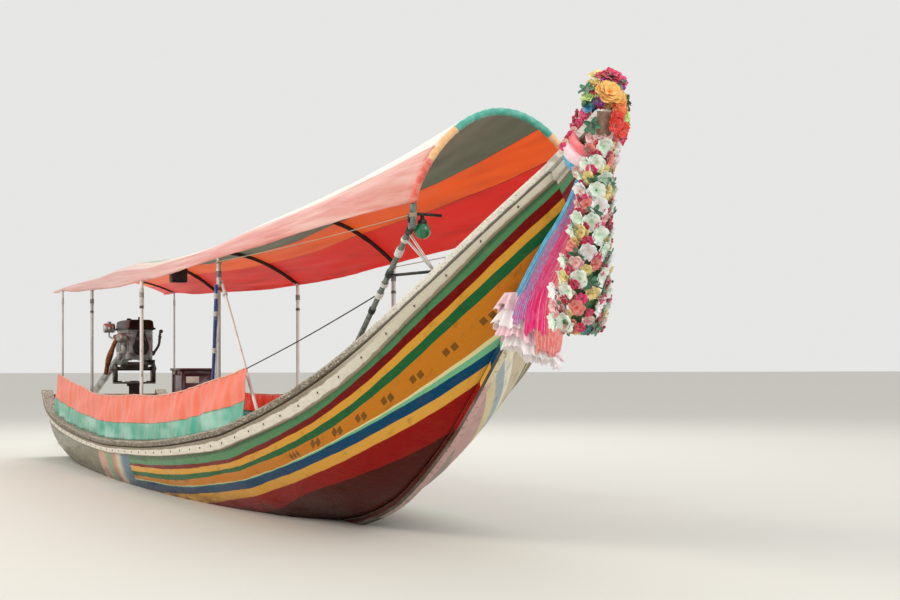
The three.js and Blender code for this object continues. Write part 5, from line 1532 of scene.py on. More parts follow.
finishes.update({
    # dyed cloth leaves behind the flowers: deep green, waxed
    "clothLeaves": {
        "Base Color": "#2c5a3c", "rough": (0.5, 0.7),
        "wear": [((1, 1, 1), 33.33, 0.45, 0.6, 0.7, "#6d9a5c")], "bumps": [((1, 1, 1), 16.67, 0.006)]},
    # satin ribbon: tight float weave with a bright streak along each fold, a painted highlight
    "ribbonBlue": {
        "Base Color": "#2f9cc8", "Sheen Weight": 0.3, "rough": (0.28, 0.45),
        "wear": [((2, 12, 2), 166.7, 0.45, 0.7, 0.5, "#8fd4ea")], "bumps": [((3, 30, 3), 111.1, 0.004)]},
    "ribbonCoral": {
        "Base Color": "#ee6a72", "Sheen Weight": 0.3, "rough": (0.28, 0.45),
        "wear": [((2, 12, 2), 166.7, 0.45, 0.7, 0.6, "#f9bcb6")], "bumps": [((3, 30, 3), 111.1, 0.004)]},
    "ribbonMagenta": {
        "Base Color": "#f51a7c", "Sheen Weight": 0.35, "rough": (0.26, 0.45),
        "wear": [((2, 9, 2), 142.9, 0.46, 0.68, 0.6, "#ff7cb6")], "bumps": [((3, 24, 3), 111.1, 0.005)]},
    # stiff nylon tulle, gathered: matt and powdery, whiter where its layers thin out
    "tullePink": {
        "Base Color": "#fad0dc", "Sheen Weight": 0.5, "rough": (0.65, 0.85),
        "wear": [((6, 14, 6), 142.9, 0.42, 0.66, 0.75, "#fdeef0")], "bumps": [((8, 20, 4), 111.1, 0.005)]},
    "tulleLavender": {
        "Base Color": "#bfa4dc", "Sheen Weight": 0.5, "rough": (0.65, 0.85),
        "wear": [((5, 14, 5), 166.7, 0.4, 0.58, 0.85, "#f468b4"),
                 # the whitish lavender patches are painted highlights
                 ((4, 9, 4), 111.1, 0.5, 0.68, 0.6, "#e8e0f4")], "bumps": [((8, 20, 4), 111.1, 0.005)]},
    "tulleCoral": {
        "Base Color": "#f4857c", "Sheen Weight": 0.5, "rough": (0.65, 0.85),
        "wear": [((5, 12, 5), 125, 0.46, 0.62, 0.75, "#fac4bc")], "bumps": [((8, 20, 4), 111.1, 0.005)]},
    # machine lace: cotton ground with raised threads and worked edges
    "scallopedLace": {
        "Base Color": "#fffafa", "Sheen Weight": 0.3, "rough": (0.7, 0.9),
        "wear": [((10, 10, 10), 83.33, 0.5, 0.6, 0.35, "#f4d2dc")], "bumps": [((20, 20, 20), 111.1, 0.004)]},
})

buildGarland()
buildCrown()
buildKnot()
buildSashes()
buildLace()
print("bow dressed")


# stem head, transom and planked decks

def headRing(x):
    # section of the stem head at a station, eased through its root, waist and tip
    t, tip = (x - bow) / (stemTip["x"] - bow), stemTip
    root = {"low": line["keel"](bow) - tip["rootDrop"], "high": line["cap"](bow),
            "half": line["beam"](bow) + cap["outboard"], "foot": tip["rootFoot"]}
    waist = {"low": (root["low"] + tip["low"]) / 2 - tip["waistDrop"],
             "high": (root["high"] + tip["high"]) / 2 + tip["waistRise"],
             "half": (root["half"] + tip["half"]) / 2 - tip["waistPinch"], "foot": tip["waistFoot"]}
    a, b, c = 2 * (t - 0.5) * (t - 1), 4 * t * (1 - t), 2 * t * (t - 0.5)
    return {key: a * root[key] + b * waist[key] + c * tip[key] for key in root}


headStripes = table("to colour", (0.052, "flakyGreyPaint"), (0.118, "dullWhitePaint"),
                    (0.128, "weatheredHead"), (0.168, "headGreen"), (0.222, "headRed"), (0.262, "headYellow"),
                    (0.330, "headGreen"))
headStripesEnd = 8.475   # under the knot


def buildStemHead():
    rings, slabThick = [], stemTip["slab"]
    for t in [0.0015] + spread(0.02, 0.985, 26) + [1.0]:
        x = mix(bow, stemTip["x"], t)
        r = headRing(x)
        if t == 1.0:   # the end's own edges are eased
            r = {"low": r["low"] + 0.008, "high": r["high"] - 0.006, "half": r["half"] - 0.006,
                 "foot": r["foot"] - 0.006}
        low, high = r["low"], r["high"]
        slab = high - slabThick
        inner = mix(r["foot"], r["half"], (slab - low) / (high - low)) - stemTip["step"]
        # the side's points stand where the stripes meet
        marks = [row["to"] for row in headStripes if row["to"] > 0.06 and high - row["to"] > low + 0.012]
        marks += [0.34 + 0.001 * k for k in range(6 - len(marks))]
        half = [(r["half"], high), (r["half"], slab + 0.002), (inner, slab)]
        for k, d in enumerate(marks):
            share = max(high - d - low, 0.004 + 0.001 * k) / (slab - low)
            half.append((mix(r["foot"], inner, share), max(high - d, low + 0.004 + 0.001 * (6 - k))))
        half.append((r["foot"], low))
        rings.append([Vector((x, y, z)) for y, z in half] + [Vector((x, -y, z)) for y, z in reversed(half)])
    points, faces = lofted(rings)
    piece = newPiece("stem_head_timber", points, [face[::-1] for face in faces], finish("weatheredHead"),
                     smooth=False)
    names = ["weatheredHead"] + sorted({row["colour"] for row in headStripes} - {"weatheredHead"})
    for name in names[1:]:
        piece.data.materials.append(finish(name))
    for face in piece.data.polygons:
        below = headRing(min(max(face.center.x, bow), stemTip["x"]))["high"] - face.center.z
        name = "flakyGreyPaint" if below < headStripes[0]["to"] else "weatheredHead"
        if face.center.x < headStripesEnd and abs(face.normal.x) < 0.9:
            name = next((row["colour"] for row in headStripes if below < row["to"]), "weatheredHead")
        face.material_index = names.index(name)
    modify(piece, "BEVEL", width=0.006, segments=2, limit_method="ANGLE", angle_limit=math.radians(40))
    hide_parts("stem_head")
    for side, hand in hands:
        alongHull(f"wale_tip_{hand}", waleTipSection(side), finish("dullWhitePaint"),
                  spread(bow + 0.0012, headStripesEnd, 14))


def waleTipSection(side):
    # the wale carried on over the head, down to the knot
    def ringAt(x):
        r = headRing(x)
        slab = r["high"] - stemTip["slab"]
        inner = mix(r["foot"], r["half"], (slab - r["low"]) / (r["high"] - r["low"])) - stemTip["step"]
        top = cap["thick"] + 0.0035
        foot = top + line["wale"](bow) * waleShare(bow)
        corners = []
        for depth, out in ((foot, -0.004), (foot, 0.017), (top, 0.017), (top, -0.004)):
            face = mix(r["foot"], inner, (r["high"] - depth - r["low"]) / (slab - r["low"]))
            corners.append((face + out, r["high"] - depth))
        return onSide(roundedRing(corners, 0.008), side)
    return ringAt


finishes.update({
    # the hull's enamel carried on over the head, thinner and more worn
    "headGreen": {
        "Base Color": "#4f8a62", "Specular IOR Level": 0.22, "rough": (0.4, 0.6),
        "wear": [((1, 3, 3), 166.7, 0.5, 0.72, 0.4, "#8c8c70")], "bumps": [((1, 5, 5), 71.43, 0.003)]},
    "headRed": {
        "Base Color": "#74090f", "Specular IOR Level": 0.22, "rough": (0.4, 0.6),
        "wear": [((1, 3, 3), 166.7, 0.5, 0.72, 0.4, "#a0524a")], "bumps": [((1, 5, 5), 71.43, 0.003)]},
    "headYellow": {
        "Base Color": "#cf9330", "Specular IOR Level": 0.22, "rough": (0.4, 0.6),
        "wear": [((1, 3, 3), 166.7, 0.5, 0.72, 0.4, "#a07840")], "bumps": [((1, 5, 5), 71.43, 0.003)]},
})


def buildTransom():
    shift, thick = gap, 0.042
    rows = sectionPoints(stern, 0, 40)
    ring = [(y, z - (gap if k == 0 else 0)) for k, (y, z) in enumerate(rows)]
    ring = ring + [(-y, z) for y, z in reversed(ring[:-1])]
    points = []
    for out, inset in ((shift, 0.0), (shift, 0.0), (shift + thick - 0.006, 0.0), (shift + thick, 0.006)):
        for y, z in ring:
            scale = 1 - inset / 0.76
            x = stern - out
            points.append(Vector((x + line["rake"](stern) * z, y * scale, z)))
    board = newPiece("transom_board", points[len(ring):], ringFaces(3, len(ring)), finish("weatheredHead"))
    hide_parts("transom")


def boardStrip(d, y0, y1, topAt, halfAt):
    # one board along the boat, trimmed to the planking inside; none where the hull is too narrow
    rings, step = [], 0.12
    for x in spread(d["low"], d["high"], max(int((d["high"] - d["low"]) / step), 2)):
        half = halfAt(x)
        a, b = max(y0, -half), min(y1, half)
        if b - a < 0.02:
            continue
        top = topAt(x)
        ring = roundedRing([(b, top - d["thick"]), (b, top), (a, top), (a, top - d["thick"])], 0.004, 2)
        rings.append([Vector((x, p[0], p[1])) for p in ring])
    return [lofted(rings)] if len(rings) > 1 else []


def plankedDeck(name, node, d, parts):
    # boards side by side, level or following the cap rail
    def topAt(x):
        return d["top"] if "top" in d else line["cap"](x) - cap["thick"] - d["below"]

    def halfAt(x):
        return breadthAt(x, topAt(x), plank) - 0.003
    reach = max(halfAt(x) for x in spread(d["low"], d["high"], 12))
    count, draw = math.ceil(2 * reach / d["board"]), random.Random(len(name))
    for k in range(count):
        y = -count * d["board"] / 2 + k * d["board"]
        lift = draw.uniform(-0.0015, 0.0)
        parts += boardStrip(d, y + d["seam"] / 2, y + d["board"] - d["seam"] / 2, lambda x: topAt(x) + lift,
                            halfAt)
    piece = joined(name, parts, "scrubbedDeck")
    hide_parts(node)


decks = {
    "stern": dict(low=-4.60, high=-0.24, top=0.330, thick=0.026, board=0.145, seam=0.005),
    "floor": dict(low=-0.06, high=4.24, top=0.060, thick=0.024, board=0.170, seam=0.012),
    "bow": dict(low=4.95, high=8.23, below=0.025, thick=0.024, board=0.120, seam=0.004),
    "bearers": (0.20, 1.30, 2.40, 3.50, 4.15), "bearerHalf": 0.022,
}


def bearerAt(x, top):
    # a floor timber shaped to the inside of the planking
    rows = [(y, z) for y, z in sectionPoints(x, plank + 0.002, 60) if z < top]
    ring = [(y, z) for y, z in rows] + [(-y, z) for y, z in reversed(rows[:-1])]
    half = decks["bearerHalf"]
    points = [Vector((x + s * half, y, z)) for s in (-1, 1) for y, z in ring]
    return points, ringFaces(2, len(ring))


def buildDecks():
    under = decks["floor"]["top"] - decks["floor"]["thick"] - 0.001
    plankedDeck("stern_deck_boards", "stern_deck", decks["stern"], [])
    plankedDeck("floor_boards", "floorboards", decks["floor"], [bearerAt(x, under) for x in decks["bearers"]])
    plankedDeck("bow_deck_boards", "bow_deck", decks["bow"], [])


bench = {
    "at": (1.15, 2.05, 2.95, 3.85), "half": 0.560, "seatTop": 0.370, "depth": 0.280, "board": 0.026,
    "backTop": 0.710,
    "backBoards": ((0.318, 0.430), (0.460, 0.580), (0.605, 0.710)),
    "legHalf": 0.022, "legIn": 0.060, "sideRoom": 0.040, "floor": 0.060,
}


def easedBrick(low, high, ease=0.004):
    # a board with eased long edges: rounded in the plane across its longest side
    size = [high[k] - low[k] for k in range(3)]
    main = size.index(max(size))
    u, v = [k for k in range(3) if k != main]
    ring = roundedRing([(low[u], low[v]), (high[u], low[v]), (high[u], high[v]), (low[u], high[v])], ease, 2)
    points = []
    for end, inset in ((low[main], 1), (low[main] + ease, 0), (high[main] - ease, 0), (high[main], 1)):
        mid = [(low[u] + high[u]) / 2, (low[v] + high[v]) / 2]
        for p in ring:
            q = [0, 0, 0]
            q[main] = end
            q[u] = p[0] + (mid[0] - p[0]) * inset * ease / max(size[u] / 2, ease)
            q[v] = p[1] + (mid[1] - p[1]) * inset * ease / max(size[v] / 2, ease)
            points.append(Vector(q))
    faces = ringFaces(4, len(ring))
    if (main, u, v) in ((0, 1, 2), (2, 0, 1)):
        return points, faces
    return points, [face[::-1] for face in faces]


def pad(x, y, long, wide, low, high, ease=0.004):
    # an upright block about a centre, from half its length and half its width
    return easedBrick((x - long, y - wide, low), (x + long, y + wide, high), ease)


def buildBenches():
    b = bench
    for number, at in enumerate(b["at"], 1):
        half = min(b["half"], breadthAt(at + b["depth"], b["floor"], plank) - b["sideRoom"])
        parts, top, slat = [], b["seatTop"], b["depth"] / 3
        under = top - b["board"]
        for k in range(3):
            parts.append(easedBrick((at + k * slat + 0.003, -half, under),
                                    (at + (k + 1) * slat - 0.003, half, top)))
        for low, high in b["backBoards"]:
            parts.append(easedBrick((at - b["board"], -half, low), (at - 0.001, half, high)))
        for y in (-half + b["legIn"], 0, half - b["legIn"]):
            left, right, rear = y - b["legHalf"], y + b["legHalf"], at + b["depth"]
            parts += [easedBrick((at - b["board"] + 0.002, left, b["floor"]),
                                 (at + 0.030, right, b["backTop"] - 0.02)),
                      easedBrick((rear - 0.075, left, b["floor"]), (rear - 0.030, right, under)),
                      easedBrick((at, y - 0.012, under - 0.055), (rear - 0.03, y + 0.012, under))]
        piece = joined(f"bench_{number}", parts, "rubbedBenchPaint")
        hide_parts(f"passenger_bench_{number}")


platform = {"low": -1.35, "high": 0.33, "half": 0.52, "top": 0.655, "board": 0.030,
            "carriers": (-1.33, -0.31), "wide": 0.040, "inset": 0.020}
locker = {
    "x": -0.15, "long": 0.42, "wide": 0.33, "top": 1.130, "lid": 0.026, "lip": 0.014, "floor": 0.655,
    "label": (-0.115, 0.020, 0.980, 1.046),
}


def buildPlatform():
    p, parts, count = platform, [], 8
    deck, under, wide = decks["stern"]["top"], platform["top"] - platform["board"], 2 * platform["half"] / 8
    for k in range(count):
        y = -p["half"] + k * wide
        parts.append(easedBrick((p["low"], y + 0.002, under), (p["high"], y + wide - 0.002, p["top"])))
    reach = p["half"] - p["inset"]
    for x in p["carriers"]:
        far = x + p["wide"]
        parts += [easedBrick((x, -reach, deck), (far, reach, deck + 0.045)),
                  easedBrick((x, -reach, under - 0.06), (far, reach, under))]
        for y in spread(-reach + 0.02, reach - 0.02, 4):
            parts.append(easedBrick((x + 0.004, y - 0.020, deck + 0.04),
                                    (far - 0.004, y + 0.020, p["top"] - 0.08)))
    piece = joined("platform_boards", parts, "scrubbedDeck")
    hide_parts("driver_platform")


def buildLocker():
    b = locker
    x0, x1 = b["x"] - b["long"] / 2, b["x"] + b["long"] / 2
    side, seam = b["wide"] / 2, b["top"] - b["lid"]
    low = b["floor"]
    inset = 0.010
    parts = [easedBrick((x0 + inset, -side + inset, low), (x1 - inset, side - inset, seam), 0.003)]
    for x in (x0, x1 - 0.035):
        for y in (-side, side - 0.035):
            parts.append(easedBrick((x, y, low), (x + 0.035, y + 0.035, seam), 0.004))
    for z0, z1 in ((low, low + 0.050), (seam - 0.040, seam)):
        for y in (-side, side - inset):
            parts.append(easedBrick((x0 + 0.03, y, z0), (x1 - 0.03, y + inset, z1), 0.003))
        for x in (x0, x1 - inset):
            parts.append(easedBrick((x, -side + 0.03, z0), (x + inset, side - 0.03, z1), 0.003))
    lip = b["lip"]
    parts.append(easedBrick((x0 - lip, -side - lip, seam), (x1 + lip, side + lip, b["top"]), 0.006))
    body = joined("locker_body", parts, "glossMaroonPaint")
    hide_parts("driver_box")
    y0, y1, z0, z1 = b["label"]
    joined("locker_label", [easedBrick((x1 - inset - 0.004, y0, z0), (x1 - inset + 0.003, y1, z1), 0.002)],
           "blankLabel")
    latch = [easedBrick((b["x"] - 0.014, -side - lip - 0.002, seam - 0.035),
                        (b["x"] + 0.014, -side + 0.004, seam + 0.012), 0.002)]
    for x in (x0 + 0.09, x1 - 0.09):
        latch.append(turned([(0, 0.006), (0.05, 0.006)], (x - 0.025, side + lip + 0.001, seam), (1, 0, 0),
                            12))
        latch.append(easedBrick((x - 0.024, side - 0.002, seam - 0.04),
                                (x + 0.024, side + 0.004, seam - 0.004), 0.001))
    joined("locker_fittings", latch, "dullBrass")


finishes.update({
    # end of the stem: bare wood browned by oil and hands, cracked along the grain
    "weatheredHead": {
        "Base Color": "#8c6c58", "rough": (0.65, 0.85),
        "wear": [((1, 8, 8), 200, 0.45, 0.7, 0.6, "#4e3a2e"),
                 ((0.8, 5, 5), 333.3, 0.5, 0.75, 0.55, "#b39a86")], "bumps": [((0.6, 16, 16), 125, 0.006)]},
    # oil-based gloss in dark maroon, dulled, chipped to brown on its edges
    "glossMaroonPaint": {
        "Base Color": "#452028", "Coat Weight": 0.25, "rough": (0.32, 0.6),
        "wear": [((2, 2, 6), 200, 0.55, 0.75, 0.6, "#6e4a44"),
                 ((3, 3, 3), 111.1, 0.62, 0.7, 0.8, "#7c604c")], "bumps": [((2, 2, 6), 83.33, 0.003)]},
    # plain card under varnish, yellowed
    "blankLabel": {
        "Base Color": "#e6e2d6", "rough": (0.45, 0.65),
        "wear": [((2, 2, 2), 83.33, 0.5, 0.7, 0.5, "#c9bda0")]},
    # cast brass gone brown, bright only where it is touched
    "dullBrass": {
        "Base Color": "#8a7340", "Metallic": 0.9, "rough": (0.35, 0.6),
        "wear": [((2, 2, 2), 40, 0.45, 0.65, 0.7, "#4c4228")]},
})

buildStemHead()
buildTransom()
buildDecks()
buildBenches()
buildPlatform()
buildLocker()
print("decks, benches and locker built")


# steel hoops, poles and what is lashed to them

propPole = {"foot": 6.48, "inset": 0.025, "radius": 0.017, "below": 0.070, "leg": 0.160, "lap": 0.010,
            "socket": 0.016, "shoe": 0.026}


def seatHeight(x, radius):
    # where a round foot rests on the sloping cap
    def height(at):
        return line["cap"](at - line["rake"](at) * line["cap"](at))

    return max(height(x - radius), height(x + radius)) + gap


def hoopPath(row):
    arch = []
    for k in range(41):
        share = math.sin((2 * k / 40 - 1) * math.pi / 2)
        y, z = archPoint(row, share)
        arch.append(Vector((row["x"], y, z)))
    if row["name"] == "front":
        feet = [Vector((row["x"], side * row["half"], row["bend"] - propPole["leg"])) for side in (-1, 1)]
    else:
        y = min(row["half"], line["beam"](row["x"]) - 0.030)
        feet = [Vector((row["x"], side * y, seatHeight(row["x"], 0.034))) for side in (-1, 1)]
    bends = []
    for foot, top in ((feet[0], arch[0]), (feet[1], arch[-1])):
        bends.append([foot.lerp(top, t) for t in (0, 0.3, 0.6, 0.85, 0.95)])
    return bends[0] + arch + bends[1][::-1]


def collar(centre, axis, radius, long, lip=0.003):
    # a short sleeve with rounded lips round a tube
    half = long / 2
    profile = [(-half, radius), (-half, radius + lip * 0.6), (-half + lip, radius + lip),
               (half - lip, radius + lip), (half, radius + lip * 0.6), (half, radius)]
    return turned(profile, centre, axis, 20)


def lashing(centre, axis, radius, long, turnCount, thick=0.0028, start=0.0):
    # cord wound tightly round a pole, as one closed tube
    along, out = squareTo(axis)
    path = []
    for k in range(turnCount * 14 + 1):
        rise = (k / (turnCount * 14) - 0.5) * long
        path.append(Vector(centre) + along * rise + out(2 * math.pi * k / 14 + start) * (radius + thick))
    return tube(path, thick, 6)


def hexBolt(centre, axis, radius=0.006, tall=0.006):
    return turned([(0, radius), (tall * 0.8, radius), (tall, radius * 0.8)], centre, axis, 6)


def buildHoops():
    for row in hoops:
        path, radius, front = hoopPath(row), row["radius"], row["name"] == "front"
        parts = [tube(path, radius, 18)]
        for foot in () if front else (path[0], path[-1]):
            parts.append(turned([(0, 0.034), (0.007, 0.034), (0.010, 0.031), (0.010, radius + 0.006),
                                 (0.018, radius + 0.002)], foot, (0, 0, 1), 24))
            for angle in turns(4, math.pi / 4):
                spot = foot + Vector((0.026 * math.cos(angle), 0.026 * math.sin(angle), 0.008))
                parts.append(hexBolt(spot, (0, 0, 1), 0.0045, 0.005))
        for bend in (path[4], path[-5]):
            side = math.copysign(1, bend.y)
            parts += [collar(bend - Vector((0, 0, 0.05)), (0, 0, 1), radius + 0.0005, 0.07),
                      hexBolt(bend - Vector((0, -side * (radius + 0.002), 0.05)), (0, -side, 0), 0.005)]
        paint = {"driver": "whitePaintedTube", "front": "greenGreyTube"}.get(row["name"], "zincTube")
        piece = joined(f"hoop_tube_{row['name']}", parts, paint)
        if not front:
            # the arch above the bends is coloured near black
            piece.data.materials.append(finish("nearBlackArcTube"))
            for face in piece.data.polygons:
                if face.center.z > row["bend"] + 0.012:
                    face.material_index = 1
        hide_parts(f"hoop_{row['name']}")
        if row["name"] in ("stern", "front"):
            continue
        wraps = []
        for top in (path[5], path[-6]):
            wraps.append(lashing(top - Vector((0, 0, 0.125)), (0, 0, 1), radius, 0.05, 7))
            wraps.append(lashing(top - Vector((0, 0, 0.24)), (0, 0, 1), radius, 0.024, 4, 0.0022))
        joined(f"hoop_lashings_{row['name']}", wraps, "tarredTwine")
        ribs = []
        for share in (-0.62, -0.2, 0.25, 0.66):
            ribs.append(lashing((row["x"], *archPoint(row, share)), (0, 1, -share), radius, 0.03, 5, 0.0018))
        joined(f"canopy_ties_{row['name']}", ribs, "tarredTwine")


def polePath(side):
    p, front = propPole, hoops[-1]
    x, y = front["x"] - front["radius"] - p["radius"] - gap, side * front["half"]
    inside = side * (line["beam"](p["foot"]) - p["inset"])
    foot = Vector((p["foot"], inside, seatHeight(p["foot"], p["shoe"]) + p["socket"]))
    bend = Vector((x, y, front["bend"] - p["leg"] + p["lap"]))
    return foot, bend, Vector((x, y, front["bend"] - p["below"]))


def buildPropPoles():
    for side, hand in hands:
        foot, bend, top = polePath(side)
        along = (bend - foot).normalized()
        corner = [bend - along * 0.05, bend - along * 0.02, bend, bend + Vector((0, 0, 0.02))]
        radius = propPole["radius"]
        parts = [tube([foot] + [foot.lerp(bend, t) for t in (0.25, 0.5, 0.75)] + smoothPath(corner, 4)
                      + [top], radius, 20)]
        seat = Vector((foot.x, foot.y, seatHeight(foot.x, propPole["shoe"])))
        parts.append(turned([(0, 0.026), (0.020, 0.026), (0.026, 0.023), (0.026, 0.019)], seat, (0, 0, 1),
                            24))
        pole = joined(f"raked_pole_{hand}", parts, "greenGreyTube")
        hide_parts(f"prop_pole_{hand}")
        clamps = [collar(foot.lerp(bend, t), along, radius + 0.001, long, 0.004)
                  for t, long in ((0.30, 0.04), (0.62, 0.05), (0.97, 0.045))]
        clamps.append(collar(top - Vector((0, 0, 0.03)), (0, 0, 1), radius + 0.001, 0.05, 0.004))
        for t in (0.62, 0.97):
            clamps.append(turned([(0, 0.005), (0.035, 0.005)], foot.lerp(bend, t) + Vector((0.012, 0, 0)),
                                 (1, 0, 0.3), 10))
        joined(f"pole_clamps_{hand}", clamps, "blackClamp")
        cords = [lashing(foot.lerp(bend, t), along, radius, long, turns, 0.004, t) for t, long, turns in
                 ((0.44, 0.045, 5), (0.53, 0.030, 3), (0.80, 0.060, 7), (0.90, 0.025, 3))]
        a, b, c = foot.lerp(bend, 0.95), foot.lerp(bend, 0.90), foot.lerp(bend, 0.60)
        rail = Vector((foot.x + 0.87, side * (line["beam"](foot.x + 0.87) - 0.02),
                       line["cap"](foot.x + 0.87) + 0.012))
        for start in (a, b):
            for shift in (-0.006, 0.006):
                cords.append(tube([start + Vector((0.018, shift, 0)), rail + Vector((0, shift, 0.004))],
                                  0.0035, 8))
        cords.append(lashing(rail + Vector((0, 0, -0.004)), (1, 0, 0.5), 0.004, 0.05, 4, 0.0035))
        joined(f"pole_lashings_{hand}", cords, "whiteBraid")
        strut = [rail + Vector((0, 0, 0.012)), c + Vector((0.02, 0, 0))]
        joined(f"pole_strut_{hand}", [tube(strut, 0.009, 12),
                                      collar(rail + Vector((0, 0, 0.012)), strut[1] - strut[0], 0.0095,
                                             0.05, 0.004)], "blackClamp")


sidePoles = table("name x headX headZ hand radius shoe finish",
                  ("flag_pole", 3.570, 3.722, 1.793, 1, 0.013, 0.020, "bluePoleEnamel"),
                  ("hoop_brace", 4.690, 3.655, 1.825, -1, 0.012, 0.022, "whitePaintedTube"))


def buildSidePoles():
    post = hoops[3]
    for row in sidePoles:
        y = -post["half"] - row["hand"] * (post["radius"] + row["radius"] + gap)
        seat = seatHeight(row["x"], row["shoe"])
        foot, top = Vector((row["x"], y, seat + 0.013)), Vector((row["headX"], y, row["headZ"]))
        parts = [tube([foot.lerp(top, t) for t in spread(0, 1, 6)], row["radius"], 18),
                 turned([(0, row["shoe"]), (0.012, row["shoe"]), (0.016, row["shoe"] - 0.004),
                         (0.016, row["radius"])], (row["x"], y, seat), (0, 0, 1), 20),
                 collar(top - (top - foot).normalized() * 0.012, top - foot, row["radius"], 0.022, 0.002)]
        piece = joined(f"side_{row['name']}", parts, row["finish"])
        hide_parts(row["name"])
        ties = [lashing(foot.lerp(top, t), top - foot, row["radius"] + 0.002, 0.04, 6, 0.003)
                for t in ((0.55, 0.80, 0.92) if row["hand"] > 0 else (0.9,))]
        joined(f"side_ties_{row['name']}", ties, "whiteBraid")


lamp = {
    "inset": 0.070, "below": 0.165, "barAbove": 0.090, "barEnd": 0.190, "barRadius": 0.009,
    "glass": [(-0.052, 0.001), (-0.051, 0.014), (-0.046, 0.028), (-0.034, 0.041), (-0.018, 0.048), (0, 0.049),
              (0.016, 0.044), (0.030, 0.035), (0.040, 0.026)],
    "socket": [(0.038, 0.029), (0.044, 0.030), (0.056, 0.024), (0.064, 0.012), (0.092, 0.010)],
}


def buildLamps():
    front = hoops[-1]
    for side, hand, glass in ((-1, "starboard", "greenLens"), (1, "port", "redLens")):
        x = polePath(side)[2].x
        y, z = side * (front["half"] - lamp["inset"]), front["bend"] - lamp["below"]
        bulb = joined(f"lamp_glass_{hand}", [turned(lamp["glass"], (x, y, z), (0, 0, 1), 32)], glass)
        root, end = side * (front["half"] - propPole["radius"]), side * (front["half"] - lamp["barEnd"])
        bar = z + lamp["barAbove"]
        arm = [turned(lamp["socket"], (x, y, z), (0, 0, 1), 24),
               tube([(x, root, bar), (x, y, bar + 0.002), (x, end, bar - 0.004)], lamp["barRadius"], 12)]
        joined(f"lamp_arm_{hand}", arm, "blackClamp")
        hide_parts(f"side_lamp_{hand}")


def buildSpeaker():
    row = hoops[2]
    y, z = archPoint(row, -0.55, -row["radius"] - gap)
    x = row["x"]
    low, high = z - 0.190, z - 0.040
    parts = [easedBrick((x - 0.060, y - 0.075, low), (x + 0.052, y + 0.075, high), 0.008)]
    parts.append(easedBrick((x + 0.050, y - 0.070, low + 0.005), (x + 0.060, y + 0.070, high - 0.005), 0.004))
    for tallAt in (0.048, 0.108):
        parts.append(turned([(0, 0.030), (0.003, 0.030), (0.001, 0.022), (-0.002, 0.008)],
                            (x + 0.0605, y, low + tallAt), (1, 0, 0), 24))
    for k in (-1, 1):
        parts.append(easedBrick((x - 0.012, y + k * 0.045 - 0.008, high - 0.004),
                                (x + 0.012, y + k * 0.045 + 0.008, z - 0.010), 0.002))
    piece = joined("speaker_cabinet", parts, "grainedBlackPlastic")
    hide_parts("speaker_box")
    post = hoopPath(row)[3]
    joined("post_spiral_wire", [lashing((post.x, post.y, 1.80), (0, 0, 1), row["radius"], 0.17, 12,
                                        0.0035)], "whiteBraid")


def buildCurtainLines():
    # each curtain's line runs on from its front corner to a pole
    x, high = curtain["tops"][-1]["x"], curtain["tops"][-1]["top"]
    for side, hand in hands:
        foot, bend = polePath(side)[:2]
        tie = foot.lerp(bend, 0.45)
        y = side * (line["beam"](x) + cap["outboard"] - curtain["inset"] - 0.024)
        start = Vector((x + 0.0013, y, high - 0.008))
        away = (start - tie).normalized()
        end = tie + away * 0.0215 / math.sin(away.angle(bend - foot))
        path = [start.lerp(end, t) - Vector((0, 0, 0.012 * math.sin(math.pi * t))) for t in spread(0, 1, 16)]
        piece = joined(f"guy_line_{hand}", [tube(path, 0.0042, 10)], "tarredTwine")
        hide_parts(f"curtain_line_{hand}")


def buildEdgeLines():
    # a cord drawn tight under each edge of the cloth, from the front hoop to the middle one
    front, middle = hoops[-1], hoops[3]
    for side, hand in hands:
        y0, y1 = (side * (row["half"] + row["radius"] + 0.004) for row in (front, middle))
        start = Vector((front["x"] - 0.02, y0, front["bend"] - 0.085))
        end = Vector((middle["x"], y1, middle["bend"] - 0.030))
        path = [start.lerp(end, t) - Vector((0, 0, 0.015 * math.sin(math.pi * t))) for t in spread(0, 1, 24)]
        parts = [tube(path, 0.0032, 8)]
        for row, z in ((front, start.z), (middle, end.z)):
            parts.append(lashing((row["x"], side * row["half"], z), (0, 0, 1), row["radius"], 0.022, 4,
                                 0.0032))
        joined(f"edge_cord_{hand}", parts, "tannedCord")


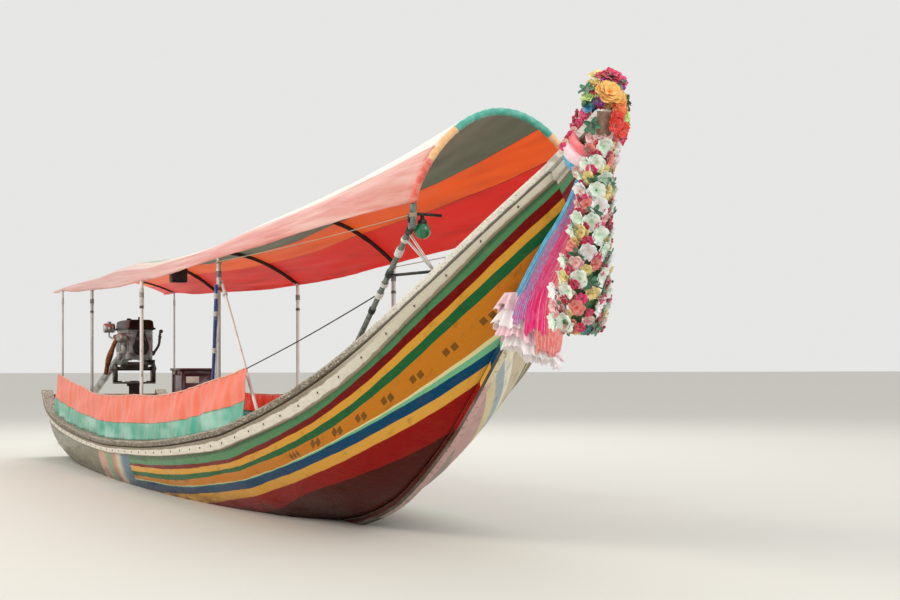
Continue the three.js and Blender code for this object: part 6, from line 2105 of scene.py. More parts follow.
finishes.update({
    # laid cord gone tan in the sun
    "tannedCord": {
        "Base Color": "#a8987c", "rough": (0.7, 0.9),
        "wear": [((9, 9, 9), 83.33, 0.5, 0.7, 0.5, "#d8ccb4")], "bumps": [((30, 30, 30), 111.1, 0.001)]},
    # hot-dip zinc on steel tube: dull grey, cloudy, streaked white
    "zincTube": {
        "Base Color": "#b4b4b0", "Metallic": 0.55, "rough": (0.38, 0.6),
        "wear": [((4, 4, 1), 166.7, 0.45, 0.7, 0.6, "#dcdcd8"), ((6, 6, 2), 125, 0.6, 0.72, 0.6, "#7d5f48")],
        "bumps": [((6, 6, 3), 33.33, 0.001)]},
    # the same tube where it arches under the cloth, coloured near black with greyer patches
    "nearBlackArcTube": {
        "Base Color": "#2e2b28", "rough": (0.6, 0.85),
        "wear": [((4, 4, 4), 111.1, 0.5, 0.7, 0.5, "#575049")], "bumps": [((5, 5, 5), 33.33, 0.001)]},
    # white enamel on tube, chipped to rust in small spots
    "whitePaintedTube": {
        "Base Color": "#e4e2dc", "rough": (0.3, 0.6),
        "wear": [((3, 3, 1.5), 125, 0.6, 0.7, 0.8, "#8d5a3c"), ((2, 2, 0.5), 250, 0.5, 0.8, 0.3, "#b9b4aa")],
        "bumps": [((3, 3, 3), 40, 0.001)]},
    # green-grey machine paint over steel, scuffed
    "greenGreyTube": {
        "Base Color": "#6c7a70", "Metallic": 0.2, "rough": (0.4, 0.65),
        "wear": [((5, 5, 5), 166.7, 0.48, 0.66, 0.7, "#3a3f3a"),
                 ((4, 4, 4), 125, 0.58, 0.7, 0.8, "#b9bcb2")], "bumps": [((5, 5, 5), 40, 0.0015)]},
    # deep blue enamel, chipped to its pale undercoat
    "bluePoleEnamel": {
        "Base Color": "#2b3f86", "Coat Weight": 0.2, "rough": (0.3, 0.55),
        "wear": [((4, 4, 2), 125, 0.58, 0.7, 0.8, "#c9cfd6"), ((3, 3, 1), 200, 0.5, 0.7, 0.5, "#1a2348")],
        "bumps": [((4, 4, 4), 40, 0.001)]},
    # galvanised clamp blackened with grease
    "blackClamp": {
        "Base Color": "#2a2c2a", "Metallic": 0.5, "rough": (0.4, 0.65),
        "wear": [((3, 3, 3), 83.33, 0.5, 0.7, 0.6, "#6f706a")], "bumps": [((3, 3, 3), 25, 0.001)]},
    # hard-laid twine soaked with tar
    "tarredTwine": {
        "Base Color": "#33302b", "rough": (0.7, 0.9),
        "wear": [((9, 9, 9), 83.33, 0.5, 0.7, 0.5, "#6a6459")], "bumps": [((30, 30, 30), 111.1, 0.001)]},
    # braided white cord, greyed
    "whiteBraid": {
        "Base Color": "#dedcd4", "rough": (0.7, 0.9),
        "wear": [((9, 9, 9), 111.1, 0.5, 0.7, 0.6, "#8f95a0")], "bumps": [((40, 40, 40), 111.1, 0.001)]},
    # pressed coloured glass of the side lights
    "greenLens": {
        "Base Color": "#0f7a48", "Coat Weight": 0.6, "Transmission Weight": 0.35, "rough": (0.06, 0.14),
        "wear": [((9, 9, 1), 166.7, 0.5, 0.62, 0.7, "#3fbf86")], "bumps": [((2, 2, 2), 45.45, 0.004)]},
    # the same glass in red, for the port side
    "redLens": {
        "Base Color": "#a51220", "Coat Weight": 0.6, "Transmission Weight": 0.35, "rough": (0.06, 0.14),
        "wear": [((9, 9, 1), 166.7, 0.5, 0.62, 0.7, "#e04a4a")], "bumps": [((2, 2, 2), 45.45, 0.004)]},
    # injection-moulded plastic with a fine leather grain
    "grainedBlackPlastic": {
        "Base Color": "#1d1c1b", "rough": (0.42, 0.62),
        "wear": [((3, 3, 3), 125, 0.5, 0.75, 0.4, "#57534c")], "bumps": [((1, 1, 1), 4.545, 0.0006)]},
})

buildHoops()
buildPropPoles()
buildSidePoles()
buildLamps()
buildSpeaker()
buildCurtainLines()
buildEdgeLines()
print("hoops, poles and lamps fitted")

# engine on its turret; the yoke turns with the swivel, the rest tilts with the engine

pivot = {"x": -3.000, "z": 1.120}
turret = {
    "base": 0.420, "plate": 0.016, "post": 0.062, "top": 0.940, "reach": 0.252, "foot": 0.020, "head": 0.180,
    "brace": 0.016, "bolts": ((-0.05, 0.012), (0.012, -0.05)),
}
yoke = {
    "disc": 0.150, "thick": 0.022, "half": 0.205, "arm": 0.040, "long": 0.120, "ears": 0.060, "axle": 0.024,
    "past": 0.018,
}
cradle = {"inner": 0.110, "outer": 0.160}
motor = {
    "front": -2.640, "rear": -3.300, "half": 0.150, "bottom": 1.225, "top": 1.575, "crank": 1.370,
    "feet": (-3.22, -2.72),
    # height, then how far in from the rear, the front and the sides
    "levels": [
        (1.225, 0.064, 0.054, 0.056), (1.229, 0.06, 0.05, 0.052), (1.245, 0.05, 0.04, 0.045),
        (1.300, 0.02, 0.02, 0.032), (1.304, 0.004, 0.004, 0.012), (1.318, 0.004, 0.004, 0.012),
        (1.322, 0.02, 0.014, 0.022), (1.400, 0.012, 0.010, 0.020), (1.488, 0.012, 0.010, 0.014),
        (1.492, 0.002, 0.002, 0.003), (1.506, 0, 0, 0), (1.510, 0.006, 0.006, 0.008),
        (1.560, 0.006, 0.006, 0.008), (1.564, 0, 0, 0), (1.573, 0, 0, 0), (1.575, 0.003, 0.003, 0.003),
    ],
    "corePlug": [(0, 0.026), (0.004, 0.026), (0.002, 0.020), (0.001, 0.0)],
    "union": [(0, 0.010), (0.014, 0.010), (0.016, 0.006), (0.030, 0.006)],
    "filter": [(0, 0.030), (0.004, 0.036), (0.095, 0.036), (0.104, 0.030), (0.104, 0.012)],
}
cover = {
    "front": -2.560, "rear": -3.390, "half": 0.165, "top": 1.690,
    "foot": [(0, 0.012, 0.012, 0.008), (0.004, 0, 0, 0), (0.020, 0, 0, 0), (0.024, 0.016, 0.016, 0.018)],
    "crown": [(-0.022, 0.022, 0.022, 0.026), (-0.006, 0.032, 0.032, 0.038), (0, 0.050, 0.050, 0.058)],
    "knob": [(-0.002, 0.026), (0, 0.028), (0.005, 0.028), (0.008, 0.025), (0.012, 0.028), (0.028, 0.028),
             (0.034, 0.022), (0.034, 0.006)],
}
gearbox = {
    "flange": [(gap, 0.146), (0.004, 0.150), (0.024, 0.150), (0.027, 0.142), (0.032, 0.142), (0.034, 0.150),
               (0.056, 0.150), (0.060, 0.145), (0.060, 0.10)],
    "cone": [(0.45, 0.092), (0.5, 0.096), (0.56, 0.096), (0.6, 0.080), (1, 0.060)],   # by share of its length
    "mouth": [(0, 0.066), (0.004, 0.072), (0.036, 0.072), (0.040, 0.068), (0.040, 0.045)],
    "filler": [(0, 0.016), (0.012, 0.016), (0.014, 0.013), (0.024, 0.013), (0.026, 0.008)],
}
pulleys = {
    "big": 0.086, "small": 0.044, "rise": 0.150,
    "crank": [(gap, 0.060), (0.004, 0.088), (0.006, 0.095), (0.014, 0.095), (0.020, 0.080), (0.026, 0.080),
              (0.032, 0.095), (0.041, 0.095), (0.045, 0.090), (0.040, 0.070), (0.040, 0.026), (0.045, 0.022),
              (0.045, 0.004)],
    "pump": [(0.002, 0.030), (0.004, 0.046), (0.012, 0.048), (0.018, 0.040), (0.024, 0.040), (0.030, 0.048),
             (0.036, 0.048), (0.040, 0.044), (0.040, 0.005)],
    "belt": ((-0.007, 0.006), (0.007, 0.006), (0.005, -0.005), (-0.005, -0.005)),
}
alternator = {
    "case": [(-0.120, 0.030), (-0.118, 0.048), (-0.104, 0.057), (-0.070, 0.058), (-0.066, 0.055),
             (-0.014, 0.055),
             (-0.010, 0.058), (0.008, 0.057), (0.016, 0.046), (0.018, 0.022), (0.022, 0.022), (0.024, 0.036),
             (0.028, 0.038), (0.032, 0.030), (0.036, 0.038), (0.040, 0.036), (0.040, 0.006)],
}
tank = {
    "at": (-3.330, 1.605), "radius": 0.055,
    "drum": [(0, 0.040), (0.002, 0.050), (0.010, 0.055), (0.060, 0.055), (0.062, 0.0562), (0.068, 0.0562),
             (0.070, 0.055), (0.126, 0.055), (0.133, 0.049), (0.135, 0.030), (0.135, 0.004)],
    "filler": [(0, 0.020), (0.012, 0.020), (0.013, 0.027), (0.024, 0.027), (0.027, 0.022), (0.027, 0.004)],
}
exhaust = {
    "height": 1.500, "port": [(0, 0.034), (0.008, 0.034), (0.010, 0.022), (0.030, 0.024)],
    "path": [(-2.900, -0.190, 1.500), (-2.960, -0.240, 1.420), (-3.120, -0.280, 1.220),
             (-3.230, -0.290, 1.060)],
}
tiller = {
    "radius": 0.015, "root": (-2.800, 1.300),
    "path": [(-2.800, 0.185, 1.300), (-2.580, 0.200, 1.400), (-2.150, 0.120, 1.530), (-1.830, 0.060, 1.540)],
}
tailLine = {
    "x": -3.590, "z": 1.340, "slope": math.radians(16), "length": 5.480, "radius": 0.038,
    "root": [(gap, 0.046), (0.004, 0.056), (0.060, 0.056), (0.064, 0.052), (0.120, 0.052), (0.124, 0.056),
             (0.186, 0.056), (0.190, 0.050)],
    # from here on, distances back from the tail's end
    "bearing": [(0.298, 0.045), (0.292, 0.048), (0.200, 0.048), (0.192, 0.043), (0.158, 0.040),
                (0.150, 0.034),
                (0.150, 0.025)],
    "skeg": [(0.186, -0.120), (0.174, -0.222), (0.182, -0.230), (0.36, -0.214), (0.424, -0.200),
             (0.436, -0.185)],
}
stay = [(0.45, -0.004), (0.60, 0.028), (1.6, 0.040), (2.9, 0.036), (3.9, -0.004)]   # the rod above the tail
prop = {
    "long": 0.120, "middle": 0.060, "pitch": 0.16, "root": 0.028, "tip": 0.165, "half": 0.060,
    "rootHalf": 0.026, "broadest": 0.52,
    "hub": [(0.0005, 0.028), (0.004, 0.033), (0.012, 0.034), (0.070, 0.034), (0.088, 0.030), (0.092, 0.024),
            (0.108, 0.024), (0.114, 0.018), (0.119, 0.012), (0.120, 0.004)],
}


def onTail(distance, y=0.0, above=0.0):
    c, s = math.cos(tailLine["slope"]), math.sin(tailLine["slope"])
    return Vector((tailLine["x"] - distance * c - above * s, y, tailLine["z"] - distance * s + above * c))


def beforeEnd(distance, y=0.0, above=0.0):
    return onTail(tailLine["length"] - distance, y, above)


tailAxis = onTail(1.0) - onTail(0.0)


def boltRing(centre, axis, radius, count, size=0.008, tall=0.007, turn=0.0):
    out = squareTo(axis)[1]
    return [hexBolt(Vector(centre) + out(angle) * radius, axis, size, tall) for angle in turns(count, turn)]


def buildTurret():
    t, x, low = turret, pivot["x"], decks["stern"]["top"] + gap
    plate = low + t["plate"]
    tall, post = t["top"] - plate, t["post"]
    profile = [(0, 0.088), (0.010, 0.088), (0.022, post + 0.004), (0.030, post), (tall - 0.03, post),
               (tall - 0.026, 0.086), (tall - 0.003, 0.088), (tall, 0.085)]
    parts = [pad(x, 0, t["base"] / 2, t["base"] / 2, low, plate, 0.005),
             turned(profile, (x, 0, plate), (0, 0, 1), 32)]
    for angle in turns(4, math.pi / 4):
        c, s = math.cos(angle), math.sin(angle)
        foot = Vector((x + t["reach"] * c, t["reach"] * s, low + t["foot"]))
        top = Vector((x + post * 0.6 * c, post * 0.6 * s, t["top"] - t["head"]))
        parts += [tube([foot, foot.lerp(top, 0.5), top], t["brace"], 16),
                  pad(foot.x, foot.y, 0.026, 0.026, plate - 0.001, plate + 0.008, 0.002)]
        for dx, dy in t["bolts"]:
            spot = (foot.x + math.copysign(dx, c * dx), foot.y + math.copysign(dy, s * dy), plate)
            parts.append(hexBolt(spot, (0, 0, 1), 0.010, 0.008))
    piece = joined("turret_frame", parts, "greasySteel")
    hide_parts("engine_turret")


def buildYoke():
    y, x, low = yoke, pivot["x"], turret["top"] + gap
    thick, disc, high = y["thick"], y["disc"], low + y["thick"]
    outer, bore, reach = y["half"] + y["arm"], y["axle"] + gap, y["long"] / 2
    profile = [(0, disc - 0.004), (0.004, disc), (thick - 0.005, disc), (thick, disc - 0.005), (thick, 0.06),
              (thick + 0.012, 0.055), (thick + 0.014, 0.02)]
    boss = [(0, bore), (0, 0.044), (0.006, 0.044), (0.009, 0.040), (0.009, bore)]
    parts = [turned(profile, (x, 0, low), (0, 0, 1), 48)]
    parts += boltRing((x, 0, high), (0, 0, 1), 0.100, 6, 0.010, 0.008, 0.3)
    parts.append(easedBrick((x - reach, -outer, low + 0.001), (x + reach, outer, high - 0.0015), 0.004))
    for side in (-1, 1):
        outline = [(x - reach, high - 0.001), (x + reach, high - 0.001), (x + reach, pivot["z"] - 0.01)]
        for angle in spread(0, math.pi, 9):
            outline.append((x + reach * math.cos(angle), pivot["z"] + y["ears"] * math.sin(angle)))
        outline.append((x - reach, pivot["z"] - 0.01))
        inner = [(x + bore * math.cos(angle), pivot["z"] + bore * math.sin(angle)) for angle in turns(24)]
        parts.append(platePierced(outline, inner, *sorted((side * y["half"], side * outer))))
        parts.append(easedBrick((x - 0.008, side * (y["half"] - 0.060), high - 0.001),
                                (x + 0.008, side * (y["half"] + 0.001), high + 0.012), 0.002))
        parts.append(turned(boss, (x, side * outer, pivot["z"]), (0, side, 0), 32))
    piece = joined("yoke_fork", parts, "greasySteel", "swivel")
    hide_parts("swivel_yoke")


def platePierced(outline, inner, y0, y1):
    # a plate standing in the x-z plane with one round hole
    mesh = bmesh.new()
    loops = []
    for ring in (outline, inner):
        verts = [mesh.verts.new((p[0], y0, p[1])) for p in ring]
        edges = [mesh.edges.new((verts[k], verts[(k + 1) % len(verts)])) for k in range(len(verts))]
        loops += edges
    bmesh.ops.triangle_fill(mesh, use_beauty=True, use_dissolve=False, edges=loops)
    flat = list(mesh.faces)
    grown = bmesh.ops.extrude_face_region(mesh, geom=flat)
    for v in grown["geom"]:
        if isinstance(v, bmesh.types.BMVert):
            v.co.y = y1
    bmesh.ops.recalc_face_normals(mesh, faces=list(mesh.faces))
    mesh.verts.index_update()
    points = [v.co.copy() for v in mesh.verts]
    faces = [tuple(v.index for v in f.verts) for f in mesh.faces]
    mesh.free()
    return points, faces


def buildCradle():
    m, x, z = motor, pivot["x"], pivot["z"]
    low, bottom, wall = z + 0.040, m["bottom"] - gap, 0.008
    inner, outer, parts = cradle["inner"], cradle["outer"], []
    ring = [(outer, low), (outer, bottom), (inner, bottom), (inner, bottom - wall),
            (outer - wall, bottom - wall),
            (outer - wall, low + wall), (inner, low + wall), (inner, low)]
    for side in (-1, 1):
        parts.append(lofted([[Vector((end, side * p[0], p[1])) for p in ring[::side]]
                             for end in (m["rear"] - 0.03, m["front"] + 0.04)]))
        for foot in m["feet"]:
            parts += [pad(foot, side * 0.135, 0.035, 0.024, bottom - 0.010, bottom + 0.0003),
                      hexBolt((foot, side * 0.168, (low + bottom) / 2), (0, side, 0), 0.010, 0.009)]
    for at in (m["rear"] + 0.060, x, m["front"] - 0.060):
        parts.append(pad(at, 0, 0.030, 0.151, low, low + 0.040))
    end, axle = yoke["half"] + yoke["arm"] + yoke["past"], yoke["axle"]
    parts.append(turned([(-end, 0.018), (-end + 0.004, axle), (end - 0.004, axle), (end, 0.018)], (x, 0, z),
                        (0, 1, 0), 32))
    for side in (-1, 1):
        parts.append(pad(x, side * 0.135, 0.040, 0.025, z - 0.010, low + 0.005, 0.005))
    parts.append(pad(x, 0, 0.034, 0.12, z + 0.012, low + 0.004, 0.005))
    piece = joined("cradle_channels", parts, "greasySteel", "engine")
    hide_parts("engine_cradle")


def castBlock(levels, rear, front, half, ease=0.012):
    # a casting lofted up through levels of (z, in from the rear, from the front and from the sides)
    rings = []
    for z, fromRear, fromFront, fromSide in levels:
        x0, x1, y = rear + fromRear, front - fromFront, half - fromSide
        ring = roundedRing([(x0, -y), (x1, -y), (x1, y), (x0, y)], ease, 3)
        rings.append([Vector((p[0], p[1], z)) for p in ring])
    return lofted(rings)


def buildBlock():
    m = motor
    r, h = m["rear"], m["half"]
    parts = [castBlock(m["levels"], r, m["front"], h)]
    for side in (-1, 1):
        for k in range(4):
            x = r + 0.105 + k * 0.150
            parts += [turned(m["corePlug"], (x, side * (h - 0.0195), 1.385), (0, side, 0), 20),
                      easedBrick((x + 0.066, side * (h - 0.010) - 0.010, 1.325),
                                 (x + 0.080, side * (h - 0.010) + 0.008, 1.488), 0.003)]
        for k in range(7):
            parts.append(hexBolt((r + 0.06 + k * 0.09, side * (h - 0.014), 1.311), (0, side, 0), 0.007,
                                 0.007))
        for x in m["feet"]:
            parts.append(pad(x, side * 0.128, 0.040, 0.020, m["bottom"], m["bottom"] + 0.10, 0.006))
    # fuel pump and its lines on the port side, filter on the starboard
    parts.append(easedBrick((-3.06, h - 0.016, 1.420), (-2.86, h + 0.045, 1.475), 0.010))
    for k in range(4):
        x = -3.03 + k * 0.046
        parts.append(turned(m["union"], (x, h + 0.018, 1.475), (0, 0, 1), 12))
        start, end = Vector((x, h + 0.018, 1.500)), Vector((r + 0.105 + k * 0.150, h - 0.005, 1.540))
        route = [start, start + Vector((0, 0.006, 0.022)), end + Vector((0, 0.026, 0.002)), end]
        parts.append(tube(smoothPath(route, 5), 0.0032, 8))
    parts.append(turned(m["filter"], (-2.745, -h - 0.022, 1.300), (0, 0, 1), 24))
    parts.append(easedBrick((-2.775, -h - 0.03, 1.400), (-2.715, -h + 0.03, 1.440), 0.006))
    piece = joined("block_casting", parts, "oilyGreyIron", "engine")
    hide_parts("engine_block")


def buildCover():
    c, h = cover, cover["half"]
    low, top = motor["top"] + gap, c["top"]
    levels = [(low + rise, *inset)
              for rise, *inset in c["foot"]] + [(top + rise, *inset) for rise, *inset in c["crown"]]
    parts = [castBlock(levels, c["rear"], c["front"], h, 0.026)]
    for k, x in enumerate(spread(c["rear"] + 0.13, c["front"] - 0.13, 9)):
        parts.append(pad(x, 0, 0.006, h - 0.055, top - 0.004, top + 0.004, 0.002))
        if k % 2 == 0:
            parts += [hexBolt((x, side * (h - 0.012), low + 0.020), (0, 0, 1), 0.008, 0.008)
                      for side in (-1, 1)]
    parts += [turned(c["knob"], (x, 0, top), (0, 0, 1), 14) for x in (c["rear"] + 0.090, c["front"] - 0.090)]
    piece = joined("rocker_cover", parts, "satinBlackEnamel", "engine")
    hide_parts("valve_cover")


def buildGearbox():
    rear, z = motor["rear"], motor["crank"]
    start = Vector((rear - 0.059, 0, z))
    axis = onTail(-0.018) - start
    out = squareTo(axis)[1]
    parts = [turned(gearbox["flange"], (rear, 0, z), (-1, 0, 0), 40)]
    parts += boltRing(start, (-1, 0, 0), 0.136, 10, 0.009, 0.008)
    cone = [(0, 0.104), (0.02, 0.105)] + [(share * axis.length, radius) for share, radius in gearbox["cone"]]
    parts.append(turned(cone, start, axis, 32))
    for angle in turns(8):
        a, b = start + out(angle) * 0.100 + axis * 0.04, start + out(angle) * 0.088 + axis * 0.46
        parts.append(tube([a, a.lerp(b, 0.5), b], 0.007, 8))
    parts.append(turned(gearbox["mouth"], onTail(-0.040), tailAxis, 32))
    parts += boltRing(onTail(-0.040), -tailAxis, 0.062, 6, 0.0075, 0.006)
    parts.append(turned(gearbox["filler"], start + axis * 0.3 + Vector((0, 0, 0.085)), (0.1, 0, 1), 12))
    piece = joined("gearbox_casting", parts, "oilyGreyIron", "engine")
    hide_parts("gearbox")


def buildPulleys():
    p, x, z = pulleys, motor["front"], motor["crank"]
    parts = [turned(p["crank"], (x, 0, z), (1, 0, 0), 40),
             turned(p["pump"], (x, 0, z + p["rise"]), (1, 0, 0), 32)]
    parts += boltRing((x + 0.040, 0, z + p["rise"]), (1, 0, 0), 0.026, 4, 0.007, 0.005)
    # the belt runs round both pulleys as one closed band
    lean, mids = math.asin((p["big"] - p["small"]) / p["rise"]), []
    for radius, height, low, high, count in ((p["big"], 0, math.pi - lean, 2 * math.pi + lean, 17),
                                             (p["small"], p["rise"], lean, math.pi - lean, 11)):
        mids += [Vector((0, radius * math.cos(a), z + height + radius * math.sin(a)))
                 for a in spread(low, high, count)]
    rows = []
    for k, mid in enumerate(mids):
        along = (mids[(k + 1) % len(mids)] - mids[k - 1]).normalized()
        out = Vector((1, 0, 0)).cross(along) * -1
        rows += [mid + Vector((x + 0.023 + dx, 0, 0)) + out * dr for dx, dr in p["belt"]]
    parts.append((rows, closedFaces(len(mids), len(p["belt"]))))
    piece = joined("belt_drive", parts, "satinBlackEnamel", "engine")
    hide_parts("crank_pulley")


def buildAlternator():
    x, y, z, wall = motor["front"], -motor["half"] - 0.062, motor["crank"] + 0.110, -motor["half"]
    parts = [turned(alternator["case"], (x, y, z), (1, 0, 0), 32)]
    for angle in turns(16):   # cooling ribs
        a = Vector((x - 0.100, y, z)) + Vector((0, math.cos(angle), math.sin(angle))) * 0.056
        parts.append(tube([a, a + Vector((0.026, 0, 0))], 0.0032, 6))
    parts.append(easedBrick((x - 0.090, wall - 0.030, z - 0.015), (x - 0.060, wall + 0.022, z + 0.015),
                            0.004))
    parts.append(easedBrick((x - 0.012, y + 0.02, z + 0.040), (x - 0.004, wall + 0.03, z + 0.062), 0.003))
    piece = joined("alternator_case", parts, "dustyAluminium", "engine")
    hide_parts("alternator")


def buildTank():
    (x, z), r, y = tank["at"], tank["radius"], -cover["half"] - gap
    hose = [(x, y - 0.065, z - r + 0.004), (x, y - 0.065, z - 0.10), (x + 0.03, y - 0.01, 1.47),
            (x + 0.08, -motor["half"] + 0.005, 1.45)]
    parts = [turned(tank["drum"], (x, y, z), (0, -1, 0), 40),
             turned(tank["filler"], (x, y - 0.065, z + r - 0.004), (0, 0, 1), 20),
             collar((x, y - 0.03, z), (0, 1, 0), r + 0.0004, 0.014, 0.002),
             collar((x, y - 0.105, z), (0, 1, 0), r + 0.0004, 0.014, 0.002),
             tube(smoothPath(hose, 6), 0.011, 12)]
    piece = joined("header_tank", parts, "drawnSteel", "engine")
    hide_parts("coolant_tank")


def buildExhaust():
    h, z = motor["half"], exhaust["height"]
    path = smoothPath(exhaust["path"], 6)
    manifold = [(x, -h - 0.032, z) for x in (-3.220, -3.216, -2.804, -2.800)]
    parts = [tube(manifold, [0.020, 0.027, 0.027, 0.020], 20)]
    for k in range(4):
        x = motor["rear"] + 0.105 + k * 0.135
        parts.append(turned(exhaust["port"], (x, -h - gap, z), (0, -1, 0), 20))
        for dx in (-0.027, 0.027):
            parts.append(hexBolt((x + dx, -h - 0.008, z + dx * 0.6), (0, -1, 0), 0.006, 0.008))
    mid = len(path) * 3 // 5
    parts += [tube(path, 0.026, 20), collar(path[1], path[3] - path[1], 0.027, 0.024, 0.008),
              tube([path[mid + k] for k in (-3, -1, 1, 3)], [0.027, 0.036, 0.036, 0.027], 20)]
    piece = joined("exhaust_pipe", parts, "scaledIron", "engine")
    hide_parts("exhaust")


def buildTiller():
    path, h, (x, z) = smoothPath(tiller["path"], 8), motor["half"], tiller["root"]
    lever = Vector(path[-12])
    cable = [lever + Vector(step) for step in ((0, -0.01, -0.012), (0.05, -0.030, -0.040),
                                               (0.13, -0.034, -0.035))]
    parts = [tube(path, tiller["radius"], 18),
             easedBrick((x - 0.040, h - 0.008, z - 0.030), (x + 0.040, h + 0.030, z + 0.030), 0.004),
             collar(path[0] + (path[1] - path[0]) * 0.3, path[1] - path[0], 0.0155, 0.05, 0.005)]
    parts += [hexBolt((x + dx, h + 0.030, z), (0, 1, 0), 0.008, 0.007) for dx in (-0.026, 0.026)]
    parts += [collar(lever, path[-11] - path[-12], 0.0155, 0.022, 0.005),
              tube(smoothPath(cable, 4), 0.0045, 10)]
    bar = joined("steering_bar", parts, "greasySteel", "engine")
    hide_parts("tiller")
    grip = [(-0.150, 0.0155), (-0.149, 0.020)]
    for k in range(10):   # moulded rings
        grip += [(-0.142 + k * 0.014, 0.0205), (-0.136 + k * 0.014, 0.0180)]
    grip += [(-0.001, 0.0195), (0.0, 0.010)]
    joined("tiller_grip", [turned(grip, path[-1], path[-1] - path[-4], 20)], "grainedBlackPlastic",
           "engine")


def buildTail():
    length, r = tailLine["length"], tailLine["radius"]
    sleeves = [([(d, r) for d in (0.070, 0.6, 1.4, 2.6, 4.0, length - 0.262)]
                + [(length - 0.260, r - 0.003)], 28),
               (tailLine["root"] + [(0.190, r)], 28),
               ([(length - 0.300, r)] + [(length - back, radius) for back, radius in tailLine["bearing"]],
                28),
               ([(length - 0.160, 0.025), (length - 0.122, 0.025), (length - 0.120, 0.023)], 20)]
    parts = [turned(profile, onTail(0), tailAxis, sides) for profile, sides in sleeves]
    parts += [collar(onTail(d), tailAxis, r + 0.0004, 0.05, 0.005) for d in (1.25, 2.55, 3.85)]
    parts += boltRing(onTail(0.158), onTail(0.158, 0, 0.1) - onTail(0.158), 0.0, 1, 0.008, 0.06)
    # the rod above the tube that stiffens a long tail, on its posts
    rod = [onTail(d, 0, r + above) for d, above in stay]
    parts.append(tube(smoothPath(rod, 8), 0.006, 10))
    parts += [tube([onTail(d, 0, r - 0.006), onTail(d, 0, r + 0.036)], 0.006, 8) for d in (1.1, 2.1, 3.1)]
    outline = [(0.480, 0.008 - r), (0.200, 0.008 - r)] + tailLine["skeg"]
    outline += [(mix(0.446, 0.472, t), mix(-0.14, -0.05, t)) for t in (0, 0.5, 1)]
    plates = [beforeEnd(d, y, above) for y in (-0.005, 0.005) for d, above in outline]
    n = len(outline)
    faces = [tuple(range(n)), tuple(range(2 * n - 1, n - 1, -1))]
    parts.append((plates, faces + [(k, k + n, (k + 1) % n + n, (k + 1) % n) for k in range(n)]))
    piece = joined("tail_shaft_tube", parts, "wornTailSteel", "engine")
    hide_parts("tail_tube")


def buildPropeller():
    p, along, side = prop, tailAxis.normalized(), Vector((0, 1, 0))
    up = side.cross(along).normalized()
    parts = [turned(p["hub"], beforeEnd(p["long"]), tailAxis, 28)]
    for turn in turns(3):
        rows, spin = [], Matrix.Rotation(turn, 4, along)
        for t in spread(0, 1, 15):
            r = mix(p["root"], p["tip"], t)
            if t > p["broadest"]:
                half = p["half"] * math.sqrt(max(1 - ((t - p["broadest"]) / 0.5) ** 2, 0.02))
            else:
                half = mix(p["rootHalf"], p["half"], math.sin(t / p["broadest"] * math.pi / 2))
            angle = math.atan(p["pitch"] / (2 * math.pi * max(r, 0.04)) * 2.2)
            c, s, thick = math.cos(angle), math.sin(angle), mix(0.007, 0.002, t)
            ring = []
            for a in turns(16):
                w, h = half * math.cos(a) + 0.010 * t, thick * math.sin(a)
                offset = side * (w * c) + along * (w * s) + (along * c - side * s) * h
                ring.append(beforeEnd(p["middle"]) + spin @ (up * r + offset))
            rows.append(ring)
        parts.append(lofted(rows))
    parts.append(tube([beforeEnd(0.020, -0.030), beforeEnd(0.020, 0.030)], 0.0035, 8))
    piece = joined("propeller_casting", parts, "polishedBronze", "propeller")
    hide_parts("propeller")


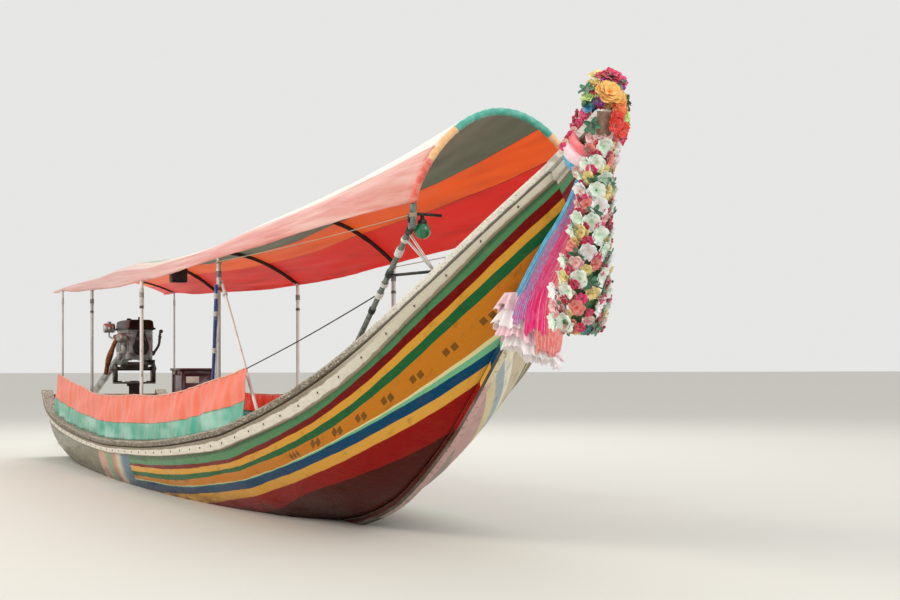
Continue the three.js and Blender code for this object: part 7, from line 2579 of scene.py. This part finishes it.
finishes.update({
    # mild steel under worn grey-brown paint, smeared with grease
    "greasySteel": {
        "Base Color": "#54524c", "Metallic": 0.35, "rough": (0.35, 0.7),
        "wear": [((3, 3, 3), 166.7, 0.45, 0.7, 0.7, "#2b2825"),
                 ((5, 5, 5), 111.1, 0.62, 0.72, 0.8, "#7d5236"),
                 ((2, 2, 2), 71.43, 0.66, 0.74, 0.6, "#a3a09a")], "bumps": [((4, 4, 4), 45.45, 0.002)]},
    # cast iron under light grey engine enamel, sand-cast grain and oil runs
    "oilyGreyIron": {
        "Base Color": "#a9adad", "Metallic": 0.15, "rough": (0.35, 0.65),
        "wear": [((2, 2, 5), 200, 0.5, 0.72, 0.7, "#5c564c"), ((3, 3, 7), 142.9, 0.6, 0.7, 0.8, "#2c2722"),
                 ((6, 6, 6), 100, 0.66, 0.74, 0.7, "#8a5332")],
        "bumps": [((5, 5, 5), 16.67, 0.0015), ((2, 2, 2), 83.33, 0.002)]},
    # satin black enamel on pressed steel, dust in its corners
    "satinBlackEnamel": {
        "Base Color": "#19110d", "Specular IOR Level": 0.3, "rough": (0.35, 0.6),
        "wear": [((2, 2, 2), 142.9, 0.5, 0.75, 0.4, "#4a382c"),
                 ((4, 4, 4), 83.33, 0.68, 0.76, 0.6, "#7c7468")], "bumps": [((3, 3, 3), 33.33, 0.001)]},
    # die-cast aluminium, dull with road dust and oil
    "dustyAluminium": {
        "Base Color": "#a6a6a2", "Metallic": 0.8, "rough": (0.42, 0.66),
        "wear": [((3, 3, 3), 111.1, 0.48, 0.7, 0.7, "#5a5650")], "bumps": [((5, 5, 5), 20, 0.001)]},
    # rolled stainless sheet, faintly brushed round the drum
    "drawnSteel": {
        "Base Color": "#c6c7c6", "Metallic": 0.9, "rough": (0.24, 0.46),
        "wear": [((20, 2, 20), 166.7, 0.45, 0.7, 0.4, "#8d8c88")], "bumps": [((40, 4, 40), 100, 0.0006)]},
    # hot iron scaled to orange and brown rust
    "scaledIron": {
        "Base Color": "#9a5a34", "Metallic": 0.1, "rough": (0.75, 0.95),
        "wear": [((4, 4, 4), 125, 0.45, 0.65, 0.8, "#5b3522"),
                 ((7, 7, 7), 111.1, 0.55, 0.7, 0.7, "#c07a45")], "bumps": [((5, 5, 5), 25, 0.003)]},
    # steel water pipe, zinc worn through to rust along its underside and joints
    "wornTailSteel": {
        "Base Color": "#9ea09e", "Metallic": 0.5, "rough": (0.36, 0.72),
        "wear": [((1.5, 6, 6), 250, 0.48, 0.68, 0.7, "#6e5a48"),
                 ((3, 6, 6), 111.1, 0.6, 0.7, 0.8, "#8a4c2c"),
                 ((1, 4, 4), 166.7, 0.6, 0.75, 0.5, "#d4d4d0")], "bumps": [((3, 6, 6), 33.33, 0.0012)]},
    # cast manganese bronze, bright on the blades and brown at the boss
    "polishedBronze": {
        "Base Color": "#b58a4a", "Metallic": 0.95, "rough": (0.2, 0.45),
        "wear": [((5, 5, 5), 100, 0.48, 0.7, 0.6, "#6c4d28")], "bumps": [((6, 6, 6), 25, 0.0008)]},
})

buildTurret()
buildYoke()
buildCradle()
buildBlock()
buildCover()
buildGearbox()
buildPulleys()
buildAlternator()
buildTank()
buildExhaust()
buildTiller()
buildTail()
buildPropeller()
print("engine, tail and propeller built")
